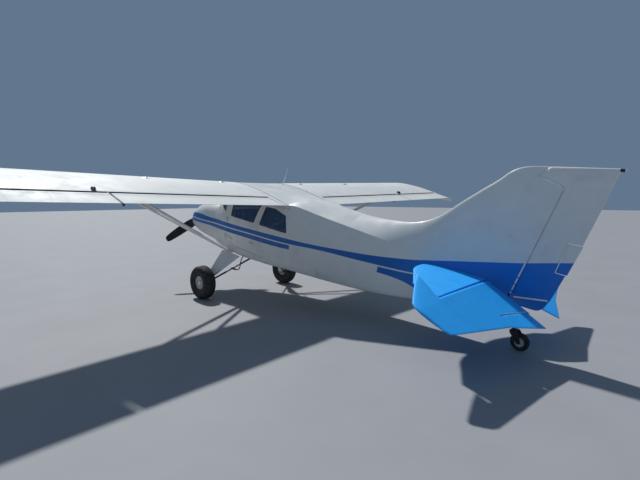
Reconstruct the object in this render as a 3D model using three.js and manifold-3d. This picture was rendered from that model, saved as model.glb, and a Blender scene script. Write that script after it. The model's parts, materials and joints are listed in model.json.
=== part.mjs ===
// Four-seat, high-wing, strut-braced light aircraft with a tail-wheel
// undercarriage, standing on its wheels.
//
// Units are millimetres. Row frame: +X to the nose, +Y to the left wing tip,
// +Z up, origin under the middle of the bounding box on the ground.
//
// Most of the airframe is drawn in its own "level" frame: x forward, y left,
// z up from the point between the main wheels' ground contacts, with the
// cabin floor level. One group then tilts it nose-up by STAND_DEG, the angle
// at which it rests on its tail wheel.

import * as THREE from 'three';
import { mergeVertices } from 'three/addons/utils/BufferGeometryUtils.js';
import Module from 'manifold-3d';

const wasm = await Module();
wasm.setup();

// ---------------------------------------------------------------- dimensions

const STAND_DEG = 10.5;            // nose-up angle of the parked airframe
const ORIGIN_X = 2031;             // shift from the main wheels to mid-length

const WHEEL_TRACK = 1830;          // between main tyre centres
const WHEEL_BASE = 4724;           // main axle line to tail wheel, on the ground
const MAIN_TYRE_R = 275;           // rolling radius, on a flat of the tread
const TAIL_TYRE_R = 100;
const KING_PIN_X = -4660;          // tail wheel swivel axis, ground frame

const WING_LE = 263;               // leading edge station
const WING_CHORD = 1603;
const WING_Z = 1810;               // chord plane at the centre line
const DIHEDRAL = 1.46;             // degrees
const ROOT_Y = 500.6;              // wing root rib
const FLAP_IN = 604, FLAP_OUT = 2868;
const AIL_IN = 2896, AIL_OUT = 4414;
const WING_END = 4425;             // last full rib, where the tip starts
const REAR_FACE = -962;            // rear face of the wing's fixed part
const FLAP_PIVOT = [-1018, -78];   // x, z in the wing's frame, under the wing
const AIL_PIVOT = [-1012, 17];     // x, z in the wing's frame

const STRUT_CHORD = 96, STRUT_THICK = 40;

const PROP_X = 1500, PROP_Z = 1085, PROP_R = 930, PROP_REST_DEG = -30;
const SPINNER_R = 150, SPINNER_TIP = 1770;

const WALL = 40;                   // cabin wall and door thickness
const GAP = 8.5;                    // clearance round a door
const FIREWALL_X = 470;
const CABIN_END = -1955;           // front face of the solid aft fuselage
// top edge of the belly panel in the side view, [x, z]
const PANEL_EDGE = [[600, 905], [-1000, 905], [-1955, 962], [-2100, 970]];
const ROOF_Z = 1745;               // bottom edge of the roof panel

const HINGE_X = -4190, STAB_Z = 1505, ELEV_REST = 18;   // tailplane
const RUDDER_FOOT = [-4438, 1453], RUDDER_HEAD = [-4695, 2657];

// ----------------------------------------------------------------- materials

const paint = (name, hex, rough = 0.35, metal = 0.0) =>
  new THREE.MeshStandardMaterial({ name, color: hex, roughness: rough, metalness: metal });
const WHITE = 0xe9ebee, BLUE = 0x16469c, BLACK = 0x18191b, GREY = 0x8d9196;

// ------------------------------------------------------------ shape building

const D2R = Math.PI / 180;
const V = (x, y, z) => new THREE.Vector3(x, y, z);

// A closed mesh from vertices and triangles, faces turned outwards.
function closed(verts, tris) {
  let vol = 0;
  for (const [a, b, c] of tris) vol += verts[a].dot(verts[b].clone().cross(verts[c]));
  const idx = vol < 0 ? tris.flatMap(([a, b, c]) => [a, c, b]) : tris.flat();
  const g = new THREE.BufferGeometry();
  g.setAttribute('position', new THREE.Float32BufferAttribute(verts.flatMap((v) => [v.x, v.y, v.z]), 3));
  g.setIndex(idx);
  return g;
}

// Skin over rings with the same number of points, closed at both ends by a fan
// from the ring's middle.
function loft(rings) {
  const n = rings[0].length, verts = rings.flat().map((v) => v.clone()), tris = [];
  for (let r = 0; r + 1 < rings.length; r++) {
    for (let i = 0; i < n; i++) {
      const a = r * n + i, b = r * n + (i + 1) % n, c = a + n, d = b + n;
      tris.push([a, b, d], [a, d, c]);
    }
  }
  for (const [r, flip] of [[0, true], [rings.length - 1, false]]) {
    const m = rings[r].reduce((s, v) => s.add(v), V(0, 0, 0)).divideScalar(n);
    verts.push(m);
    const k = verts.length - 1;
    for (let i = 0; i < n; i++) {
      const a = r * n + i, b = r * n + (i + 1) % n;
      tris.push(flip ? [b, a, k] : [a, b, k]);
    }
  }
  return closed(verts, tris);
}

// Straight prism between two rings of the same outline, which may be concave.
function prism(outline, at0, at1) {
  const pts = outline.map(([a, b]) => new THREE.Vector2(a, b));
  const n = pts.length;
  const verts = [...outline.map(([a, b]) => at0(a, b)), ...outline.map(([a, b]) => at1(a, b))];
  const tris = [];
  for (const [a, b, c] of THREE.ShapeUtils.triangulateShape(pts, [])) {
    tris.push([a, c, b], [a + n, b + n, c + n]);
  }
  const ccw = !THREE.ShapeUtils.isClockWise(pts);
  for (let i = 0; i < n; i++) {
    const j = (i + 1) % n;
    if (ccw) tris.push([i, j, j + n], [i, j + n, i + n]);
    else tris.push([j, i, i + n], [j, i + n, j + n]);
  }
  return closed(verts, tris);
}
const prismXZ = (o, y0, y1) => prism(o, (x, z) => V(x, y0, z), (x, z) => V(x, y1, z));
const prismXY = (o, z0, z1) => prism(o, (x, y) => V(x, y, z0), (x, y) => V(x, y, z1));
const prismYZ = (o, x0, x1) => prism(o, (y, z) => V(x0, y, z), (y, z) => V(x1, y, z));

function box(x0, x1, y0, y1, z0, z1) {
  const g = new THREE.BoxGeometry(Math.abs(x1 - x0), Math.abs(y1 - y0), Math.abs(z1 - z0));
  return g.translate((x0 + x1) / 2, (y0 + y1) / 2, (z0 + z1) / 2);
}

// Round bar between two points.
function rod(a, b, r, sides = 10, r2 = r) {
  const d = b.clone().sub(a).normalize();
  const u = Math.abs(d.z) < 0.9 ? d.clone().cross(V(0, 0, 1)).normalize() : d.clone().cross(V(1, 0, 0)).normalize();
  const w = d.clone().cross(u);
  const ring = (p, rr) => Array.from({ length: sides }, (_, i) => {
    const t = (i + 0.5) * 2 * Math.PI / sides;
    return p.clone().addScaledVector(u, rr * Math.cos(t)).addScaledVector(w, rr * Math.sin(t));
  });
  return loft([ring(a, r), ring(b, r2)]);
}

// Streamlined bar: section chord lies along x, thickness across.
const STREAM = [[0.5, 0], [0.36, 0.36], [0.08, 0.5], [-0.28, 0.3], [-0.5, 0.03], [-0.5, -0.03], [-0.28, -0.3], [0.08, -0.5], [0.36, -0.36]];
function fairedBar(a, b, chord, thick) {
  const d = b.clone().sub(a).normalize();
  const n = V(1, 0, 0).cross(d).normalize(), c = d.clone().cross(n).normalize();
  const cx = c.x < 0 ? c.negate() : c;
  const ring = (p) => STREAM.map(([s, t]) => p.clone().addScaledVector(cx, s * chord).addScaledVector(n, t * thick));
  return loft([ring(a), ring(b)]);
}

// Body of revolution about y from a closed profile of [radius, y].
function turned(profile, segments) {
  const g = new THREE.LatheGeometry([...profile, profile[0]].map(([r, y]) => new THREE.Vector2(r, y)), segments);
  return weld(g);
}

function weld(g) {
  const h = g.clone();
  h.deleteAttribute('normal');
  h.deleteAttribute('uv');
  const m = mergeVertices(h, 0.01);
  const idx = m.index.array, p = m.attributes.position, verts = [], tris = [];
  for (let i = 0; i < p.count; i++) verts.push(V(p.getX(i), p.getY(i), p.getZ(i)));
  for (let i = 0; i < idx.length; i += 3) {
    const [a, b, c] = [idx[i], idx[i + 1], idx[i + 2]];
    if (a !== b && b !== c && a !== c) tris.push([a, b, c]);
  }
  return closed(verts, tris);
}

// Solids for cutting and joining.
function solid(g) {
  const w = weld(g);
  return new wasm.Manifold(new wasm.Mesh({
    numProp: 3,
    vertProperties: new Float32Array(w.attributes.position.array),
    triVerts: new Uint32Array(w.index.array),
  }));
}
function geometry(m) {
  const mesh = m.getMesh();
  const g = new THREE.BufferGeometry();
  g.setAttribute('position', new THREE.Float32BufferAttribute(mesh.vertProperties, 3));
  g.setIndex(Array.from(mesh.triVerts));
  return g;
}
const cut = (a, ...bs) => bs.reduce((m, b) => m.subtract(b), a);
const join = (...ms) => ms.reduce((m, b) => m.add(b));

// Outline grown (or, with a negative distance, shrunk) by a distance.
function grow(outline, d) {
  const o = THREE.ShapeUtils.isClockWise(outline.map(([a, b]) => new THREE.Vector2(a, b))) ? [...outline].reverse() : outline;
  const n = o.length, out = [];
  for (let i = 0; i < n; i++) {
    const p = o[(i + n - 1) % n], q = o[i], r = o[(i + 1) % n];
    const e = [q[0] - p[0], q[1] - p[1]], f = [r[0] - q[0], r[1] - q[1]];
    const el = Math.hypot(...e), fl = Math.hypot(...f);
    const n1 = [e[1] / el, -e[0] / el], n2 = [f[1] / fl, -f[0] / fl];
    const k = 1 + n1[0] * n2[0] + n1[1] * n2[1];
    out.push([q[0] + d * (n1[0] + n2[0]) / k, q[1] + d * (n1[1] + n2[1]) / k]);
  }
  return out;
}

// -------------------------------------------------------------- scene graph

const aircraft = new THREE.Group();
aircraft.name = 'light_aircraft';

const ground = new THREE.Group();          // ground frame, under the main wheels
ground.position.x = ORIGIN_X;
aircraft.add(ground);

const level = new THREE.Group();           // level frame of the airframe
level.rotation.y = -STAND_DEG * D2R;
ground.add(level);

function put(parent, name, g, material) {
  const mesh = new THREE.Mesh(g, material);
  mesh.name = name;
  parent.add(mesh);
  return mesh;
}

// A turning group whose origin lies on the joint's axis. What goes in it is
// drawn in the parent's frame, and moved back by the group's place.
function pivot(parent, name, x, y, z, tilt = 0) {
  const g = new THREE.Group();
  g.name = name;
  g.position.set(x, y, z);
  g.rotation.y = tilt;
  parent.add(g);
  g.updateMatrix();
  return g;
}
const moved = (g, x, y, z) => g.clone().translate(-x, -y, -z);

// ------------------------------------------------------------ fuselage shape

// Sections of the body, half of each: belly centre, lower corner, side, upper
// corner and top centre.
// columns: x, zBelly, zLow, wLow, wSide, zUp, wUp, zTop
const BODY = [
  [471, 808, 858, 452, 503, 1430, 456, 1540],
  [280, 790, 832, 490, 535, 1590, 466, 1795],
  [200, 785, 825, 500, 545, 1700, 485, 1876],
  [50, 778, 812, 520, 560, 1768, 495, 1935],
  [-300, 772, 804, 532, 566, 1770, 495, 1955],
  [-900, 800, 838, 530, 562, 1770, 495, 1932],
  [-1388, 842, 874, 492, 530, 1815, 490, 1918],
  [-1955, 878, 908, 432, 455, 1775, 407, 1904],
  [-2400, 902, 934, 366, 388, 1728, 330, 1884],
  [-2850, 942, 970, 296, 308, 1672, 248, 1846],
  [-3250, 1000, 1030, 226, 232, 1628, 170, 1780],
  [-3650, 1088, 1116, 152, 158, 1590, 112, 1690],
  [-4050, 1205, 1228, 88, 92, 1574, 70, 1640],
  [-4395, 1345, 1362, 34, 38, 1560, 30, 1600],
];
const CORNER = 60;

// Ring of one body section, drawn inwards by t.
function bodyRing([x, zb, zl, wl, ws, zu, wu, zt], t) {
  const low = [wl - t, zl + 0.5 * t], up = [wu - t, zu - 0.35 * t];
  const mid = [ws - t, (zl + zu) / 2];
  const c = Math.min(CORNER, 0.3 * (wu - t), 0.3 * (wl - t));
  const b0 = [0, zb + t], b1 = [(wl - t) * 0.6, zb + t + 0.3 * (zl - zb)];
  const t0 = [0, zt - t], t1 = [(wu - t) * 0.6, zu - t + 0.78 * (zt - zu)];
  const toward = (p, q, d) => {
    const l = Math.hypot(q[0] - p[0], q[1] - p[1]);
    return [p[0] + (q[0] - p[0]) * d / l, p[1] + (q[1] - p[1]) * d / l];
  };
  const round = (p, q, r) => {
    const a = toward(q, p, c), b = toward(q, r, c);
    return [a, [q[0] * 0.5 + (a[0] + b[0]) * 0.25, q[1] * 0.5 + (a[1] + b[1]) * 0.25], b];
  };
  const half = [b0, b1, ...round(b1, low, mid), mid, ...round(mid, up, t1), t1, t0];
  const left = half.map(([y, z]) => V(x, y, z));
  const right = half.slice(1, -1).reverse().map(([y, z]) => V(x, -y, z));
  return [...left, ...right];
}
// Body between two stations, its sections drawn inwards by t.
function bodySolid(xFront, xRear, t = 0) {
  const at = (x) => {
    let i = 0;
    while (i + 2 < BODY.length && BODY[i + 1][0] > x) i++;
    const a = BODY[i], b = BODY[i + 1], k = (x - a[0]) / (b[0] - a[0]);
    return a.map((v, j) => (j === 0 ? x : v + (b[j] - v) * k));
  };
  const rows = [at(xFront), ...BODY.filter((r) => r[0] < xFront - 1 && r[0] > xRear + 1), at(xRear)];
  return solid(loft(rows.map((r) => bodyRing(r, t))));
}

const cabinOuter = bodySolid(FIREWALL_X - 2, CABIN_END + 1);
const cabinShell = cabinOuter.subtract(bodySolid(FIREWALL_X + 0.9, CABIN_END - 40, WALL));
const glassShell = (t0, t1) => bodySolid(FIREWALL_X, CABIN_END, t0).subtract(bodySolid(FIREWALL_X + 0.9, CABIN_END - 40, t1));

// Outlines in the side view, [x, z].
const DOOR_FRONT = [[18, 1736], [18, 1372], [-150, 935], [-982, 935], [-905, 1085], [-728, 1405], [-806, 1736]];
const WIN_FRONT = [[-66, 1404], [-660, 1416], [-742, 1694], [-78, 1694]];
const DOOR_REAR = [[-848, 1728], [-771, 1405], [-948, 1085], [-1018, 954], [-1422, 978], [-1422, 1610], [-1360, 1728]];
const WIN_REAR_R = [[-826, 1417], [-1386, 1419], [-1320, 1660], [-1090, 1700], [-892, 1700]];
const WIN_REAR_L = [[-784, 1417], [-1386, 1419], [-1318, 1668], [-1080, 1722], [-858, 1712]];
const DOOR_BAG = [[-1468, 1366], [-1468, 988], [-1896, 1008], [-1896, 1366]];
const SCREEN = [[62, 1408], [126, 1444], [279, 1512], [452, 1562], [470, 1640], [330, 1900], [212, 2000], [196, 1742], [62, 1742]];

const FAR = 900;
const sideCut = (outline, s) => solid(prismXZ(outline, s * 200, s * FAR));

// ---- boot cowl: firewall back to the doors, below the windscreen
const screenHole = solid(prismXZ(SCREEN, -FAR, FAR));
const aboveEdge = (y0, y1) => solid(prismXZ([...PANEL_EDGE.map(([x, z]) => [x, z + 0.5]), [-2100, 2150], [600, 2150]], y0, y1));
const forward = solid(box(60.6, 600, -FAR, FAR, 700, 2100)).intersect(aboveEdge(-FAR - 10, FAR + 10));
put(level, 'boot_cowl', geometry(cut(cabinShell.intersect(forward), screenHole, solid(box(40, 264, -FAR, FAR, ROOF_Z - 0.5, 2100)))),
  paint('boot_cowl', WHITE));

put(level, 'windscreen', geometry(glassShell(12, 18).intersect(solid(prismXZ(grow(SCREEN, -1), -FAR, FAR)))),
  paint('windscreen', 0x9fd6d2, 0.05));

// ---- belly panel with the lower corners
put(level, 'cabin_floor', geometry(cabinShell.intersect(solid(prismXZ([...PANEL_EDGE, [-2100, 600], [600, 600]], -FAR, FAR)))),
  paint('cabin_floor', WHITE));

// ---- side walls
const wallZone = (s) => solid(box(CABIN_END - 50, 60, 0, s * FAR, 700, ROOF_Z - 0.5)).intersect(aboveEdge(-FAR - 10, FAR + 10));
const halfOff = (s) => solid(box(-2100, 600, -s * FAR, s * 150, 600, 2100));
put(level, 'cabin_wall_left', geometry(cut(cabinShell.intersect(wallZone(1)), halfOff(1),
  sideCut(grow(DOOR_FRONT, GAP), 1), sideCut(WIN_REAR_L, 1))), paint('cabin_wall_left', WHITE));
put(level, 'cabin_wall_right', geometry(cut(cabinShell.intersect(wallZone(-1)), halfOff(-1),
  sideCut(grow(DOOR_FRONT, GAP), -1), sideCut(grow(DOOR_REAR, GAP), -1), sideCut(grow(DOOR_BAG, GAP), -1))),
paint('cabin_wall_right', WHITE));
put(level, 'window_rear_left', geometry(cut(glassShell(14, 19).intersect(sideCut(grow(WIN_REAR_L, -1), 1)))),
  paint('window_rear_left', 0x8fb6c4, 0.05));

// ---- roof and rear deck, between the wing roots
put(level, 'cabin_roof', geometry(cabinShell.intersect(solid(prismXZ(
  [[195.4, ROOF_Z], [211, 1990], [211, 2100], [CABIN_END - 50, 2100], [CABIN_END - 50, ROOF_Z]], -FAR, FAR)))),
paint('cabin_roof', WHITE));

// ---- firewall
put(level, 'firewall', geometry(bodySolid(FIREWALL_X - 4, FIREWALL_X - 24, WALL + 7)
  .intersect(solid(box(400, 500, -FAR, FAR, 600, 1520)))), paint('firewall', GREY, 0.5, 0.6));

// ---- aft fuselage, solid because it shows no inside
put(level, 'aft_fuselage', geometry(bodySolid(CABIN_END, -4395)), paint('aft_fuselage', WHITE));

// -------------------------------------------------------------------- engine

// columns: x, zBelly, zLow, wLow, wSide, zUp, wUp, zTop
const COWL = [
  [474, 808, 858, 450, 501, 1430, 454, 1538],
  [850, 806, 872, 428, 478, 1392, 418, 1470],
  [1200, 842, 898, 384, 436, 1292, 364, 1376],
  [1350, 876, 930, 330, 380, 1236, 300, 1316],
  [1415, 930, 978, 262, 300, 1196, 226, 1256],
  [1432, 968, 1008, 214, 248, 1168, 186, 1218],
];
const cowlSolid = (rows, t) => solid(loft(rows.map((r) => bodyRing(r, t))));
const cowlInner = cowlSolid([[...COWL[0]].with(0, 470), ...COWL.slice(1, 4), [...COWL[4]].with(0, 1402)], 18);
const inlets = [1, -1].map((s) => solid(prismYZ(
  [[s * 128, 1078], [s * 232, 1078], [s * 250, 1120], [s * 232, 1162], [s * 140, 1162], [s * 128, 1136]], 1330, 1500)));
put(level, 'engine_cowl', geometry(cut(cowlSolid(COWL, 0), cowlInner, ...inlets,
  solid(rod(V(1350, 0, PROP_Z), V(1500, 0, PROP_Z), 72, 16)),
  solid(box(476, 640, -150, 150, 700, 900)))), paint('engine_cowl', WHITE));
put(level, 'engine_block', geometry(join(solid(box(590, 1240, -330, 330, 935, 1215)),
  solid(rod(V(1200, 0, PROP_Z), V(1440, 0, PROP_Z), 48, 12)))), paint('engine_block', GREY, 0.6, 0.5));
put(level, 'exhaust_stack', geometry(cut(
  solid(rod(V(560, -60, 870), V(470, -60, 742), 34, 12)),
  solid(rod(V(540, -60, 841), V(462, -60, 731), 29, 12)))), paint('exhaust_stack', 0x6b625a, 0.6, 0.7));

// Propeller: two blades and a hub, turning about x.
// columns: radius, chord, thickness, pitch degrees, offset of the middle
const BLADE = [
  [60, 92, 52, 62, 0],
  [200, 138, 34, 44, 4],
  [420, 162, 22, 29, 8],
  [680, 150, 15, 21, 6],
  [860, 122, 10, 17, 2],
  [PROP_R, 70, 6, 16, 0],
];
const blade = (spin) => loft(BLADE.map(([r, chord, thick, pitch, off]) =>
  [[0.5, 0], [0.22, 0.5], [-0.2, 0.42], [-0.5, 0.05], [-0.5, -0.05], [-0.2, -0.18], [0.22, -0.24]].map(([c, t]) => {
    const a = pitch * D2R, u = c * chord + off, w = t * thick;
    return V(u * Math.sin(a) + w * Math.cos(a), r, u * Math.cos(a) - w * Math.sin(a));
  }))).rotateX(spin * D2R);
const hub = solid(rod(V(-50, 0, 0), V(44, 0, 0), 74, 16));
const propPivot = pivot(level, 'propeller_spin', PROP_X, 0, PROP_Z);
put(propPivot, 'propeller', geometry(join(hub, solid(blade(PROP_REST_DEG)), solid(blade(PROP_REST_DEG + 180)))),
  paint('propeller', 0x232427, 0.4, 0.4));
const cone = solid(turned([[0, -44], [SPINNER_R - 4, -44], [SPINNER_R, -20], [142, 40], [118, 118], [84, 188], [44, 244], [16, SPINNER_TIP - PROP_X - 4], [0, SPINNER_TIP - PROP_X]], 24).rotateZ(-Math.PI / 2));
const slots = [0, 180].map((a) => solid(box(-60, 60, 20, 190, -52, 52).rotateX((PROP_REST_DEG + a) * D2R)));
put(propPivot, 'spinner', geometry(cut(cone, solid(rod(V(-60, 0, 0), V(47, 0, 0), 78, 16)), ...slots)),
  paint('spinner', WHITE, 0.25));

// --------------------------------------------------------------------- doors

// A door swings about the level frame's vertical, on pins just outside the skin.
function door(name, hingeName, outline, window, s, hx, hy, zRef, glassName) {
  const p = pivot(level, hingeName, hx, s * hy, zRef);
  let m = cabinShell.intersect(sideCut(outline, s));
  if (window) m = m.subtract(sideCut(window, s));
  put(p, name, moved(geometry(m), hx, s * hy, zRef), paint(name, WHITE));
  if (window) {
    put(p, glassName, moved(geometry(glassShell(14, 19).intersect(sideCut(grow(window, -1), s))), hx, s * hy, zRef),
      paint(glassName, 0x8fb6c4, 0.05));
  }
}
door('door_front_left', 'door_front_left_swing', DOOR_FRONT, WIN_FRONT, 1, 22, 574, 1300, 'window_front_left');
door('door_front_right', 'door_front_right_swing', DOOR_FRONT, WIN_FRONT, -1, 22, 574, 1300, 'window_front_right');
door('door_rear_right', 'door_rear_right_swing', DOOR_REAR, WIN_REAR_R, -1, -762, 570, 1300, 'window_rear_right');
door('baggage_door', 'baggage_door_swing', DOOR_BAG, null, -1, -1901, 476, 1180);

// ------------------------------------------------------------------ interior

const yoke = (s) => join(
  solid(rod(V(152, s * 265, 1310), V(2, s * 265, 1310), 12, 8)),
  solid(box(-12, 8, s * 265 - 120, s * 265 + 120, 1296, 1324)),
  solid(box(-12, 8, s * 265 - 120, s * 265 - 96, 1320, 1392)),
  solid(box(-12, 8, s * 265 + 96, s * 265 + 120, 1320, 1392)));
put(level, 'instrument_panel', geometry(join(
  solid(prismXZ([[148, 1180], [148, 1452], [162, 1466], [372, 1474], [372, 1440], [240, 1400], [240, 1180]], -404, 404)),
  yoke(1), yoke(-1))), paint('instrument_panel', BLACK, 0.6));

// Seat: cushion and back in one soft body, [x, z] in the side view.
const SEAT = [[-60, 1070], [-66, 1150], [-110, 1172], [-430, 1150], [-560, 1620], [-610, 1655], [-672, 1620], [-560, 1100], [-500, 1066]];
for (const [name, s] of [['front_seat_left', 1], ['front_seat_right', -1]]) {
  put(level, name, weld(prismXZ(SEAT, s * 265 - 205, s * 265 + 205)), paint(name, 0x55606e, 0.9));
}
const railY = [-430, -100, 100, 430];
put(level, 'front_seat_frame', geometry(join(
  ...railY.map((y) => solid(box(-560, -40, y - 12, y + 12, 842, 862))),
  ...railY.flatMap((y) => [-110, -480].map((x) => solid(box(x - 12, x + 12, y - 12, y + 12, 855, 1050)))),
  ...[-110, -480].map((x) => solid(box(x - 12, x + 12, -442, 442, 1034, 1058))))),
paint('front_seat_frame', GREY, 0.5, 0.6));
put(level, 'rear_bench', weld(prismXZ([[-930, 1030], [-936, 1104], [-985, 1122], [-1240, 1106], [-1330, 1500], [-1385, 1520], [-1430, 1500], [-1330, 1050]], -415, 415)),
  paint('rear_bench', 0x55606e, 0.9));
put(level, 'rear_bench_frame', geometry(join(
  ...[-390, -10, 370].map((y) => solid(box(-1300, -980, y, y + 20, 892, 912))),
  ...[-390, -10, 370].flatMap((y) => [-1000, -1290].map((x) => solid(box(x - 10, x + 10, y, y + 20, 905, 1020)))),
  ...[-1000, -1290].map((x) => solid(box(x - 10, x + 10, -390, 390, 1004, 1024))))),
paint('rear_bench_frame', GREY, 0.5, 0.6));

// --------------------------------------------------------------------- wings

// Section of the wing. columns: fraction of the chord, upper, lower surface
const AEROFOIL = [
  [0.0, 0, 0],
  [0.01, 34, -22],
  [0.03, 62, -33],
  [0.08, 103, -42],
  [0.16, 127, -45],
  [0.28, 137, -46],
  [0.42, 130, -38],
  [0.58, 104, -29.5],
  [0.77, 58, -17],
  [1.0, 2, -2],
];
const surface = (col, c) => {
  let i = 0;
  while (i + 2 < AEROFOIL.length && AEROFOIL[i + 1][0] < c) i++;
  const a = AEROFOIL[i], b = AEROFOIL[i + 1];
  return a[col] + (b[col] - a[col]) * (c - a[0]) / (b[0] - a[0]);
};
const chordAt = (x) => (WING_LE - x) / WING_CHORD;

// Full section at span y: le and te stations, thickness factor, droop.
function wingRing(y, le = WING_LE, te = WING_LE - WING_CHORD, k = 1, droop = 0, lean = 0) {
  const up = AEROFOIL.map(([c, u]) => [le + (te - le) * c, u * k + droop]);
  const lo = AEROFOIL.slice(1).reverse().map(([c, , l]) => [le + (te - le) * c, l * k + droop]);
  return [...up, ...lo].map(([x, z]) => V(x, y + z * lean, z));
}
// Hinged trailing part of the section, with a round nose about [px, pz].
function flapRing(y, px, pz, r) {
  const cut0 = px + 2;
  const up = surface(1, chordAt(cut0)), lo = surface(2, chordAt(cut0));
  const te = WING_LE - WING_CHORD;
  const nose = [-55, -28, 0, 28, 55].map((a) => [px + r * Math.cos(a * D2R), pz + r * Math.sin(a * D2R)]);
  return [[te, -2], [cut0 - 10, lo], ...nose, [cut0 - 10, up], [te, 2]].map(([x, z]) => V(x, y, z));
}

for (const [side, s] of [['left', 1], ['right', -1]]) {
  const wing = new THREE.Group();          // origin on the centre line
  wing.position.set(0, 0, WING_Z);
  wing.rotation.x = s * DIHEDRAL * D2R;
  level.add(wing);
  const tanD = Math.tan(DIHEDRAL * D2R), cosD = Math.cos(DIHEDRAL * D2R);

  // fixed part, with the bay for flap and aileron cut off behind the rear face
  const full = solid(loft([wingRing(s * ROOT_Y / cosD, undefined, undefined, 1, 0, s * tanD), wingRing(s * WING_END)]));
  const bay = solid(box(REAR_FACE, -1500, s * (FLAP_IN - 8), s * (WING_END + 50), -200, 200));
  // hinge arms under the rear face, one beside each end of flap and aileron
  const arm = (y, px, pz) => solid(prismXZ(
    [[REAR_FACE + 60, 4], [REAR_FACE + 2, 4], [px - 14, pz + 14], [px - 14, pz - 12], [px + 14, pz - 12]], s * y, s * (y + 8)));
  const pad = solid(box(-160, -100, s * 2530, s * 2590, -62, -30));      // tie-down pad
  const main = join(cut(full, bay), arm(FLAP_IN + 150, ...FLAP_PIVOT), arm(FLAP_OUT - 150, ...FLAP_PIVOT), pad);
  put(wing, `wing_${side}`, geometry(main), paint(`wing_${side}`, WHITE));

  // columns: y, leading edge, trailing edge, thickness factor, droop
  const TIP = [
    [WING_END + 0.8, 263, -1340, 1.0, 0],
    [4560, 252, -1344, 0.93, -14],
    [4640, 222, -1344, 0.76, -44],
    [4700, 150, -1335, 0.3, -92],
  ];
  put(wing, `wing_tip_${side}`, weld(loft(TIP.map(([y, ...r]) => wingRing(s * y, ...r)))), paint(`wing_tip_${side}`, WHITE));

  // flap: slotted, turning about pins below the wing
  const [fx, fz] = FLAP_PIVOT;
  const flapPivot = pivot(wing, `flap_${side}_swing`, fx, s * (FLAP_IN + FLAP_OUT) / 2, fz);
  const flapBody = solid(loft([FLAP_IN, FLAP_OUT].map((y) => flapRing(s * y, -1008, 18, 31))));
  const horn = (y) => solid(prismXZ([[-1000, -8], [-1100, -8], [fx - 16, fz - 12], [fx + 12, fz - 12]], s * y, s * (y + 8)));
  put(flapPivot, `flap_${side}`, moved(geometry(join(flapBody, horn(FLAP_IN + 164), horn(FLAP_OUT - 164))),
    fx, s * (FLAP_IN + FLAP_OUT) / 2, fz), paint(`flap_${side}`, WHITE));

  // aileron: nose round its hinge line
  const [ax, az] = AIL_PIVOT;
  const ailPivot = pivot(wing, `aileron_${side}_swing`, ax, s * (AIL_IN + AIL_OUT) / 2, az);
  put(ailPivot, `aileron_${side}`, moved(weld(loft([AIL_IN, AIL_OUT].map((y) => flapRing(s * y, ax, az, 33)))),
    ax, s * (AIL_IN + AIL_OUT) / 2, az), paint(`aileron_${side}`, WHITE));

  // lift struts, from the lower longeron to the wing spars
  put(level, `strut_front_${side}`, weld(fairedBar(V(-62, s * 592, 838), V(-130, s * 2440, 1808), STRUT_CHORD, STRUT_THICK)), paint('strut', WHITE));
  put(level, `strut_rear_${side}`, weld(fairedBar(V(-178, s * 592, 832), V(-826, s * 2420, 1806), STRUT_CHORD * 0.86, STRUT_THICK * 0.9)), paint('strut', WHITE));

  // undercarriage leg: two tubes faired over into one tapering blade, with the
  // stub axle that carries the wheel at its foot
  const leg = loft([
    [[46, 571, 797], [30, 556, 797], [-150, 528, 790], [-330, 506, 782], [-352, 512, 782], [-150, 552, 790], [26, 588, 797]],
    [[100, 838, 318], [88, 822, 318], [30, 822, 318], [-8, 830, 318], [-14, 836, 318], [30, 846, 318], [84, 850, 318]],
  ].map((ring) => ring.map(([x, y, z]) => V(x, s * y, z))));
  const axleZ = 270.4, axleX = 50.1;
  const foot = solid(box(14, 92, s * 812, s * 832, 236, 330));
  put(level, `gear_leg_${side}`, geometry(join(solid(leg), foot,
    solid(rod(V(axleX, s * 826, axleZ), V(axleX, s * 988, axleZ), 19, 12)))), paint('gear_leg', WHITE));
  put(level, `shock_strut_${side}`, weld(rod(V(-4, s * 805, 300), V(-284, s * 86, 758), 15, 8)), paint('shock_strut', BLACK, 0.5));

  // main wheel, with a flat of its tread on the ground
  const wheelPivot = pivot(ground, `wheel_${side}_spin`, 0, s * WHEEL_TRACK / 2, MAIN_TYRE_R);
  const flat = Math.PI / 24, k = 1 / Math.cos(flat);
  put(wheelPivot, `tyre_${side}`, turned([[108, -72], [150, -100], [205 * k, -110], [252 * k, -92], [275 * k, -52],
    [275 * k, 52], [252 * k, 92], [205 * k, 110], [150, 100], [108, 72]], 24).rotateY(flat), paint('tyre', BLACK, 0.9));
  put(wheelPivot, `wheel_${side}`, turned([[23, -64], [52, -64], [58, -34], [90, -34], [96, -62], [105, -62],
    [105, 62], [96, 62], [90, 34], [58, 34], [52, 64], [23, 64]], 24).rotateY(flat), paint('wheel', 0xc9ccd0, 0.35, 0.8));
}

put(level, 'whip_antenna', weld(rod(V(-200, -380, 1918), V(-292, -380, 2250), 6, 6, 3)), paint('whip_antenna', WHITE));

// ---------------------------------------------------------------------- tail

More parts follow.
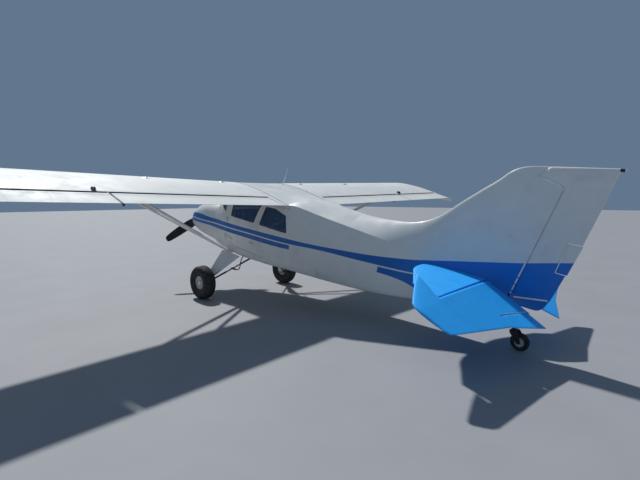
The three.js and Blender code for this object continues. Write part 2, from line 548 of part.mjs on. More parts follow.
// fin. columns: z, leading edge x, half thickness
const FIN = [
  [1560, -3250, 34],
  [1840, -2560, 32],
  [1885, -2600, 28],
  [1926, -3030, 34],
  [2020, -3310, 40],
  [2194, -3540, 40],
  [2474, -3850, 36],
  [2700, -4106, 30],
  [2800, -4270, 22],
];
const hingeX = (z) => RUDDER_FOOT[0] + (RUDDER_HEAD[0] - RUDDER_FOOT[0]) * (z - RUDDER_FOOT[1]) / (RUDDER_HEAD[1] - RUDDER_FOOT[1]);
const NOSE = 30;                   // radius of the rudder's nose round its hinge
const finRing = (z, le, h) => {
  const te = hingeX(z) + NOSE + 14;
  const l = te - le;
  return [[le, 0], [le + l * 0.04, h * 0.45], [le + l * 0.2, h * 0.9], [le + l * 0.5, h], [te, h * 0.86],
    [te, -h * 0.86], [le + l * 0.5, -h], [le + l * 0.2, -h * 0.9], [le + l * 0.04, -h * 0.45]].map(([x, y]) => V(x, y, z));
};
const hornGap = solid(prismXZ([[-4900, 2600], [-4695 + 62, 2657 - 16], [-4378, 2704], [-4470, 2900], [-4900, 2900]], -100, 100));
put(level, 'fin', geometry(cut(solid(loft(FIN.map((r) => finRing(...r)))), bodySolid(CABIN_END + 60, -4397, -0.6), hornGap)),
  paint('fin', WHITE));

// rudder, with the balance horn ahead of the hinge line at its top and a
// rounded heel. columns: z, trailing edge x, half thickness at the trailing
// edge, radius of the nose where it is less than NOSE
const RUDDER = [
  [1347, -4690, 8, 11],
  [1356, -4724, 8, 12],
  [1379, -4751, 7, 14],
  [1430, -4783, 6, 20],
  [1460, -4798, 6, 27],
  [1500, -4812, 6],
  [1813, -4892, 5],
  [2118, -4964, 5],
  [2640, -5064, 5],
];
const rudTilt = Math.atan2(RUDDER_HEAD[0] - RUDDER_FOOT[0], RUDDER_HEAD[1] - RUDDER_FOOT[1]);
const rudPivot = pivot(level, 'rudder_swing', RUDDER_FOOT[0], 0, RUDDER_FOOT[1], rudTilt);
const rudRing = (z, te, h, r = NOSE) => {
  const hx = hingeX(z);
  return [[te, -h], [hx - 8, -r], ...[-60, -30, 0, 30, 60].map((a) => [hx + r * Math.cos(a * D2R), r * Math.sin(a * D2R)]),
    [hx - 8, r], [te, h]].map(([x, y]) => V(x, y, z));
};
const balance = loft([
  [[-4418, 2741], [-4520, 2718], [-4705, 2676], [-5068, 2652]],
  [[-4508, 2832], [-4580, 2842], [-4760, 2860], [-5112, 2896]],
].map((row) => {
  const [a, b, c, d] = row;
  return [[...a, 7], [...b, 22], [...c, 26], [...d, 5], [...d, -5], [...c, -26], [...b, -22], [...a, -7]].map(([x, z, y]) => V(x, y, z));
}));
const rudderSolid = join(solid(loft(RUDDER.map((r) => rudRing(...r)))),
  solid(loft([rudRing(2600, -5056, 5), rudRing(2690, -5074, 5)])), solid(balance),
  solid(box(-5163, -5098, -11, 11, 2862, 2896)));
put(rudPivot, 'rudder', geometry(rudderSolid).applyMatrix4(rudPivot.matrix.clone().invert()), paint('rudder', WHITE));

// tailplane. The plan is [x, y]; the section is a thin symmetrical one.
const tailRing = (y, le, te, h, nose) => {
  const l = te - le;
  const f = nose
    ? [[le, 0], [le + l * 0.05, h * 0.55], [le + l * 0.25, h], [te, 5], [te, -5], [le + l * 0.25, -h], [le + l * 0.05, -h * 0.55]]
    : [[le, 0], [le + l * 0.07, h * 0.55], [le + l * 0.4, h], [te, h * 0.9], [te, -h * 0.9], [le + l * 0.4, -h], [le + l * 0.07, -h * 0.55]];
  return f.map(([x, z]) => V(x, y, z));
};
const ELEV_NOSE = 28;
const elevPivot = pivot(level, 'elevator_swing', HINGE_X, 0, STAB_Z, -ELEV_REST * D2R);
for (const [side, s] of [['left', 1], ['right', -1]]) {
  // columns: y, leading edge, half thickness
  const STAB = [[100, -3420, 34], [296, -3425, 34], [425, -3450, 34], [721, -3611, 32], [980, -3762, 30], [1212, -3900, 24]];
  const te = HINGE_X + ELEV_NOSE + 12;
  const stab = solid(loft(STAB.map(([y, le, h]) => tailRing(s * y, le, te, h, false)))).intersect(
    solid(prismXY([[-3300, s * 20], [-3300, s * 1300], [-3600, s * 904], [-3767, s * 988], [-4300, s * 1241], [-4300, s * 20]], -80, 80)));
  const stabMesh = cut(solid(geometry(stab).translate(0, 0, STAB_Z)), bodySolid(CABIN_END + 60, -4397, -0.6));
  put(level, `stabiliser_${side}`, geometry(stabMesh), paint('stabiliser', BLUE));

  // elevator, drawn about its hinge line; columns: y, trailing edge behind it
  const ELEV = [[100, 300], [160, 520], [240, 736], [737, 546], [1180, 446], [1245, 432]];
  const ring = (y, t) => {
    return [[-t, -5], [-6, -ELEV_NOSE], ...[-60, -30, 0, 30, 60].map((a) => [ELEV_NOSE * Math.cos(a * D2R), ELEV_NOSE * Math.sin(a * D2R)]),
      [-6, ELEV_NOSE], [-t, 5]].map(([x, z]) => V(x, s * y, z));
  };
  const inner = solid(loft(ELEV.map(([y, t]) => ring(y, t))));
  // outer end with the balance horn; columns: y, nose ahead of the hinge, trailing edge behind it
  const HORN = [[1244, 285, 432], [1270, 270, 426], [1500, 135, 374], [1600, 72, 350], [1640, -60, 284]];
  const outer = solid(loft(HORN.map(([y, a, t]) => {
    const l = a + t;
    return [[a, 0], [a - l * 0.05, 14], [a - l * 0.28, 24], [-t, 5], [-t, -5], [a - l * 0.28, -24], [a - l * 0.05, -14]].map(([x, z]) => V(x, s * y, z));
  })));
  // the horn reaches in along the stabiliser's slanted end
  const inboard = solid(loft([[1030, 396, 30], [1100, 356, 30], [1246, 284, 30]].map(([y, a, b]) =>
    [[a, 0], [a - 20, 14], [b, 20], [b, -20], [a - 20, -14]].map(([x, z]) => V(x, s * y, z)))));
  const edge = solid(prismXY([[-60, s * 1244], [0, s * 1232], [460, s * 1013], [460, s * 1700], [-600, s * 1700], [-600, s * 1244]], -60, 60));
  put(elevPivot, `elevator_${side}`, geometry(join(inner, outer.intersect(edge), inboard.intersect(edge))), paint('elevator', BLUE));
}

// tail spring, from the belly to the tail wheel's pivot
const spring = loft([
  [-4040, 1186, 42, 14], [-4200, 1180, 38, 14], [-4380, 1160, 34, 13], [-4540, 1118, 32, 13],
].map(([x, z, w, h]) => [[-w, 0], [w, 0], [w, h], [-w, h]].map(([y, dz]) => V(x, y, z + dz))));
put(level, 'tail_spring', weld(spring), paint('tail_spring', BLACK, 0.5, 0.5));

const forkPivot = pivot(ground, 'tail_fork_steer', KING_PIN_X, 0, TAIL_TYRE_R);
const wheelDX = -WHEEL_BASE - KING_PIN_X;
const cheek = (s) => solid(prismXZ([[wheelDX - 20, -16], [wheelDX + 18, -20], [34, 100], [34, 128], [-36, 128], [-60, 104]], s * 40, s * 48));
put(forkPivot, 'tail_fork', geometry(join(cheek(1), cheek(-1), solid(box(-36, 34, -48, 48, 114, 130)),
  solid(rod(V(0, 0, 120), V(0, 0, 152), 18, 12)), solid(rod(V(wheelDX, -52, 0), V(wheelDX, 52, 0), 8, 8)))),
paint('tail_fork', BLACK, 0.5, 0.5));
const tailWheelPivot = pivot(forkPivot, 'tail_wheel_spin', wheelDX, 0, 0);
const tk = 1 / Math.cos(Math.PI / 16);
put(tailWheelPivot, 'tail_wheel', turned([[11, -30], [58, -30], [84 * tk, -29], [TAIL_TYRE_R * tk, -14],
  [TAIL_TYRE_R * tk, 14], [84 * tk, 29], [58, 30], [11, 30]], 16).rotateY(Math.PI / 16), paint('tail_wheel', BLACK, 0.9));

export default aircraft;
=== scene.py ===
import json
import math

import bmesh
import bpy
import numpy as np
from mathutils import Matrix, Vector
from mathutils.geometry import delaunay_2d_cdt

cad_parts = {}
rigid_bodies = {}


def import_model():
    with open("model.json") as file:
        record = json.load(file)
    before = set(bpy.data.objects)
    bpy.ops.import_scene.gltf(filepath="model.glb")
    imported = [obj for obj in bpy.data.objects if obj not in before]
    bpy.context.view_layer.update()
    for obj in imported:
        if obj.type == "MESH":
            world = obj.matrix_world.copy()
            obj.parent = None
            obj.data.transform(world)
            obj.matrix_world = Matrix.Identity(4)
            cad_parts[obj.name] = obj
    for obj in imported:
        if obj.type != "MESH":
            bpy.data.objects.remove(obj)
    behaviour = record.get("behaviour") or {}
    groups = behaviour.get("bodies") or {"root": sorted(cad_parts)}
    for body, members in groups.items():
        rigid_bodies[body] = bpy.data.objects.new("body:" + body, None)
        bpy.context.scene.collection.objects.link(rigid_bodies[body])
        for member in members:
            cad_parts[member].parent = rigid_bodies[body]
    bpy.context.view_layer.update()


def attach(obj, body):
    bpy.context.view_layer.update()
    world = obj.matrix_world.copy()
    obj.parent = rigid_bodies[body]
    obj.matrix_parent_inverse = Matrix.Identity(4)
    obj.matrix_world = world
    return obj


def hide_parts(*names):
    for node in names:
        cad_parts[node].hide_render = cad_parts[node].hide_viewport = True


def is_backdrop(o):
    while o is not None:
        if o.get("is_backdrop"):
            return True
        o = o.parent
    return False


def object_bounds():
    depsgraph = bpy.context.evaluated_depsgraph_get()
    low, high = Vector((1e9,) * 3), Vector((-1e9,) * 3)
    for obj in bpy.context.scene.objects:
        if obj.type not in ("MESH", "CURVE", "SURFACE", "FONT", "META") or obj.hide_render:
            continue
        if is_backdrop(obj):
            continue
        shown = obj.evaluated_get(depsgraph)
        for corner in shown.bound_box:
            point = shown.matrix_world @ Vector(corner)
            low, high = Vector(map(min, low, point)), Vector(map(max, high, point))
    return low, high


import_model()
scene = bpy.context.scene
scene.view_settings.view_transform = "Standard"
scene.view_settings.look = "None"
pi = math.pi

STAND = math.radians(10.5)
ORIGIN_X = 2.031
DIHEDRAL = math.radians(1.46)
ROW = Matrix.Identity(4)
GROUND = Matrix.Translation((ORIGIN_X, 0, 0))
LEVEL = GROUND @ Matrix.Rotation(-STAND, 4, "Y")
WING = {s: LEVEL @ Matrix.Translation((0, 0, 1.81)) @ Matrix.Rotation(s * DIHEDRAL, 4, "X") for s in (1, -1)}
SIDES = (("left", 1), ("right", -1))


# ------------------------------------------------------------------ curves

class Curve:
    """Smooth curve through points, without overshoot."""

    def __init__(self, *pts):
        pts = sorted(pts)
        self.x = np.array([p[0] for p in pts], float)
        self.y = np.array([p[1] for p in pts], float)
        h, d = np.diff(self.x), np.diff(self.y) / np.diff(self.x)
        m = np.zeros(len(pts))
        m[0], m[-1] = d[0], d[-1]
        for i in range(1, len(pts) - 1):
            if d[i - 1] * d[i] > 0:
                a, b = 2 * h[i] + h[i - 1], h[i] + 2 * h[i - 1]
                m[i] = (a + b) / (a / d[i - 1] + b / d[i])
        self.m = m

    def __call__(self, q):
        q = np.asarray(q, float)
        c = np.clip(q, self.x[0], self.x[-1])
        i = np.clip(np.searchsorted(self.x, c, side="right") - 1, 0, len(self.x) - 2)
        h = self.x[i + 1] - self.x[i]
        t = (c - self.x[i]) / h
        out = ((2 * t**3 - 3 * t**2 + 1) * self.y[i] + (t**3 - 2 * t**2 + t) * h * self.m[i]
               + (3 * t**2 - 2 * t**3) * self.y[i + 1] + (t**3 - t**2) * h * self.m[i + 1])
        return float(out) if out.ndim == 0 else out


def bezier2(a, b, c, n):
    a, b, c = map(np.array, (a, b, c))
    t = np.linspace(0, 1, n)[:, None]
    return (1 - t) ** 2 * a + 2 * t * (1 - t) * b + t**2 * c


def bezier3(a, b, c, d, n):
    a, b, c, d = (np.array(v, float) for v in (a, b, c, d))
    t = np.linspace(0, 1, n)[:, None]
    return (1 - t) ** 3 * a + 3 * t * (1 - t) ** 2 * b + 3 * t**2 * (1 - t) * c + t**3 * d


def resample(line, n, power=1.0):
    """n points equally far apart along a line; power > 1 gathers them at its end."""
    line = np.asarray(line, float)
    s = np.concatenate([[0], np.cumsum(np.linalg.norm(np.diff(line, axis=0), axis=1))])
    t = np.linspace(0, 1, n)
    t = 1 - (1 - t) ** power
    return np.stack([np.interp(t * s[-1], s, line[:, k]) for k in range(line.shape[1])], 1)


def smooth_path(points, n):
    """n points on a Catmull-Rom curve through the points."""
    p = [Vector(q) for q in points]
    p = [p[0] * 2 - p[1], *p, p[-1] * 2 - p[-2]]
    out = []
    for i in range(1, len(p) - 2):
        for k in range(24):
            t = k / 24
            a, b, c, d = p[i - 1], p[i], p[i + 1], p[i + 2]
            out.append(0.5 * (2 * b + (c - a) * t + (2 * a - 5 * b + 4 * c - d) * t * t + (3 * b - a - 3 * c + d) * t**3))
    out.append(p[-2])
    return [Vector(q) for q in resample(np.array([list(q) for q in out]), n)]


# -------------------------------------------------------- 2-D outline tools

def clockwise(o):
    return sum((o[i - 1][0] * o[i][1] - o[i][0] * o[i - 1][1]) for i in range(len(o))) < 0


def grown(outline, d):
    """Outline grown by d, or shrunk where d is negative; d may be one number per point."""
    o = np.array(outline, float)
    sign = -1.0 if clockwise(o) else 1.0
    d = np.full(len(o), d, float) if np.isscalar(d) else np.asarray(d, float)
    e = o - np.roll(o, 1, 0)
    f = np.roll(o, -1, 0) - o
    n1 = np.stack([e[:, 1], -e[:, 0]], 1) / np.linalg.norm(e, axis=1)[:, None]
    n2 = np.stack([f[:, 1], -f[:, 0]], 1) / np.linalg.norm(f, axis=1)[:, None]
    k = np.maximum(1 + (n1 * n2).sum(1), 0.35)
    return o + sign * d[:, None] * (n1 + n2) / k[:, None]


def rounded(outline, radius, n=5):
    """Outline with its corners rounded; radius may be one number per corner."""
    o = [np.array(p, float) for p in outline]
    out = []
    for i, q in enumerate(o):
        r = radius if np.isscalar(radius) else radius[i]
        p, s = o[i - 1], o[(i + 1) % len(o)]
        if r <= 0:
            out.append(q)
            continue
        a, b = p - q, s - q
        la, lb = np.linalg.norm(a), np.linalg.norm(b)
        half = math.acos(max(-1, min(1, a @ b / la / lb))) / 2
        c = min(r / math.tan(half) if half > 1e-3 else 1e9, 0.46 * la, 0.46 * lb)
        out.extend(bezier2(q + a / la * c, q, q + b / lb * c, n))
    return np.array(out)


def divided(outline, step):
    """Outline with points added so that no edge is longer than step."""
    out = []
    for i in range(len(outline)):
        a, b = np.array(outline[i], float), np.array(outline[(i + 1) % len(outline)], float)
        n = max(1, math.ceil(np.linalg.norm(b - a) / step - 1e-6))
        out.extend(a + (b - a) * k / n for k in range(n))
    return np.array(out)


def inside(points, loop):
    x, y = points[:, 0], points[:, 1]
    r = np.zeros(len(points), bool)
    a = loop
    b = np.roll(loop, -1, 0)
    for (x0, y0), (x1, y1) in zip(a, b):
        if y0 == y1:
            continue
        c = ((y0 > y) != (y1 > y)) & (x < (x1 - x0) * (y - y0) / (y1 - y0) + x0)
        r ^= c
    return r


def edge_distance(points, loop):
    best = np.full(len(points), 1e9)
    for a, b in zip(loop, np.roll(loop, -1, 0)):
        d = b - a
        t = np.clip(((points - a) @ d) / max(d @ d, 1e-18), 0, 1)
        best = np.minimum(best, np.linalg.norm(points - a - t[:, None] * d, axis=1))
    return best


def triangulated(outline, holes, step, extra=None):
    """Points and triangles of a flat region with a grid of points in it.
    The loops' own points come first, in order."""
    loops = [np.asarray(outline, float)] + [np.asarray(h, float) for h in holes]
    lo, hi = loops[0].min(0), loops[0].max(0)
    sx, sy = (step, step) if np.isscalar(step) else step
    gx = np.arange(lo[0] + sx * 0.5, hi[0], sx)
    gy = np.arange(lo[1] + sy * 0.5, hi[1], sy)
    grid = np.stack(np.meshgrid(gx, gy, indexing="ij"), -1).reshape(-1, 2)
    grid[:, 1] += np.where((np.round((grid[:, 0] - lo[0]) / sx - 0.5) % 2) == 1, sy * 0.25, -sy * 0.25)
    ok = inside(grid, loops[0])
    for h in loops[1:]:
        ok &= ~inside(grid, h)
    grid = grid[ok]
    for h in loops:
        grid = grid[edge_distance(grid, h) > 0.42 * min(sx, sy)]
    if extra is not None:
        near = np.array([np.min(np.sum((extra - g) ** 2, 1)) for g in grid]) if len(grid) else np.zeros(0)
        grid = np.vstack([extra, grid[near > (0.40 * min(sx, sy)) ** 2]])
    pts = [tuple(p) for l in loops for p in l] + [tuple(p) for p in grid]
    edges, k = [], 0
    for l in loops:
        n = len(l)
        edges += [(k + i, k + (i + 1) % n) for i in range(n)]
        k += n
    v, _, f, ov, _, _ = delaunay_2d_cdt([Vector(p) for p in pts], edges, [], 0, 1e-7)
    v = np.array([(p[0], p[1]) for p in v])
    back = {}
    for i, src in enumerate(ov):
        for q in src:
            back[q] = i
    mid = np.array([v[list(t)].mean(0) for t in f])
    ok = inside(mid, loops[0])
    for h in loops[1:]:
        ok &= ~inside(mid, h)
    tris = [tuple(t) for t, g in zip(f, ok) if g]
    used = sorted({i for t in tris for i in t})
    new = {i: j for j, i in enumerate(used)}
    rings, k = [], 0
    for l in loops:
        rings.append([new[back[k + i]] for i in range(len(l))])
        k += len(l)
    return v[used], [tuple(new[i] for i in t) for t in tris], rings


# ------------------------------------------------------------- mesh shapes

def lifted(m, v):
    return tuple(m @ Vector(v)) if m is not None else tuple(v)


class Shape:
    """Vertices and faces gathered from simple forms, then made into one piece."""

    def __init__(self):
        self.v, self.f = [], []

    def add(self, v, f, m=None):
        k = len(self.v)
        self.v += [lifted(m, p) for p in v]
        self.f += [tuple(i + k for i in q) for q in f]
        return self

    def grid(self, rows, wrap=False, m=None):
        n = len(rows[0])
        faces = []
        for r in range(len(rows) - 1):
            for i in range(n if wrap else n - 1):
                a, b = r * n + i, r * n + (i + 1) % n
                faces.append((a, b, b + n, a + n))
        return self.add([p for r in rows for p in r], faces, m)

    def loft(self, rings, m=None, caps=(True, True)):
        n = len(rings[0])
        faces = []
        for r in range(len(rings) - 1):
            for i in range(n):
                a, b = r * n + i, r * n + (i + 1) % n
                faces.append((a, b, b + n, a + n))
        if caps[0]:
            faces.append(tuple(range(n))[::-1])
        if caps[1]:
            faces.append(tuple(range((len(rings) - 1) * n, len(rings) * n)))
        return self.add([p for r in rings for p in r], faces, m)

    def tube(self, pts, r, n=12, m=None, caps=True, flat=1.0, up=None):
        """Round bar along points; r may be a list; flat squashes it across."""
        p = [Vector(q) for q in pts]
        rad = [r] * len(p) if np.isscalar(r) else list(r)
        t = [(p[min(i + 1, len(p) - 1)] - p[max(i - 1, 0)]).normalized() for i in range(len(p))]
        u = Vector(up) if up is not None else (Vector((0, 0, 1)) if abs(t[0].z) < 0.9 else Vector((1, 0, 0)))
        rings = []
        for q, d, a in zip(p, t, rad):
            u = (u - d * u.dot(d)).normalized()
            w = d.cross(u)
            rings.append([q + u * (a * math.cos(2 * pi * k / n)) + w * (a * flat * math.sin(2 * pi * k / n)) for k in range(n)])
        return self.loft(rings, m, (caps, caps))

    def lathe(self, profile, m=None, n=32):
        """Body turned about z from (radius, height); radius 0 closes an end."""
        faces, verts, rings = [], [], []
        for r, h in profile:
            if r <= 1e-9:
                verts.append((0, 0, h))
                rings.append([len(verts) - 1])
            else:
                k = len(verts)
                verts += [(r * math.cos(2 * pi * i / n), r * math.sin(2 * pi * i / n), h) for i in range(n)]
                rings.append(list(range(k, k + n)))
        for a, b in zip(rings, rings[1:]):
            for i in range(n):
                j = (i + 1) % n
                if len(a) == 1 and len(b) == 1:
                    break
                if len(a) == 1:
                    faces.append((a[0], b[i], b[j]))
                elif len(b) == 1:
                    faces.append((a[i], b[0], a[j]))
                else:
                    faces.append((a[i], b[i], b[j], a[j]))
        return self.add(verts, faces, m)

    def ring(self, profile, m=None, n=32):
        """Like lathe, with the profile closed on itself, as on a tyre."""
        verts, faces, k = [], [], len(profile)
        for i in range(n):
            c, s = math.cos(2 * pi * i / n), math.sin(2 * pi * i / n)
            verts += [(r * c, r * s, h) for r, h in profile]
        for i in range(n):
            j = (i + 1) % n
            for a in range(k):
                b = (a + 1) % k
                faces.append((i * k + a, i * k + b, j * k + b, j * k + a))
        return self.add(verts, faces, m)

    def box(self, lo, hi, bevel=0.002, seg=2, m=None):
        bm = bmesh.new()
        bmesh.ops.create_cube(bm, size=1)
        lo, hi = Vector(lo), Vector(hi)
        lo, hi = Vector(map(min, lo, hi)), Vector(map(max, lo, hi))
        size, mid = hi - lo, (lo + hi) / 2
        for v in bm.verts:
            v.co = Vector((v.co.x * size.x, v.co.y * size.y, v.co.z * size.z)) + mid
        w = min(bevel, 0.45 * min(size))
        if w > 0:
            bmesh.ops.bevel(bm, geom=bm.edges[:], offset=w, segments=seg, profile=0.5, affect="EDGES")
        bm.verts.index_update()
        self.add([v.co for v in bm.verts], [tuple(v.index for v in f.verts) for f in bm.faces], m)
        bm.free()
        return self

    def dome(self, at, normal, r=0.0035, h=0.0016, n=8):
        z = Vector(normal).normalized()
        m = Matrix.Translation(Vector(at)) @ z.to_track_quat("Z", "Y").to_matrix().to_4x4()
        return self.lathe([(r, -0.0004), (r * 0.86, h * 0.62), (r * 0.42, h), (0, h)], m, n)

    def screw(self, at, normal, r=0.004, h=0.0016, n=12):
        """Flat-topped screw head with a recess."""
        z = Vector(normal).normalized()
        m = Matrix.Translation(Vector(at)) @ z.to_track_quat("Z", "Y").to_matrix().to_4x4()
        return self.lathe([(r, -0.0004), (r, h * 0.6), (r * 0.8, h), (r * 0.4, h), (r * 0.3, h * 0.3), (0, h * 0.3)], m, n)

    def bolt(self, at, normal, r=0.007, h=0.005):
        z = Vector(normal).normalized()
        m = Matrix.Translation(Vector(at)) @ z.to_track_quat("Z", "Y").to_matrix().to_4x4()
        self.lathe([(r * 1.5, -0.0004), (r * 1.5, 0.001), (r * 1.4, 0.0014), (0, 0.0014)], m, 16)
        hexa = [(r * math.cos(k * pi / 3), r * math.sin(k * pi / 3)) for k in range(6)]
        small = [(x * 0.86, y * 0.86) for x, y in hexa]
        return self.loft([[(x, y, 0.001) for x, y in hexa], [(x, y, h * 0.85) for x, y in hexa],
                          [(x, y, h) for x, y in small]], m)

    def plate(self, outline, holes, face, t, step=0.03, r=0.0025, back=None, m=None):
        """Plate cut from a curved sheet. Outline and holes are flat loops; face(u, v)
        gives the outer point and unit inward direction of the sheet, t the
        thickness, r the rounding of every cut edge. back(u, v) may give the thickness."""
        full = [np.asarray(outline, float)] + [np.asarray(h, float) for h in holes]
        rin = [grown(l, -r if k == 0 else r) for k, l in enumerate(full)] if r > 0 else full
        pts, tris, rings = triangulated(rin[0], rin[1:], step)
        outer, inward = face(pts[:, 0], pts[:, 1])
        thick = np.full(len(pts), t) if back is None else back(pts[:, 0], pts[:, 1])
        n = len(pts)
        verts = [*outer, *(outer + inward * thick[:, None])]
        faces = [*tris, *[tuple(i + n for i in reversed(q)) for q in tris]]
        for loop, ring in zip(full, rings):
            levels = [[i for i in ring]]
            if r > 0:
                o, d = face(loop[:, 0], loop[:, 1])
                sign = -1 if loop is full[0] else 1
                tl = np.full(len(loop), t) if back is None else back(loop[:, 0], loop[:, 1])
                for off, dep in ((-0.29, 0.29), (0.0, 1.0)):
                    l = grown(loop, sign * -off * r) if off else loop
                    oo, dd = face(l[:, 0], l[:, 1])
                    levels.append(list(range(len(verts), len(verts) + len(loop))))
                    verts += list(oo + dd * (dep * r))
                for off, dep in ((0.0, 1.0), (-0.29, 0.29)):
                    l = grown(loop, sign * -off * r) if off else loop
                    oo, dd = face(l[:, 0], l[:, 1])
                    levels.append(list(range(len(verts), len(verts) + len(loop))))
                    verts += list(oo + dd * (tl - dep * r)[:, None])
            levels.append([i + n for i in ring])
            for a, b in zip(levels, levels[1:]):
                for i in range(len(ring)):
                    j = (i + 1) % len(ring)
                    faces.append((a[i], a[j], b[j], b[i]))
        return self.add(verts, faces, m)

    def pillow(self, outline, thick, to3d, step=0.03, rounds=3, m=None):
        """Closed thin body over a flat outline, such as a tail surface. thick(u, v)
        is its half thickness, and the edge is rounded to that radius;
        to3d(u, v, w) places a point w off the middle plane."""
        loop = np.asarray(outline, float)
        t = thick(loop[:, 0], loop[:, 1])
        extra = []
        for k in range(1, rounds + 1):
            d = t * (1 - math.cos(pi / 2 * k / rounds))
            l = grown(loop, -d)
            ok = inside(l, loop)
            ok[ok] = edge_distance(l[ok], loop) > d[ok] * 0.97
            extra.append(l[ok])
        pts, tris, (ring,) = triangulated(loop, [], step, np.vstack(extra))
        d = edge_distance(pts, loop)
        h = thick(pts[:, 0], pts[:, 1])
        h = h * np.sqrt(np.clip(1 - (1 - np.clip(d / h, 0, 1)) ** 2, 0, 1))
        n = len(pts)
        edge = set(ring)
        h[ring] = 0.0
        verts = [to3d(u, v, w) for (u, v), w in zip(pts, h)] + [to3d(u, v, -w) for (u, v), w in zip(pts, h)]
        low = lambda i: i if i in edge else i + n
        faces = [*tris, *[tuple(low(i) for i in reversed(q)) for q in tris if any(i not in edge for i in q)]]
        faces = [q for q in faces if len(set(q)) == 3]
        flat = [q for q in tris if all(i in edge for i in q)]
        faces = [q for q in faces if q not in set(flat)] if flat else faces
        return self.add(verts, faces, m)

    def make(self, name, material, body, slot=None, at=LEVEL, stands_for=(), angle=35, bevel=0.0, seg=2):
        """The piece. What is drawn in the level frame is stored in the row frame."""
        me = bpy.data.meshes.new(name)
        v = np.array([tuple(map(float, p)) for p in self.v])
        if at is LEVEL:
            m = np.array(LEVEL)
            v, at = v @ m[:3, :3].T + m[:3, 3], ROW
        me.from_pydata([tuple(p) for p in v.tolist()], [], self.f)
        bm = bmesh.new()
        bm.from_mesh(me)
        bmesh.ops.remove_doubles(bm, verts=bm.verts[:], dist=2e-6)
        bmesh.ops.dissolve_degenerate(bm, dist=1e-6, edges=bm.edges[:])
        bmesh.ops.recalc_face_normals(bm, faces=bm.faces[:])
        bm.to_mesh(me)
        bm.free()
        me.shade_smooth()
        me.set_sharp_from_angle(angle=math.radians(angle))
        ob = bpy.data.objects.new(name, me)
        scene.collection.objects.link(ob)
        ob.matrix_world = at
        if bevel:
            mod = ob.modifiers.new("edges", "BEVEL")
            mod.width, mod.segments, mod.limit_method, mod.angle_limit = bevel, seg, "ANGLE", math.radians(angle)
            mod.harden_normals = False
        return finish_piece(ob, material, body, stands_for)


def finish_piece(ob, material, body, stands_for=()):
    ob.data.materials.clear()
    ob.data.materials.append(material)
    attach(ob, body)
    if stands_for:
        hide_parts(*stands_for)
    return ob


def applied(ob):
    """The object's mesh with its modifiers applied."""
    dg = bpy.context.evaluated_depsgraph_get()
    me = bpy.data.meshes.new_from_object(ob.evaluated_get(dg))
    ob.modifiers.clear()
    ob.data = me
    return ob


def cut_by(ob, other, how="DIFFERENCE"):
    """Cuts ob by another shape, which is then removed."""
    mod = ob.modifiers.new("cut", "BOOLEAN")
    mod.operation, mod.object, mod.solver = how, other, "EXACT"
    bpy.context.view_layer.update()
    applied(ob)
    bpy.data.objects.remove(other)
    ob.data.shade_smooth()
    ob.data.set_sharp_from_angle(angle=math.radians(35))
    return ob


def cutter(shape, at=LEVEL):
    me = bpy.data.meshes.new("cutter")
    me.from_pydata([tuple(map(float, p)) for p in shape.v], [], shape.f)
    bm = bmesh.new()
    bm.from_mesh(me)
    bmesh.ops.recalc_face_normals(bm, faces=bm.faces[:])
    bm.to_mesh(me)
    bm.free()
    ob = bpy.data.objects.new("cutter", me)
    scene.collection.objects.link(ob)
    ob.matrix_world = at
    return ob


# --------------------------------------------------------------- materials

WHITE = (0.80, 0.80, 0.77)
BLUE_FRONT = (0.006, 0.135, 0.47)
# the tail blue made darker than on the tailplane, as painted shade on the side bands and fin
SHADED_TAIL_BLUE = (0.008, 0.185, 0.66)
GRIME = (0.16, 0.145, 0.125)

# Side stripes in the level frame: (x, z) of the top edge, of the light line
# between the two stripes, and of the bottom edge.
STRIPE_TOP = [(1.50, 1.158), (1.43, 1.170), (1.20, 1.200), (1.048, 1.222), (0.646, 1.234), (0.256, 1.261), (-0.344, 1.290),
              (-0.836, 1.318), (-1.266, 1.340), (-1.817, 1.367), (-2.299, 1.407), (-2.731, 1.445), (-2.996, 1.480),
              (-3.246, 1.518), (-3.425, 1.556), (-3.791, 1.640), (-4.440, 1.800), (-4.928, 1.936), (-5.20, 2.010)]
STRIPE_LINE = [(1.50, 1.085), (1.40, 1.097), (0.972, 1.127), (0.606, 1.154), (0.242, 1.184), (-0.348, 1.217), (-0.846, 1.243),
               (-1.273, 1.259), (-1.45, 1.271), (-1.651, 1.286), (-1.827, 1.301), (-2.161, 1.320), (-2.473, 1.328),
               (-2.76, 1.337), (-3.034, 1.347), (-3.292, 1.362), (-3.40, 1.375), (-5.2, 1.50)]
STRIPE_BOTTOM = [(1.50, 1.005), (1.40, 1.017), (0.981, 1.063), (0.608, 1.092), (0.244, 1.111), (-0.352, 1.141), (-0.852, 1.163),
                 (-1.279, 1.183), (-1.456, 1.197), (-2.2, 1.235), (-2.87, 1.256), (-3.053, 1.253), (-3.187, 1.243),
                 (-3.321, 1.214), (-3.45, 1.165), (-3.60, 1.090), (-3.80, 0.96), (-4.2, 0.80), (-5.2, 0.75)]


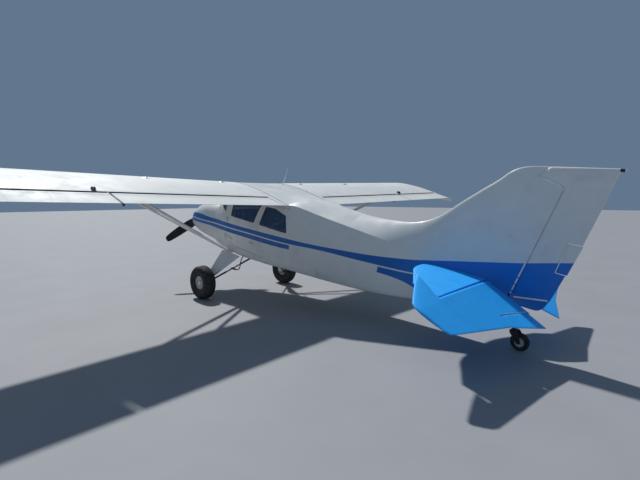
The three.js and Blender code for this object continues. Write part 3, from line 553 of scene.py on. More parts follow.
class Mat:
    """A material and short names for the nodes that make it."""

    def __init__(self, name, level=False, **values):
        self.m = bpy.data.materials.new(name)
        self.m.use_nodes = True
        self.t = self.m.node_tree
        self.t.nodes.clear()
        out = self.node("ShaderNodeOutputMaterial")
        self.b = self.node("ShaderNodeBsdfPrincipled")
        self.t.links.new(self.b.outputs[0], out.inputs[0])
        self.p = self.node("ShaderNodeTexCoord").outputs["Object"]
        if level:                   # row frame to level frame
            inv = LEVEL.inverted()
            n = self.node("ShaderNodeMapping", vector_type="POINT")
            n.inputs["Location"].default_value = inv.to_translation()
            n.inputs["Rotation"].default_value = inv.to_euler("XYZ")
            self.put(n.inputs["Vector"], self.p)
            self.p = n.outputs[0]
        self.x, self.y, self.z = self.split(self.p)
        self.normal = None
        for k, v in values.items():
            self.set(k, v)

    def node(self, kind, **props):
        n = self.t.nodes.new(kind)
        for k, v in props.items():
            setattr(n, k, v)
        return n

    def put(self, socket, v):
        if isinstance(v, bpy.types.NodeSocket):
            self.t.links.new(v, socket)
        elif isinstance(v, (tuple, list)) and len(v) == 3 and socket.type == "RGBA":
            socket.default_value = (*v, 1)
        else:
            socket.default_value = v

    def set(self, name, v):
        self.put(self.b.inputs[name.replace("_", " ")], v)
        return self

    def split(self, v):
        n = self.node("ShaderNodeSeparateXYZ")
        self.put(n.inputs[0], v)
        return n.outputs[0], n.outputs[1], n.outputs[2]

    def join(self, x, y, z):
        n = self.node("ShaderNodeCombineXYZ")
        for s, v in zip(n.inputs, (x, y, z)):
            self.put(s, v)
        return n.outputs[0]

    def math(self, op, a, b=None, c=None, clamp=False):
        n = self.node("ShaderNodeMath", operation=op, use_clamp=clamp)
        for s, v in zip(n.inputs, (a, b, c)):
            if v is not None:
                self.put(s, v)
        return n.outputs[0]

    def add(self, a, b): return self.math("ADD", a, b)
    def sub(self, a, b): return self.math("SUBTRACT", a, b)
    def mul(self, a, b): return self.math("MULTIPLY", a, b)
    def low(self, a, b): return self.math("MINIMUM", a, b)
    def high(self, a, b): return self.math("MAXIMUM", a, b)
    def size(self, a): return self.math("ABSOLUTE", a)

    def step(self, v, lo, hi, a=0.0, b=1.0, smooth=True):
        """a where v is below lo, b where it is above hi; lo may be above hi."""
        n = self.node("ShaderNodeMapRange", interpolation_type="SMOOTHSTEP" if smooth else "LINEAR")
        for s, q in zip(n.inputs[:5], (v, lo, hi, a, b)):
            self.put(s, q)
        return n.outputs[0]

    def noise(self, scale, detail=3.0, rough=0.55, at=None, stretch=None, bend=0.0):
        v = self.p if at is None else at
        if stretch:
            n = self.node("ShaderNodeVectorMath", operation="MULTIPLY")
            self.put(n.inputs[0], v)
            n.inputs[1].default_value = stretch
            v = n.outputs[0]
        n = self.node("ShaderNodeTexNoise")
        self.put(n.inputs["Vector"], v)
        n.inputs["Scale"].default_value, n.inputs["Detail"].default_value = scale, detail
        n.inputs["Roughness"].default_value, n.inputs["Distortion"].default_value = rough, bend
        return n.outputs[0]

    def cells(self, scale, at=None, feature="F1"):
        n = self.node("ShaderNodeTexVoronoi", feature=feature)
        self.put(n.inputs["Vector"], self.p if at is None else at)
        n.inputs["Scale"].default_value = scale
        return n.outputs["Distance"]

    def mix(self, f, a, b):
        n = self.node("ShaderNodeMix", data_type="RGBA")
        for s, v in ((n.inputs[0], f), (n.inputs[6], a), (n.inputs[7], b)):
            self.put(s, v)
        return n.outputs[2]

    def lerp(self, f, a, b):
        n = self.node("ShaderNodeMix", data_type="FLOAT")
        for s, v in ((n.inputs[0], f), (n.inputs[2], a), (n.inputs[3], b)):
            self.put(s, v)
        return n.outputs[0]

    def shade(self, colour, k):
        """Colour times a number."""
        n = self.node("ShaderNodeVectorMath", operation="SCALE")
        if isinstance(colour, (tuple, list)):
            n.inputs[0].default_value = colour
        else:
            self.put(n.inputs[0], colour)
        self.put(n.inputs["Scale"], k)
        return n.outputs[0]

    def curve(self, v, points):
        """Smooth function of v through the points."""
        xs, ys = [p[0] for p in points], [p[1] for p in points]
        x0, x1, y0, y1 = min(xs), max(xs), min(ys), max(ys)
        n = self.node("ShaderNodeFloatCurve")
        self.put(n.inputs["Value"], self.math("DIVIDE", self.sub(v, x0), x1 - x0))
        c = n.mapping.curves[0]
        pts = sorted(((x - x0) / (x1 - x0), (y - y0) / (y1 - y0)) for x, y in points)
        while len(c.points) < len(pts):
            c.points.new(0.5, 0.5)
        for q, (a, b) in zip(c.points, pts):
            q.location = (a, b)
            q.handle_type = "AUTO_CLAMPED"
        n.mapping.update()
        return self.math("MULTIPLY_ADD", n.outputs[0], y1 - y0, y0)

    def bump(self, height, distance, strength=1.0):
        n = self.node("ShaderNodeBump")
        n.inputs["Strength"].default_value = strength
        n.inputs["Distance"].default_value = distance
        self.put(n.inputs["Height"], height)
        if self.normal is not None:
            self.put(n.inputs["Normal"], self.normal)
        self.normal = n.outputs[0]
        self.set("Normal", self.normal)
        return self

    def dots(self, a, b, pa, pb, r=0.0035, soft=0.0012):
        """1 on a grid of round dots, pitch pa along a and pb along b."""
        da = self.sub(self.math("PINGPONG", a, pa / 2), pa / 2)
        db = self.sub(self.math("PINGPONG", b, pb / 2), pb / 2)
        d = self.math("SQRT", self.add(self.mul(da, da), self.mul(db, db)))
        return self.step(d, r, r - soft)

    def line(self, a, pitch, half, soft=0.001, shift=0.0):
        """1 on lines across a, pitch apart."""
        d = self.size(self.sub(self.math("PINGPONG", self.add(a, shift), pitch / 2), pitch / 2))
        return self.step(d, half + soft, half)


def stripe_mask(m):
    """Blue stripes of the side: mask and blue colour."""
    x, z = m.x, m.z
    # hand-laid edges wander a little
    z = m.add(z, m.mul(m.sub(m.noise(2.2, 1.0), 0.5), 0.006))
    top = m.curve(x, STRIPE_TOP)
    line = m.curve(x, STRIPE_LINE)
    bottom = m.curve(x, STRIPE_BOTTOM)
    e = 0.0016
    under_top = m.step(m.sub(top, z), -e, e)
    over_line = m.step(m.sub(z, line), 0.0095 - e, 0.0095 + e)
    under_line = m.step(m.sub(z, line), -0.0095 + e, -0.0095 - e)
    over_bottom = m.step(m.sub(z, bottom), -e, e)
    # the lower stripe is interrupted on the side, and ends in the tail's blue
    inside_gap = m.mul(m.step(x, -1.457, -1.460), m.step(x, -2.872, -2.869))
    lower = m.mul(m.mul(under_line, over_bottom), m.sub(1.0, inside_gap))
    upper = m.mul(under_top, over_line)
    aft = m.mul(m.mul(m.step(x, -3.37, -3.41), under_top), m.high(over_bottom, m.step(x, -3.9, -3.95)))
    mask = m.high(m.high(upper, lower), aft)
    # the aft bands take the darker copy of the tail blue, which is painted shade
    tone = m.mix(m.step(x, -2.9, -3.45), BLUE_FRONT, SHADED_TAIL_BLUE)
    return mask, tone


def enamel(name, base=WHITE, stripes=False, fabric=False, dirt=0.25, rough=0.34, low_z=None, chips=0.0,
           rivets=(), streak=None, coat=0.10, spec=0.40):
    """Aged aircraft enamel on metal or fabric."""
    m = Mat(name, level=stripes, IOR=1.5)
    if stripes:
        mask, tone = stripe_mask(m)
        colour = m.mix(mask, base, tone)
    else:
        colour = base
    big, mid, fine = m.noise(0.9, 4.0), m.noise(7.0, 4.0, 0.6), m.noise(90.0, 2.0)
    # chalking and uneven fading
    tone = m.add(m.step(big, 0.3, 0.75, 0.955, 1.03), m.step(mid, 0.3, 0.7, -0.018, 0.018))
    tone = m.add(tone, m.step(fine, 0.35, 0.65, -0.010, 0.010))
    colour = m.shade(colour, tone)
    # thin grime, gathered in patches
    grime = m.mul(m.step(m.noise(3.1, 6.0, 0.68), 0.52, 0.80), dirt)
    if low_z is not None:
        under = m.mul(m.step(m.z, low_z[1], low_z[0]), m.step(m.noise(5.0, 5.0, 0.65, stretch=(0.35, 1, 1)), 0.30, 0.72))
        grime = m.high(grime, m.mul(under, low_z[2]))
    if streak is not None:
        s = m.step(m.noise(streak[1], 3.0, 0.6, stretch=streak[0]), 0.55, 0.82)
        grime = m.high(grime, m.mul(s, streak[2]))
    colour = m.mix(grime, colour, GRIME)
    # pin-head chips and specks
    specks = m.mul(m.step(m.noise(230.0, 1.0), 0.735, 0.77), 0.30 + chips)
    colour = m.mix(specks, colour, (0.23, 0.22, 0.20))
    for kind, args in rivets:
        r = kind(m, *args)
        colour = m.mix(m.mul(r, 0.16), colour, (0.36, 0.35, 0.33))
        m.bump(r, 0.0011, 0.55)
    m.set("Base Color", colour)
    r = m.add(m.step(m.noise(4.0, 5.0, 0.6), 0.3, 0.7, rough - 0.07, rough + 0.09), m.mul(grime, 0.28))
    m.set("Roughness", m.add(r, m.step(fine, 0.3, 0.7, -0.02, 0.02)))
    m.b.inputs["Specular IOR Level"].default_value = spec
    m.b.inputs["Coat Weight"].default_value = coat
    m.b.inputs["Coat Roughness"].default_value = 0.12
    if fabric:
        weave = m.mul(m.line(m.x, 0.0018, 0.0004, 0.0005), m.line(m.z, 0.0018, 0.0004, 0.0005))
        m.bump(weave, 0.00012, 0.35)
    m.bump(m.noise(55.0, 2.0, 0.5), 0.0006, 0.16)      # orange peel
    m.bump(m.noise(2.6, 2.0, 0.45), 0.010, 0.16)       # slow waves in the skin
    return m.m


def rib_rivets(m, pitch, first=0.0):
    return m.dots(m.add(m.y, first), m.x, pitch, 0.032, 0.0028, 0.0016)


def seam_rivets(m, axis, at, along, pitch=0.04):
    a = {"x": m.x, "y": m.size(m.y), "z": m.z}[axis]
    b = {"x": m.x, "y": m.y, "z": m.z}[along]
    d = m.size(m.sub(a, at))
    e = m.sub(m.math("PINGPONG", b, pitch / 2), pitch / 2)
    return m.step(m.math("SQRT", m.add(m.mul(d, d), m.mul(e, e))), 0.0034, 0.0018)


def plain(name, colour, rough, metal=0.0, spread=0.12, scale=30.0, bump=0.0004, strength=0.3, wear=None, dirt=0.25, **values):
    """Worn, uneven surface of one colour, with what shows where it is rubbed."""
    m = Mat(name, **values)
    m.b.inputs["Metallic"].default_value = metal
    tone = m.add(m.step(m.noise(scale * 0.2, 4.0), 0.3, 0.7, 1 - spread, 1 + spread), m.step(m.noise(scale * 4, 2.0), 0.3, 0.7, -spread * 0.35, spread * 0.35))
    c = m.shade(colour, tone)
    if wear:
        w = m.step(m.noise(scale * 1.3, 6.0, 0.72), 0.62, 0.72)
        c = m.mix(m.mul(w, wear[1]), c, wear[0])
    g = m.mul(m.step(m.noise(scale * 0.35, 5.0, 0.65), 0.5, 0.78), dirt)
    c = m.mix(g, c, GRIME)
    m.set("Base Color", c)
    m.set("Roughness", m.add(m.step(m.noise(scale, 5.0, 0.6), 0.3, 0.7, rough - 0.08, rough + 0.08), m.mul(g, 0.25)))
    m.bump(m.noise(scale * 5, 3.0, 0.6), bump, strength)
    return m.m


M = {}
M["skin"] = enamel("skin_paint", stripes=True, dirt=0.20, low_z=(0.80, 0.98, 0.55), streak=((0.3, 1.0, 4.0), 6.0, 0.10))
M["cowl"] = enamel("cowl_paint", stripes=True, dirt=0.18, low_z=(0.82, 1.0, 0.5), streak=((0.25, 1.0, 5.0), 6.0, 0.14), chips=0.25)
M["aft"] = enamel("fabric_paint", stripes=True, fabric=True, dirt=0.16, rough=0.36, low_z=(0.94, 1.06, 0.35))
M["wing"] = enamel("wing_paint", dirt=0.22, rough=0.52, coat=0.0, spec=0.16, streak=((0.22, 3.0, 1.0), 5.0, 0.16), chips=0.1,
                   rivets=[(rib_rivets, (0.378,))])
M["surface"] = enamel("control_paint", dirt=0.24, rough=0.56, coat=0.0, spec=0.10, streak=((0.25, 3.5, 1.0), 6.0, 0.18), rivets=[(rib_rivets, (0.283,))])
M["strut"] = enamel("strut_paint", dirt=0.30, rough=0.38, chips=0.25)
# blue of the tailplane, elevators and tabs: the tail blue made brighter than on the side bands, as painted sunlight
M["tail_blue"] = enamel("sunlit_tail_paint", base=(0.026, 0.42, 1.0), fabric=True, dirt=0.05, rough=0.50, coat=0.02, spec=0.25)
M["gear"] = enamel("gear_paint", dirt=0.34, rough=0.40, chips=0.4)
M["black"] = plain("black_steel", (0.018, 0.018, 0.020), 0.42, 0.0, wear=((0.20, 0.19, 0.18), 0.6), dirt=0.3)
M["steel"] = plain("bare_steel", (0.50, 0.50, 0.49), 0.34, 0.95, wear=((0.26, 0.20, 0.15), 0.35), dirt=0.15)
M["alloy"] = plain("bright_alloy", (0.66, 0.67, 0.68), 0.30, 0.9, scale=60.0, wear=((0.40, 0.40, 0.41), 0.5), dirt=0.2)
M["grey"] = plain("grey_metal", (0.30, 0.31, 0.32), 0.45, 0.6, wear=((0.16, 0.15, 0.14), 0.4))
# near-black meant as painted shade in recesses; no piece uses it
M["dark"] = plain("painted_recess_shade", (0.012, 0.012, 0.013), 0.75, 0.0)
M["exhaust"] = plain("exhaust_steel", (0.26, 0.20, 0.16), 0.55, 0.8, scale=45.0, wear=((0.10, 0.08, 0.07), 0.8), dirt=0.5)
M["prop"] = plain("propeller_paint", (0.016, 0.017, 0.019), 0.38, 0.0, scale=40.0, wear=((0.35, 0.35, 0.35), 0.10), dirt=0.2)
M["spinner"] = enamel("spinner_paint", dirt=0.15, rough=0.26, chips=0.2)
M["rubber_seal"] = plain("rubber_seal", (0.014, 0.014, 0.015), 0.72, 0.0, scale=80.0)
M["liner"] = plain("cabin_liner", (0.30, 0.33, 0.38), 0.85, 0.0, scale=120.0, spread=0.08, bump=0.0008, strength=0.5)
M["panel"] = plain("panel_finish", (0.022, 0.023, 0.026), 0.62, 0.0, scale=220.0, bump=0.0006, strength=0.6)
M["antenna"] = plain("white_rod", (0.80, 0.80, 0.78), 0.35, 0.0, dirt=0.15)
M["red_lens"] = plain("red_lens", (0.45, 0.02, 0.015), 0.12, 0.0, dirt=0.1, Coat_Weight=0.6)
M["green_lens"] = plain("green_lens", (0.02, 0.30, 0.10), 0.12, 0.0, dirt=0.1, Coat_Weight=0.6)
M["clear_lens"] = plain("clear_lens", (0.62, 0.64, 0.66), 0.10, 0.0, dirt=0.1, Coat_Weight=0.8)


def glass(name, tint, clear=0.86):
    """Acrylic pane: see-through, with faint scratches and edge haze."""
    m = Mat(name, IOR=1.49)
    scratch = m.step(m.noise(160.0, 2.0, 0.5, stretch=(1, 0.06, 1)), 0.64, 0.72)
    haze = m.mul(m.step(m.noise(6.0, 4.0), 0.45, 0.8), 0.35)
    m.set("Base Color", m.mix(haze, tint, tuple(min(1, c * 1.25 + 0.05) for c in tint)))
    m.set("Roughness", m.add(m.add(m.mul(haze, 0.10), m.mul(scratch, 0.10)), 0.03))
    m.set("Alpha", m.step(haze, 0.0, 0.35, 1 - clear, 1 - clear + 0.10))
    m.b.inputs["Specular IOR Level"].default_value = 0.6
    m.bump(m.noise(3.0, 1.0), 0.004, 0.10)
    m.m.blend_method = "BLEND"
    return m.m


M["glass"] = glass("window_glass", (0.030, 0.085, 0.190), 0.44)
M["screen"] = glass("windscreen_glass", (0.10, 0.34, 0.33), 0.70)


# ---------------------------------------------------------- fuselage shape

# columns: x, belly, lower corner z and half width, side half width, upper
# corner z and half width, top
BODY = [
    (0.471, 0.808, 0.858, 0.452, 0.503, 1.430, 0.456, 1.540),
    (0.280, 0.790, 0.832, 0.490, 0.535, 1.590, 0.466, 1.795),
    (0.200, 0.785, 0.825, 0.500, 0.545, 1.700, 0.485, 1.876),
    (0.050, 0.778, 0.812, 0.520, 0.560, 1.768, 0.495, 1.935),
    (-0.300, 0.772, 0.804, 0.532, 0.566, 1.770, 0.495, 1.955),
    (-0.900, 0.800, 0.838, 0.530, 0.562, 1.770, 0.495, 1.932),
    (-1.388, 0.842, 0.874, 0.492, 0.530, 1.838, 0.492, 1.918),
    (-1.955, 0.878, 0.908, 0.432, 0.455, 1.776, 0.410, 1.904),
    (-2.400, 0.902, 0.934, 0.366, 0.388, 1.726, 0.332, 1.890),
    (-2.850, 0.942, 0.970, 0.296, 0.308, 1.672, 0.250, 1.910),
    (-3.250, 1.000, 1.030, 0.226, 0.232, 1.612, 0.168, 1.990),
    (-3.650, 1.088, 1.116, 0.152, 0.158, 1.570, 0.108, 2.300),
    (-4.050, 1.205, 1.228, 0.088, 0.092, 1.560, 0.068, 2.640),
    (-4.395, 1.345, 1.362, 0.034, 0.038, 1.556, 0.036, 2.820),
    (-4.760, 1.480, 1.490, 0.030, 0.032, 1.556, 0.031, 2.850),
]
COWL = [
    (0.474, 0.808, 0.858, 0.450, 0.501, 1.430, 0.454, 1.538),
    (0.850, 0.806, 0.872, 0.428, 0.478, 1.392, 0.418, 1.470),
    (1.200, 0.842, 0.898, 0.384, 0.436, 1.292, 0.364, 1.376),
    (1.350, 0.876, 0.930, 0.330, 0.380, 1.236, 0.300, 1.316),
    (1.415, 0.930, 0.978, 0.262, 0.300, 1.196, 0.226, 1.256),
    (1.432, 0.968, 1.008, 0.214, 0.248, 1.168, 0.186, 1.218),
]


def columns(table):
    c = [Curve(*[(r[0], r[k]) for r in table]) for k in range(1, 8)]
    return lambda x: [f(x) for f in c]


body_at, cowl_at = columns(BODY), columns(COWL)
TOP_POWER = 2.96


def side_y(x, z, at=body_at):
    """Half width of the side at station x and height z."""
    zb, zl, wl, ws, zu, wu, zt = at(x)
    t = (z - zl) / (zu - zl)
    side = wl * (2 * t * t - 3 * t + 1) + ws * (4 * t - 4 * t * t) + wu * (2 * t * t - t)
    above = wu * np.clip((zt - z) / (zt - zu), 0, 1) ** (1 / TOP_POWER)
    below = wl * np.clip((z - zb) / (zl - zb), 0, 1) ** (1 / 2.357)
    return np.where(t > 1, above, np.where(t < 0, below, side))


def side_face(s, inset=0.0):
    def face(u, v):
        y = side_y(u, v) - inset
        p = np.stack([u, s * y, v], 1)
        d = np.tile(np.array([0.0, -s, 0.0]), (len(p), 1))
        return p, d
    return face


def half_section(x, t=0.0, at=body_at, low=0.05, high=0.05, n=(10, 12, 12, 12)):
    """Half of a body section, belly to top, drawn inwards by t, with rounded corners."""
    zb, zl, wl, ws, zu, wu, zt = at(x)
    zb, zl, wl, ws, zu, wu, zt = zb + t, zl + 0.5 * t, wl - t, ws - t, zu - 0.35 * t, wu - t, zt - t
    k = np.linspace(0, 1, 60)
    belly = np.stack([wl * k, zb + (zl - zb) * k**2.357], 1)
    side = np.stack([wl * (2 * k * k - 3 * k + 1) + ws * (4 * k - 4 * k * k) + wu * (2 * k * k - k), zl + (zu - zl) * k], 1)
    top = np.stack([wu * (1 - k), zu + (zt - zu) * (1 - (1 - k) ** TOP_POWER)], 1)

    def split(line, d, front):
        s = np.concatenate([[0], np.cumsum(np.linalg.norm(np.diff(line, axis=0), axis=1))])
        cut_at = d if front else s[-1] - d
        p = np.array([np.interp(cut_at, s, line[:, j]) for j in (0, 1)])
        keep = s > cut_at if front else s < cut_at
        return (np.vstack([p, line[keep]]) if front else np.vstack([line[keep], p]))

    low, high = min(low, 0.35 * wl), min(high, 0.35 * wu)
    b = split(belly, low, False)
    sd = split(split(side, low, True), high, False)
    tp = split(top, high, True)
    c1 = bezier2(b[-1], belly[-1], sd[0], 7)[1:-1]
    c2 = bezier2(sd[-1], side[-1], tp[0], 7)[1:-1]
    return np.vstack([resample(b, n[0]), c1, resample(sd, n[1]), c2, resample(tp, n[3])])


def full_section(x, t=0.0, at=body_at, **kw):
    h = half_section(x, t, at, **kw)
    left = [(x, y, z) for y, z in h]
    right = [(x, -y, z) for y, z in h[-2:0:-1]]
    return left + right


def shell(xs, t_out, t_in, at=body_at, ends=(0.0, 0.0), **kw):
    """Closed shell between two skins of the body, open at both ends."""
    outer = [full_section(x, t_out, at, **kw) for x in xs]
    inner = [full_section(x, t_in, at, **kw) for x in xs]
    s = Shape()
    rings = outer + inner[::-1]
    n = len(rings[0])
    faces = []
    for r in range(len(rings)):
        q = (r + 1) % len(rings)
        for i in range(n):
            faces.append((r * n + i, r * n + (i + 1) % n, q * n + (i + 1) % n, q * n + i))
    s.add([p for r in rings for p in r], faces)
    return s


def prism_xz(outline, y0, y1):
    n = len(outline)
    return Shape().loft([[(x, y0, z) for x, z in outline], [(x, y1, z) for x, z in outline]])


def prism_yz(outline, x0, x1):
    return Shape().loft([[(x0, y, z) for y, z in outline], [(x1, y, z) for y, z in outline]])


def prism_xy(outline, z0, z1):
    return Shape().loft([[(x, y, z0) for x, y in outline], [(x, y, z1) for x, y in outline]])


def both(*shapes):
    s = Shape()
    for q in shapes:
        s.add(q.v, q.f)
    return s


# wing section: fraction of the chord, upper, lower
AEROFOIL = [(0.0, 0, 0), (0.0025, 0.0165, -0.0105), (0.01, 0.034, -0.022), (0.03, 0.062, -0.033), (0.08, 0.103, -0.042), (0.16, 0.127, -0.045),
            (0.28, 0.137, -0.046), (0.42, 0.130, -0.038), (0.58, 0.104, -0.0295), (0.77, 0.058, -0.017), (1.0, 0.002, -0.002)]
WING_LE, CHORD = 0.263, 1.603
wing_up = Curve(*[(r[0], r[1]) for r in AEROFOIL])
wing_low = Curve(*[(r[0], r[2]) for r in AEROFOIL])

DOOR_FRONT = [(0.018, 1.736), (0.018, 1.372), (-0.150, 0.935), (-0.982, 0.935), (-0.905, 1.085), (-0.728, 1.405), (-0.806, 1.736)]
WIN_FRONT = [(-0.066, 1.404), (-0.660, 1.416), (-0.742, 1.694), (-0.078, 1.694)]
DOOR_REAR = [(-0.848, 1.728), (-0.771, 1.405), (-0.948, 1.085), (-1.018, 0.954), (-1.422, 0.978), (-1.422, 1.610), (-1.360, 1.728)]
WIN_REAR_R = [(-0.826, 1.417), (-1.386, 1.419), (-1.320, 1.660), (-1.090, 1.700), (-0.892, 1.700)]
WIN_REAR_L = [(-0.784, 1.417), (-1.386, 1.419), (-1.318, 1.668), (-1.080, 1.722), (-0.858, 1.712)]
DOOR_BAG = [(-1.468, 1.366), (-1.468, 0.988), (-1.896, 1.008), (-1.896, 1.366)]
SCREEN = [(0.062, 1.408), (0.126, 1.444), (0.279, 1.512), (0.452, 1.562), (0.470, 1.640), (0.330, 1.900), (0.212, 2.000), (0.196, 1.742), (0.062, 1.742)]
edge_z = Curve((-2.1, 0.970), (-1.955, 0.962), (-1.0, 0.905), (0.6, 0.905))

DOOR_FRONT_R = [0.035, 0.06, 0.10, 0.05, 0.06, 0.10, 0.04]
DOOR_REAR_R = [0.04, 0.08, 0.06, 0.05, 0.05, 0.09, 0.08]
DOOR_BAG_R = [0.03] * 4


def loop(outline, radius, d=0.0, step=0.06, n=5):
    """A door or window outline, grown by d, with rounded corners and points added."""
    o = grown(outline, d)
    r = [max(0.004, q + d) for q in (radius if not np.isscalar(radius) else [radius] * len(outline))]
    return divided(rounded(o, r, n), step)


# ---- boot cowl: from the firewall to the doors, under the windscreen
def boot_cowl():
    xs = np.concatenate([np.linspace(0.4705, 0.28, 9), np.linspace(0.26, 0.0612, 9)])
    rings = []
    for x in xs:
        rows = []
        for t in (0.0, 0.012):
            h = half_section(x, t, n=(10, 16, 10, 16))
            h = h[h[:, 1] > 0.9056]
            first = [float(side_y(x, 0.9056)) - t, 0.9056]
            h = resample(np.vstack([first, h]), 44)
            rows.append([(x, y, z) for y, z in h] + [(x, -y, z) for y, z in h[-2::-1]])
        rings.append(rows[0] + rows[1][::-1])
    ob = Shape().loft(rings).make("boot_cowl_skin", M["skin"], "airframe", "painted_body", stands_for=("boot_cowl",))
    cut_by(ob, cutter(prism_xz(SCREEN, -0.9, 0.9)))
    cut_by(ob, cutter(Shape().box((0.03, -0.9, 1.7445), (0.25, 0.9, 2.1), bevel=0)))
    return ob


boot_cowl()
screen_ob = shell(np.linspace(0.4695, 0.0625, 24), 0.010, 0.0145, n=(8, 20, 8, 24)).make(
    "windscreen_pane", M["screen"], "airframe", "windscreen_glass", stands_for=("windscreen",))
cut_by(screen_ob, cutter(prism_xz([tuple(p) for p in grown(SCREEN, -0.0012)], -0.9, 0.9)), "INTERSECT")


def skin_line(points, s, out=0.0, n=40):
    """Points on the skin along a line of (x, z), on side s."""
    p = resample(np.array(points, float), n)
    y = side_y(p[:, 0], p[:, 1]) + out
    return [(x, s * q, z) for (x, z), q in zip(p, y)]


def strip(shape, points, width, thick, normal, n_round=1):
    """Flat strip along points: width across, lying on the surface whose outward
    direction at a point is normal(p)."""
    p = [Vector(q) for q in points]
    rings = []
    for i, q in enumerate(p):
        d = (p[min(i + 1, len(p) - 1)] - p[max(i - 1, 0)]).normalized()
        nn = Vector(normal(q))
        w = d.cross(nn).normalized()
        nn = w.cross(d).normalized()
        h, e = width / 2, min(thick, width * 0.2)
        rings.append([q - w * h, q - w * (h - e * 0.3) + nn * thick * 0.8, q - w * (h - e) + nn * thick,
                      q + w * (h - e) + nn * thick, q + w * (h - e * 0.3) + nn * thick * 0.8, q + w * h,
                      q + w * (h - e) - nn * 0.0008, q - w * (h - e) - nn * 0.0008])
    shape.loft(rings)


def body_normal(p, at=body_at):
    """Rough outward direction of the body's skin."""
    e = 0.01
    x, y, z = p
    s = 1 if y >= 0 else -1
    zb, zl, wl, ws, zu, wu, zt = at(x)
    if z > zu and abs(y) < wu * 0.97:
        top = lambda a, b: at(a)[4] + (at(a)[6] - at(a)[4]) * (1 - (min(abs(b) / at(a)[5], 1)) ** TOP_POWER)
        return Vector((-(top(x + e, y) - top(x - e, y)) / 2 / e, -(top(x, y + e) - top(x, y - e)) / 2 / e, 1)).normalized()
    dy_dx = float(side_y(x + e, z, at) - side_y(x - e, z, at)) / 2 / e
    dy_dz = float(side_y(x, z + e, at) - side_y(x, z - e, at)) / 2 / e
    return Vector((-dy_dx, s, -dy_dz)).normalized()


# retaining strips of the windscreen
frame_shape = Shape()
low_edge = [(0.066, 1.411), (0.126, 1.444), (0.279, 1.512), (0.452, 1.562)]
left = skin_line(low_edge, 1, 0.0, 46)
centre_z = lambda y: 1.562
pts = left + [(x, -y, z) for x, y, z in left[-2::-1]]
path = smooth_path(pts[::3], 90)
strip(frame_shape, path, 0.034, 0.0032, body_normal)
for k in range(2, 89, 3):
    frame_shape.screw(path[k] + body_normal(path[k]) * 0.0030, body_normal(path[k]), 0.0042, 0.0018, 10)
for s in (1, -1):
    post = skin_line([(0.0645, 1.414), (0.0645, 1.738)], s, 0.0, 14)
    strip(frame_shape, post, 0.026, 0.003, lambda q: body_normal(q))
    for q in post[1::2]:
        frame_shape.screw(Vector(q) + body_normal(q) * 0.003, body_normal(q), 0.0036, 0.0016, 10)
frame_shape.make("windscreen_strips", M["strut"], "airframe", "painted_body")
# panel between the arched top of the windscreen and the front edge of the roof
header = []
for y in np.linspace(-0.512, 0.512, 43):
    a = float(np.interp(abs(y), [0, 0.15, 0.30, 0.36, 0.40, 0.43, 0.512], [1.850, 1.844, 1.806, 1.777, 1.746, 1.737, 1.737]))
    b = float(np.interp(abs(y), [0, 0.15, 0.30, 0.40, 0.512], [1.876, 1.877, 1.882, 1.887, 1.892]))
    header.append([(0.1860, y, a), (0.1955, y, a), (0.1955, y, b), (0.1860, y, b)])
Shape().loft(header).make("windscreen_header", M["skin"], "airframe", "painted_body")


# ---- belly: lower corners and bottom, firewall to the baggage bay's end
def belly():
    xs = np.concatenate([np.linspace(0.4705, -1.0, 26), np.linspace(-1.1, -1.9555, 14)])
    rings = []
    for x in xs:
        z0 = float(edge_z(x)) - 0.0002
        rows = []
        for t in (0.0, 0.012):
            h = half_section(x, t, low=0.028)
            h = h[h[:, 1] < z0]
            h = resample(np.vstack([h, [float(side_y(x, z0)) - t, z0]]), 26)
            rows.append([(x, y, z) for y, z in h[::-1]] + [(x, -y, z) for y, z in h[1:]])
        rings.append(rows[0] + rows[1][::-1])
    return Shape().loft(rings).make("belly_skin", M["skin"], "airframe", "painted_body", stands_for=("cabin_floor",))


belly()

# ---- side walls
roof_edge = Curve((-1.95, 1.7748), (-1.60, 1.8120), (-1.388, 1.8360), (-1.34, 1.8000), (-1.32, 1.7720), (0.061, 1.7720))


def side_outline():
    top = [(x, float(roof_edge(x))) for x in np.linspace(-1.9545, 0.0605, 70)]
    top = [(x, z if x < -1.345 else 1.772) for x, z in top]
    bottom = [(x, float(edge_z(x)) + 0.0003) for x in np.linspace(0.0605, -1.9545, 44)]
    return divided(np.array(top + bottom), 0.045)


for side, s in SIDES:
    holes = [loop(DOOR_FRONT, DOOR_FRONT_R, 0.006)]
    if s > 0:
        holes.append(loop(WIN_REAR_L, 0.024, 0.0))
    else:
        holes += [loop(DOOR_REAR, DOOR_REAR_R, 0.006), loop(DOOR_BAG, DOOR_BAG_R, 0.006)]
    Shape().plate(side_outline(), holes, side_face(s), 0.034, 0.035, 0.0006).make(
        f"cabin_side_{side}", M["skin"], "airframe", "painted_body", stands_for=(f"cabin_wall_{side}",))


# ---- roof and rear deck
def deck_edge(x):
    """Half width and height of the deck's edge."""
    if x > -1.34:
        c = min(max((WING_LE - x) / CHORD, 0.0), 1.0)
        return 0.4975, 1.81 + 0.497 * math.sin(DIHEDRAL) + float(wing_up(c))
    w, z = float(body_at(x)[5]), float(body_at(x)[4])
    return w, z


deck_top = Curve((0.2115, 1.872), (0.10, 1.924), (0.0, 1.944), (-0.19, 1.957), (-0.41, 1.955), (-0.67, 1.945), (-0.97, 1.928), (-1.388, 1.919),
                 (-1.87, 1.910), (-2.06, 1.898), (-2.24, 1.889), (-2.42, 1.887))


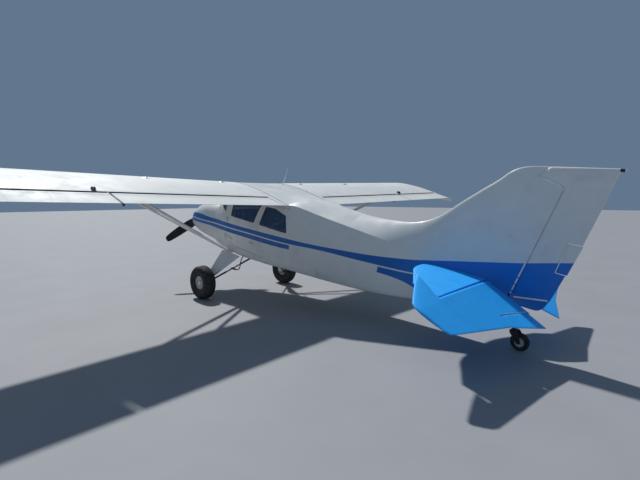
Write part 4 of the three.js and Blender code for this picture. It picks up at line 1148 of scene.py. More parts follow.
def deck():
    xs = np.concatenate([np.linspace(0.2108, -0.1, 22), np.linspace(-0.14, -1.3, 24), np.linspace(-1.33, -1.42, 6), np.linspace(-1.46, -1.9548, 12)])
    blend = Curve((-1.96, 1.0), (-1.46, 1.0), (-1.32, 0.0), (0.3, 0.0))
    rings = []
    for x in xs:
        k = float(blend(x))
        w0, z0 = deck_edge(max(x, -1.339))
        w1, z1 = float(body_at(x)[5]), float(body_at(x)[4])
        w, z = w0 * (1 - k) + w1 * k, z0 * (1 - k) + z1 * k
        zt = float(deck_top(x))
        skirt = 1.7727 if x > -1.33 else max(1.7727, float(roof_edge(x)) + 0.0005)
        u = np.sin(np.linspace(1, -1, 41) * pi / 2)
        across = [(w * q, z + (zt - z) * (1 - abs(q) ** 2.3)) for q in u]
        join = min(max((-1.44 - x) / 0.50, 0.0), 1.0)
        if join > 0:
            join = join * join * (3 - 2 * join)
            half = tail_section(x)[-(SECTION_N[2] + SECTION_N[3]):]
            half = half[np.argsort(half[:, 0])]
            across = [(y, zq * (1 - join) + join * max(z, float(np.interp(abs(y), half[:, 0], half[:, 1])))) for y, zq in across]
        skirt = min(skirt, z - 0.0012)
        outer = [(w, skirt), (w, (skirt + z) / 2)] + across + [(-w, (skirt + z) / 2), (-w, skirt)]
        inner = [(q[0] * (1 - 0.012 / w), q[1] - (0.0 if i in (0, len(outer) - 1) else 0.012 if 1 < i < len(outer) - 2 else 0.006)) for i, q in enumerate(outer)]
        rings.append([(x, *q) for q in outer] + [(x, *q) for q in inner[::-1]])
    return Shape().loft(rings).make("roof_deck", M["skin"], "airframe", "painted_body", stands_for=("cabin_roof",), angle=40)


# ---- rear fuselage and fin in one skin
SILHOUETTE = Curve((-1.38, 1.919), (-1.87, 1.910), (-2.06, 1.898), (-2.24, 1.889), (-2.42, 1.887), (-2.58, 1.889), (-2.74, 1.900), (-2.89, 1.914),
                   (-3.04, 1.934), (-3.18, 1.969), (-3.31, 2.023), (-3.43, 2.100), (-3.54, 2.194), (-3.64, 2.290), (-3.85, 2.474),
                   (-4.04, 2.636), (-4.125, 2.722), (-4.226, 2.784), (-4.312, 2.811), (-4.501, 2.835), (-4.78, 2.86))
FOOT, HEAD = (-4.438, 1.453), (-4.695, 2.657)


def hinge_x(z):
    return FOOT[0] + (HEAD[0] - FOOT[0]) * (z - FOOT[1]) / (HEAD[1] - FOOT[1])


_sx = np.linspace(-2.3, -4.78, 120)
_sil = np.stack([_sx, SILHOUETTE(_sx)], 1)
fin_half = Curve((1.4, 0.034), (1.93, 0.036), (2.2, 0.040), (2.5, 0.036), (2.7, 0.030), (2.84, 0.026))


def fin_y(x, z):
    """Half thickness of the fin at places in the side view."""
    x, z = np.broadcast_arrays(np.atleast_1d(np.asarray(x, float)), np.atleast_1d(np.asarray(z, float)))
    d = edge_distance_open(np.stack([x, z], 1), _sil)
    te = hinge_x(z) + 0.044
    g = np.sqrt(np.clip(1 - (1 - np.clip(d / 0.30, 0, 1)) ** 2, 0, 1))
    back = 1 - 0.08 * np.clip(1 - (x - te) / 0.7, 0, 1)
    out = fin_half(z) * g * back
    return float(out[0]) if len(out) == 1 else out


def edge_distance_open(points, line):
    best = np.full(len(points), 1e9)
    for a, b in zip(line[:-1], line[1:]):
        d = b - a
        t = np.clip(((points - a) @ d) / max(d @ d, 1e-18), 0, 1)
        best = np.minimum(best, np.linalg.norm(points - a - t[:, None] * d, axis=1))
    return best


blend_top = Curve((-1.9, 1.93), (-2.7, 1.90), (-2.9, 1.905), (-3.1, 1.905), (-3.25, 1.900), (-3.4, 1.895), (-3.65, 1.86), (-4.05, 1.79), (-4.394, 1.72), (-4.78, 1.66))
knuckle_round = Curve((-1.3, 0.003), (-1.95, 0.004), (-2.7, 0.006), (-3.0, 0.014), (-3.3, 0.05), (-4.0, 0.03), (-4.78, 0.01))
SECTION_N = (9, 12, 26, 26)


def tail_section(x):
    """Half section of the rear body and fin: belly, side, blend, fin side."""
    zb, zl, wl, ws, zu, wu, _ = body_at(x)
    top = float(SILHOUETTE(x))
    k = np.linspace(0, 1, 40)
    belly = np.stack([wl * k, zb + (zl - zb) * k**2.357], 1)
    side = np.stack([wl * (2 * k * k - 3 * k + 1) + ws * (4 * k - 4 * k * k) + wu * (2 * k * k - k), zl + (zu - zl) * k], 1)
    zd = min(float(blend_top(x)), top - 0.0015)
    p3 = np.array([fin_y(x, zd), zd])
    w = min(max((-2.68 - x) / 0.62, 0.0), 1.0)
    turn = math.radians(88) * (w * w * (3 - 2 * w))
    p0 = side[-1]
    span = np.linalg.norm(p3 - p0)
    rise = math.atan2(p3[1] - p0[1], p0[0] - p3[0])
    a0 = rise * (0.96 + 0.05 * w)
    p1 = p0 + np.array([-math.cos(a0), math.sin(a0)]) * span * 0.46
    p2 = p3 - np.array([-math.cos(turn), math.sin(turn)]) * span * (0.20 + 0.08 * w)
    curve = bezier3(p0, p1, p2, p3, 60)
    # rounded knuckle
    c = min(float(knuckle_round(x)), 0.3 * span, 0.3 * (zu - zl))
    s = np.concatenate([[0], np.cumsum(np.linalg.norm(np.diff(curve, axis=0), axis=1))])
    a = np.array([np.interp(c, s, curve[:, j]) for j in (0, 1)])
    curve = np.vstack([a, curve[s > c]])
    s = np.concatenate([[0], np.cumsum(np.linalg.norm(np.diff(side, axis=0), axis=1))])
    b = np.array([np.interp(s[-1] - c, s, side[:, j]) for j in (0, 1)])
    side = np.vstack([side[s < s[-1] - c], b])
    low = min(0.020, 0.3 * wl)
    sb = np.concatenate([[0], np.cumsum(np.linalg.norm(np.diff(belly, axis=0), axis=1))])
    bb = np.array([np.interp(sb[-1] - low, sb, belly[:, j]) for j in (0, 1)])
    belly = np.vstack([belly[sb < sb[-1] - low], bb])
    s = np.concatenate([[0], np.cumsum(np.linalg.norm(np.diff(side, axis=0), axis=1))])
    ab = np.array([np.interp(low, s, side[:, j]) for j in (0, 1)])
    side = np.vstack([ab, side[s > low]])
    corner = np.array([wl, zl])
    c1 = bezier2(belly[-1], corner, side[0], 5)[1:-1]
    c2 = bezier2(side[-1], p0, curve[0], 6)[1:-1]
    q = 1 - (1 - np.linspace(0, 1, 34)) ** 1.6
    fz = zd + (top - zd) * q[1:]
    fin = np.stack([fin_y(np.full(len(fz), x), fz), fz], 1)
    fin[-1] = (0.0, top)
    n = SECTION_N
    upper = resample(np.vstack([curve, fin]), n[2] + n[3], 1.5)
    up, down = min(max((-2.55 - x) / 0.35, 0.0), 1.0), min(max((x + 3.85) / 0.60, 0.0), 1.0)
    bow = up * up * (3 - 2 * up) * down * down * (3 - 2 * down)
    if bow > 0:
        arch = bezier2(upper[0], np.array([0.15 * wu, top]), np.array([0.0, top]), 60)
        upper = upper * (1 - bow) + resample(arch, len(upper), 1.5) * bow
    return np.vstack([resample(belly, n[0]), c1, resample(side, n[1]), c2, upper])


def rear_body():
    xs = np.arange(-1.93, -4.79, -0.022)
    table = np.array([tail_section(x) for x in xs])
    m = table.shape[1]

    def at(x):
        f = np.clip((xs[0] - x) / 0.022, 0, len(xs) - 1.001)
        i = f.astype(int)
        k = (f - i)[:, None]
        rows = np.arange(m)
        return table[i, rows] * (1 - k) + table[i + 1, rows] * k

    x_front = -1.9552
    rings = []
    for u in np.linspace(0, 1, 118):
        x = np.full(m, x_front + u * (-4.394 - x_front))
        for _ in range(8):
            q = at(x)
            up = np.clip((q[:, 1] - 1.453) / 0.016, 0, 1)
            xr = -4.394 * (1 - up) + (hinge_x(q[:, 1]) + 0.008) * up
            x = x_front + u * (xr - x_front)
        q = at(x)
        left_half = [(a, b, c) for a, (b, c) in zip(x, q)]
        right_half = [(a, -b, c) for a, b, c in left_half[-2:0:-1]]
        rings.append(left_half + right_half)
    ob = Shape().loft(rings).make("rear_skin", M["aft"], "airframe", "painted_fabric", stands_for=("aft_fuselage", "fin"), angle=28)
    horn_gap = [(-4.900, 2.5775), (-4.637, 2.6565), (-4.517, 2.6924), (-4.412, 2.7205), (-4.401, 2.733), (-4.405, 2.750), (-4.417, 2.7655),
                (-4.576, 2.905), (-4.900, 2.905)]
    ob = cut_by(ob, cutter(prism_xz(horn_gap, -0.1, 0.1)))
    nose = [(hinge_x(1.4535) + 0.030, 1.4535), (hinge_x(2.70) + 0.030, 2.70), (hinge_x(2.70) - 0.060, 2.70), (hinge_x(1.4535) - 0.060, 1.4535)]
    return cut_by(ob, cutter(prism_xz(nose, -0.0275, 0.0275)))


deck()
rear_body()


# ---- doors, panes and their trim
def door(name, body, outline, radii, window, s, glass_name, cad_door, cad_glass, grow_by=0.0025):
    holes = [loop(window, 0.024, 0.0)] if window else []
    Shape().plate(loop(outline, radii, grow_by), holes, side_face(s), 0.030, 0.035, 0.0022).make(
        name, M["skin"], body, "painted_body", stands_for=(cad_door,))
    if window:
        pane(glass_name, body, window, s, cad_glass)


def pane(name, body, window, s, cad_glass):
    Shape().plate(loop(window, 0.030, 0.008), [], side_face(s, 0.0125), 0.004, 0.05, 0.001).make(
        name, M["glass"], body, "window_glass", stands_for=(cad_glass,))
    # rubber channel that holds the pane, and a slim metal frame on the skin
    Shape().plate(loop(window, 0.027, 0.0045), [loop(window, 0.020, -0.0045)], side_face(s, 0.0065), 0.0055, 0.03, 0.0012).make(
        name + "_seal", M["rubber_seal"], body, "panel_black")
    Shape().plate(loop(window, 0.030, 0.0100), [loop(window, 0.024, 0.0000)], side_face(s, -0.0018), 0.004, 0.03, 0.0010).make(
        name + "_frame", M["skin"], body, "painted_body")


for side, s in SIDES:
    door(f"front_door_{side}", f"door_front_{side}", DOOR_FRONT, DOOR_FRONT_R, WIN_FRONT, s, f"front_pane_{side}",
         f"door_front_{side}", f"window_front_{side}")
door("rear_door_right", "door_rear_right", DOOR_REAR, DOOR_REAR_R, WIN_REAR_R, -1, "rear_pane_right", "door_rear_right", "window_rear_right")
pane("rear_pane_left", "airframe", WIN_REAR_L, 1, "window_rear_left")
door("baggage_hatch", "baggage_door", DOOR_BAG, DOOR_BAG_R, None, -1, None, "baggage_door", None)


# ---- engine cowling
def cowling():
    xs = np.concatenate([np.linspace(0.4745, 1.20, 18), np.linspace(1.24, 1.35, 6), np.linspace(1.365, 1.415, 6), [1.424, 1.430, 1.432]])
    rows = []
    for x in xs:
        k = min(max((x - 1.2) / 0.232, 0.0), 1.0)
        rows.append(full_section(x, 0.0, cowl_at, low=0.07 + 0.04 * k, high=0.075 + 0.04 * k, n=(10, 14, 10, 14)))
    inner = []
    for x in xs[:24]:
        k = min(max((x - 1.2) / 0.232, 0.0), 1.0)
        inner.append([(p[0], p[1], p[2]) for p in full_section(x, 0.014, cowl_at, low=0.07 + 0.04 * k, high=0.075 + 0.04 * k, n=(10, 14, 10, 14))])
    nose_in = [(1.402, p[1], p[2]) for p in full_section(1.412, 0.014, cowl_at, low=0.11, high=0.11, n=(10, 14, 10, 14))]
    s = Shape()
    ring_list = inner[::-1]
    rings = [nose_in] + ring_list + rows
    n = len(rings[0])
    faces = []
    for r in range(len(rings) - 1):
        for i in range(n):
            faces.append((r * n + i, r * n + (i + 1) % n, (r + 1) * n + (i + 1) % n, (r + 1) * n + i))
    faces.append(tuple(range(n)))
    faces.append(tuple(range((len(rings) - 1) * n, len(rings) * n)))
    s.add([p for r in rings for p in r], faces)
    ob = s.make("engine_cowling", M["cowl"], "airframe", "painted_body", stands_for=("engine_cowl",))
    for q in (1, -1):
        hole = rounded([(q * 0.128, 1.078), (q * 0.232, 1.078), (q * 0.250, 1.120), (q * 0.232, 1.162), (q * 0.140, 1.162), (q * 0.128, 1.136)], 0.02, 4)
        cut_by(ob, cutter(prism_yz(hole, 1.33, 1.50)))
    cut_by(ob, cutter(Shape().tube([(1.35, 0, 1.085), (1.50, 0, 1.085)], 0.072, 32)))
    cut_by(ob, cutter(Shape().box((0.476, -0.15, 0.70), (0.640, 0.15, 0.90), bevel=0.012, seg=3)))
    ob.data.set_sharp_from_angle(angle=math.radians(32))
    return ob


cowling()

# ------------------------------------------------------------------- wings

def wing_ring(y, le=WING_LE, te=WING_LE - CHORD, k=1.0, droop=0.0, end=None, lean=0.0, n=38, wave=0.0):
    """Closed section at span y; end cuts it off at a station."""
    c_end = 1.0 if end is None else (le - end) / (le - te)
    c = (1 - np.cos(np.linspace(0, 1, n) * pi / 2 * (1.0 if end is None else 1.0))) * c_end
    bulge = wave * np.sin(np.clip((c - 0.10) / 0.6, 0, 1) * pi)
    up = [(le + (te - le) * a, wing_up(a) * k + droop + b) for a, b in zip(c, bulge)]
    lo = [(le + (te - le) * a, wing_low(a) * k + droop) for a in c[1:]]
    if end is not None:                     # rounded corners at the rear face
        x1, zu = up[-1]
        zl = lo[-1][1]
        up = up[:-1] + [(x1 + 0.004, zu), (x1 + 0.0012, zu - 0.0012), (x1, zu - 0.004)]
        lo = lo[:-1] + [(x1 + 0.004, zl), (x1 + 0.0012, zl + 0.0012), (x1, zl + 0.004)]
    pts = up + lo[::-1]
    return [(x, y + z * lean, z) for x, z in pts]


TAN_D = math.tan(DIHEDRAL)
ROOT = 0.5006 / math.cos(DIHEDRAL)
tip_le = Curve((4.4258, 0.263), (4.50, 0.260), (4.56, 0.252), (4.64, 0.222), (4.68, 0.183), (4.70, 0.150))
tip_te = Curve((4.4258, -1.340), (4.56, -1.344), (4.64, -1.344), (4.70, -1.335))
tip_k = Curve((4.4258, 1.0), (4.50, 0.975), (4.56, 0.93), (4.64, 0.76), (4.68, 0.53), (4.70, 0.30))
tip_droop = Curve((4.4258, 0.0), (4.50, -0.004), (4.56, -0.014), (4.64, -0.044), (4.68, -0.075), (4.70, -0.092))


def flap_ring(y, px, pz, r, n=9):
    """Section of flap or aileron, with its nose about (px, pz)."""
    te = WING_LE - CHORD
    c0 = (WING_LE - (px - 0.010)) / CHORD
    up, lo = wing_up(c0), wing_low(c0)
    arc = [(px + r * math.cos(a), pz + r * math.sin(a)) for a in np.radians(np.linspace(-80, 80, 15))]
    a, b = np.array([px - 0.055, lo * 0.94 + 0.001]), np.array(arc[0])
    low_in = bezier2(a, [px - 0.018, lo], b, 6)[:-1]
    c, d = np.array(arc[-1]), np.array([px - 0.060, up - 0.0125])
    top_in = bezier2(c, [px - 0.014, pz + r + 0.003], d, 7)[1:]
    low_te = [(te + t * (a[0] - te), -0.0018 + t * (a[1] + 0.0018)) for t in np.linspace(0, 1, n)[:-1]]
    top_te = [(te + t * (d[0] - te), 0.0018 + t * (d[1] - 0.0018)) for t in np.linspace(1, 0, n)[1:]]
    pts = low_te + [tuple(p) for p in low_in] + arc + [tuple(p) for p in top_in] + top_te
    return [(x, y, z) for x, z in pts]


def span_loft(ring_at, y0, y1, n, name, material, body, slot, at, stands_for, edge=0.006):
    """Loft along the span with softly rounded ends."""
    ys = np.linspace(y0, y1, n)
    s = Shape()
    rings = []
    for j, y in enumerate(ys):
        rings.append(ring_at(y))

    def shrunk(ring, d, dy):
        p = np.array([(q[0], q[2]) for q in ring])
        q = grown(p, -d)
        return [(a, ring[0][1] + dy, b) for a, b in q]

    sg = 1 if y1 > y0 else -1
    first, last = ring_at(y0), ring_at(y1)
    rings[0] = [(q[0], q[1] + sg * 0.0012, q[2]) for q in first]
    rings[-1] = [(q[0], q[1] - sg * 0.0012, q[2]) for q in last]
    rings = [shrunk(first, 0.0010, 0.0)] + rings + [shrunk(last, 0.0010, 0.0)]
    s.loft(rings)
    return s.make(name, material, body, slot, at, stands_for)


STREAMLINE = [(c, 5 * (0.2969 * math.sqrt(c) - 0.1260 * c - 0.3516 * c**2 + 0.2843 * c**3 - 0.1036 * c**4)) for c in
              (1 - np.cos(np.linspace(0, 1, 17) * pi)) / 2]


def faired(shape, a, b, chord, thick, n=8, ends=0.03):
    """Streamlined bar from a to b, its ends drawn in to a tongue."""
    a, b = Vector(a), Vector(b)
    d = (b - a).normalized()
    nrm = Vector((1, 0, 0)).cross(d).normalized()
    cx = d.cross(nrm).normalized()
    if cx.x < 0:
        cx = -cx
    l = (b - a).length
    stops = [0.0, 0.004, ends, ends + 0.03, *np.linspace(ends + 0.08, l - ends - 0.08, n), l - ends - 0.03, l - ends, l - 0.004, l]
    rings = []
    for q in stops:
        e = min(q, l - q)
        k = 0.55 if e < 0.002 else 0.60 if e < 0.005 else 0.66 if e <= ends + 1e-6 else 1.0
        t = 0.45 if e <= ends + 1e-6 else 1.0
        p = a + d * q
        up = [p + cx * ((0.5 - c) * chord * k) + nrm * (w * thick * t) for c, w in STREAMLINE]
        lo = [p + cx * ((0.5 - c) * chord * k) - nrm * (w * thick * t) for c, w in STREAMLINE[1:-1]]
        rings.append(up + lo[::-1])
    shape.loft(rings)
    return cx, nrm, d


for side, s in SIDES:
    W = WING[s]
    # fixed part: root rib, then the part whose rear is cut off for flap and aileron
    ribs = 0.378
    rings = []
    ys = [ROOT, ROOT + 0.0012, 0.53, 0.56, 0.5945, 0.5958]
    for j, y in enumerate(ys):
        rings.append(wing_ring(s * y, lean=s * TAN_D if j < 2 else s * TAN_D * max(0, 1 - (y - ROOT) / 0.09)))
    rings[0] = [(p[0] * 0.9993, p[1], p[2] * 0.985) for p in rings[0]]
    root_part = Shape().loft(rings)
    rings = []
    for y in np.concatenate([[0.5962, 0.60], np.arange(0.66, 4.40, ribs / 4), [4.42, 4.425]]):
        w = -0.0011 * math.sin(pi * (y / ribs)) ** 2
        rings.append(wing_ring(s * y, end=-0.962, wave=w))
    main = Shape().loft(rings)
    both(root_part, main).make(f"wing_skin_{side}", M["wing"], "airframe", "painted_wing", W, (f"wing_{side}",), angle=30)

    ys = np.concatenate([[4.4258], np.linspace(4.44, 4.60, 9), np.linspace(4.615, 4.69, 9), [4.696, 4.700]])
    rings = [wing_ring(s * y, float(tip_le(y)), float(tip_te(y)), float(tip_k(y)), float(tip_droop(y)), n=34) for y in ys]
    Shape().loft(rings).make(f"wing_end_{side}", M["wing"], "airframe", "painted_wing", W, (f"wing_tip_{side}",), angle=45)

    span_loft(lambda y: flap_ring(y, -1.008, 0.018, 0.031), s * 0.604, s * 2.868, 26, f"flap_skin_{side}", M["surface"],
              f"flap_{side}", "painted_wing", W, (f"flap_{side}",))
    span_loft(lambda y: flap_ring(y, -1.012, 0.017, 0.033), s * 2.896, s * 4.414, 20, f"aileron_skin_{side}", M["surface"],
              f"aileron_{side}", "painted_wing", W, (f"aileron_{side}",))

    # rubber seals: on the rear face over flap and aileron, and along the root
    seal = Shape()
    zt, zb = float(wing_up((WING_LE + 0.962) / CHORD)), float(wing_low((WING_LE + 0.962) / CHORD))
    for y0, y1 in ((0.600, 2.866), (2.898, 4.412)):
        a, b = sorted((s * y0, s * y1))
        seal.box((-0.9640, a, zt - 0.024), (-0.9612, b, zt - 0.0035), 0.0008)
    for c0, c1 in ((0.03, 0.985),):
        line = [(WING_LE - CHORD * c, s * 0.5045 / math.cos(DIHEDRAL), float(wing_up(c)) + 0.0004) for c in np.linspace(c0, c1, 50)]
        strip(seal, line, 0.012, 0.0016, lambda q: (0, 0, 1))
    seal.make(f"wing_seals_{side}", M["rubber_seal"], "airframe", "panel_black", W)

    # hinge arms and horns
    fixed, moving = Shape(), Shape()
    for y in (0.604 + 0.150, 2.868 - 0.150, 1.72):
        if y == 1.72:
            continue
        arm = rounded([(-0.902, 0.004), (-0.960, 0.004), (-1.032, -0.064), (-1.034, -0.092), (-1.008, -0.094), (-0.93, -0.048)], 0.010, 3)
        fixed.loft([[(x, s * (y + 0.001), z) for x, z in arm], [(x, s * (y + 0.007), z) for x, z in arm]])
        fixed.tube([(-1.018, s * (y - 0.0030), -0.078), (-1.018, s * (y + 0.0115), -0.078)], 0.0052, 10)
        horn = rounded([(-1.000, -0.008), (-1.100, -0.008), (-1.036, -0.090), (-1.004, -0.090)], 0.010, 3)
        moving.loft([[(x, s * (y + 0.015), z) for x, z in horn], [(x, s * (y + 0.021), z) for x, z in horn]])
        moving.tube([(-1.018, s * (y + 0.0125), -0.078), (-1.018, s * (y + 0.0235), -0.078)], 0.0075, 10)
    fixed.make(f"flap_hinge_arms_{side}", M["black"], "airframe", "black_steel", W, bevel=0.0008)
    moving.make(f"flap_horns_{side}", M["black"], f"flap_{side}", "black_steel", W, bevel=0.0008)

    ail = Shape()
    for y in (2.99, 3.70, 4.32):
        ail.box((-0.965, s * (y - 0.012), 0.010), (-0.9622 - 0.004, s * (y + 0.012), 0.040), 0.001)
    ail.make(f"aileron_brackets_{side}", M["black"], "airframe", "black_steel", W)

    # control fitting that stands over the aileron's inner end
    f = Shape()
    for dy in (-0.012, 0.012):
        o = rounded([(-0.958, 0.058), (-0.880, 0.070), (-0.888, 0.094), (-0.925, 0.104), (-0.955, 0.092)], 0.010, 3)
        f.loft([[(x, s * (3.02 + dy - 0.0025), z) for x, z in o], [(x, s * (3.02 + dy + 0.0025), z) for x, z in o]])
    f.tube([(-0.925, s * 3.002, 0.090), (-0.925, s * 3.038, 0.090)], 0.005, 10)
    f.box((-0.957, s * 2.995, 0.0595), (-0.870, s * 3.045, 0.066), 0.002)
    f.tube([(-0.930, s * 3.02, 0.090), (-0.960, s * 3.02, 0.074)], 0.005, 8)
    f.make(f"aileron_fitting_{side}", M["black"], "airframe", "black_steel", W)

    # fuel caps, each in its recessed ring
    caps = Shape()
    for cx, cy in ((-0.16, 0.86), (-0.20, 2.10)):
        z = wing_up((WING_LE - cx) / CHORD)
        m = Matrix.Translation((cx, s * cy, z - 0.001))
        caps.lathe([(0.052, -0.002), (0.052, 0.0022), (0.046, 0.0034), (0.042, 0.0034), (0.040, 0.0016), (0, 0.0016)], m, 36)
        caps.lathe([(0.036, 0.001), (0.036, 0.0062), (0.033, 0.0080), (0.012, 0.0088), (0, 0.0088)], m, 36)
        caps.box((-0.028, -0.005, 0.0085), (0.028, 0.005, 0.0135), 0.002, m=m)
    caps.make(f"fuel_caps_{side}", M["alloy"], "airframe", "bare_metal", W)

    # tie-down ring under the strut's head
    t = Shape().box((-0.160, s * 2.530, -0.062), (-0.100, s * 2.590, -0.030), 0.004)
    ringpts = [(-0.130 + 0.020 * math.cos(a), s * 2.56, -0.074 + 0.017 * math.sin(a)) for a in np.linspace(0.35 * pi - pi / 2 * 0 + 0.2, 2 * pi + 0.65 * pi - 0.2, 24)]
    t.tube(ringpts, 0.0035, 8)
    t.make(f"tie_down_{side}", M["steel"], "airframe", "bare_metal", W)

    # access panel row under the wing
    panels = Shape()
    for y in np.arange(0.95, 4.2, 0.756):
        cx = -0.30
        z = wing_low((WING_LE - cx) / CHORD)
        m = Matrix.Translation((cx, s * y, z)) @ Matrix.Rotation(pi, 4, "X")
        panels.lathe([(0.050, -0.001), (0.050, 0.0010), (0.048, 0.0016), (0, 0.0020)], m, 28)
        for a in range(4):
            panels.screw((cx + 0.042 * math.cos(a * pi / 2 + 0.4), s * y + 0.042 * math.sin(a * pi / 2 + 0.4), z - 0.0017), (0, 0, -1), 0.0028, 0.001, 8)
    panels.make(f"wing_covers_{side}", M["wing"], "airframe", "painted_wing", W)

    # lift struts with their end fittings
    for nm, a, b, ch, th in (("front", (-0.062, s * 0.592, 0.838), (-0.130, s * 2.440, 1.808), 0.096, 0.040),
                             ("rear", (-0.178, s * 0.592, 0.832), (-0.826, s * 2.420, 1.806), 0.0826, 0.036)):
        st = Shape()
        faired(st, a, b, ch, th)
        st.make(f"lift_strut_{nm}_{side}", M["strut"], "airframe", "painted_struts", LEVEL, (f"strut_{nm}_{side}",), angle=30)
        A, B = Vector(a), Vector(b)
        d = (B - A).normalized()
        up = Vector((1, 0, 0)).cross(d).normalized()
        ft = Shape()
        for q, sg in ((A, -1), (B, 1)):
            c = q + d * (0.002 * sg)
            # fork plates and bolt
            for w in (-1, 1):
                o = c - d * (0.024 * sg)
                e = c + d * (0.034 * sg)
                ft.tube([o + up * 0.0110 * w, (o + e) / 2 + up * 0.0110 * w, e + up * 0.0110 * w], [0.013, 0.016, 0.013], 12, flat=0.16, up=(1, 0, 0))
            ft.tube([c + d * (0.018 * sg) - up * 0.019, c + d * (0.018 * sg) + up * 0.019], 0.0065, 12)
            ft.bolt(c + d * (0.018 * sg) + up * 0.0145, up, 0.0085, 0.006)
            ft.bolt(c + d * (0.018 * sg) - up * 0.0145, -up, 0.0085, 0.006)
        # the lower end's lug on the body, the upper end's on the spar
        lug_y = float(side_y(a[0], a[2] + 0.02))
        ft.tube([(a[0], s * (lug_y - 0.004), a[2] - 0.016), A - d * 0.020], 0.010, 10)
        ft.tube([B + d * 0.014, Vector((b[0], b[1] * 1.006, 1.81 + abs(b[1]) * math.sin(DIHEDRAL) - 0.040))], 0.010, 10)
        ft.make(f"strut_fittings_{nm}_{side}", M["strut"], "airframe", "painted_struts", LEVEL)
    # small vent or bolt head on the front strut, as in the side view
    bump = Shape()
    A, B = Vector((-0.062, s * 0.592, 0.838)), Vector((-0.130, s * 2.440, 1.808))
    q = A.lerp(B, 0.14)
    bump.dome(q + Vector((0, 0.0, 0.017)), (0, s * -0.46, 0.88), 0.011, 0.010, 12)
    bump.make(f"strut_boss_{side}", M["black"], "airframe", "black_steel", LEVEL)

# ---------------------------------------------------------------- tailplane

HINGE_X, STAB_Z, ELEV_REST = -4.190, 1.505, math.radians(18)
stab_le = Curve((0.0, -3.419), (0.100, -3.420), (0.296, -3.425), (0.425, -3.450), (0.721, -3.611), (0.985, -3.765))
stab_half = Curve((0.1, 0.034), (0.425, 0.034), (0.721, 0.032), (1.2, 0.025))


def stabiliser(side, s):
    te = HINGE_X + 0.028 + 0.012
    rows = []
    n = 66
    prof = [(0.0, 0.0), (0.004, 0.17), (0.012, 0.30), (0.03, 0.43), (0.07, 0.58), (0.14, 0.74), (0.25, 0.89), (0.4, 0.98), (0.55, 1.0), (0.7, 0.985),
            (0.85, 0.94), (0.97, 0.90), (0.995, 0.885), (1.0, 0.80)]
    for v in [*np.linspace(0, 1, n), 1.004, 1.008, 1.0105]:
        w = min(v, 1.0)
        yl = 0.03 + (0.985 - 0.03) * w
        yt = 0.03 + (1.1698 - 0.03) * w
        a = np.array([float(stab_le(yl)), yl])
        b = np.array([te, yt])
        h = float(stab_half((yl + yt) / 2))
        rib = 1 - 0.085 * math.sin(pi * w * 6) ** 2 * (1 if w < 1 else 0)
        if v > 1:
            d = np.array([b[1] - a[1], a[0] - b[0]])
            d = d / np.linalg.norm(d)
            e = (v - 1.0) * 1.0
            a, b = a + d * e * 0.8, b + d * e * 0.8
            h *= math.sqrt(max(0.0, 1 - ((v - 1) / 0.0108) ** 2)) * 0.75 + 0.12
        up, lo = [], []
        for c, t in prof:
            p = a + (b - a) * c
            k = rib if 0.05 < c < 0.97 else 1.0
            up.append((p[0], s * p[1], STAB_Z + h * t * k))
            lo.append((p[0], s * p[1], STAB_Z - h * t * k))
        rows.append(up + lo[:0:-1])
    ob = Shape().loft(rows).make(f"stabiliser_skin_{side}", M["tail_blue"], "airframe", "painted_fabric", LEVEL, (f"stabiliser_{side}",), angle=30)
    return ob


for side, s in SIDES:
    stabiliser(side, s)

ELEV = LEVEL @ Matrix.Translation((HINGE_X, 0, STAB_Z)) @ Matrix.Rotation(-ELEV_REST, 4, "Y")
elev_te = Curve((0.100, 0.30), (0.160, 0.52), (0.240, 0.736), (0.737, 0.546), (1.180, 0.446), (1.245, 0.432), (1.270, 0.426), (1.500, 0.374), (1.600, 0.350), (1.640, 0.284))
TAB_IN, TAB_OUT = (-0.502, 0.196), (-0.396, 0.660)      # hinge line of the left trim tab, (x, y)


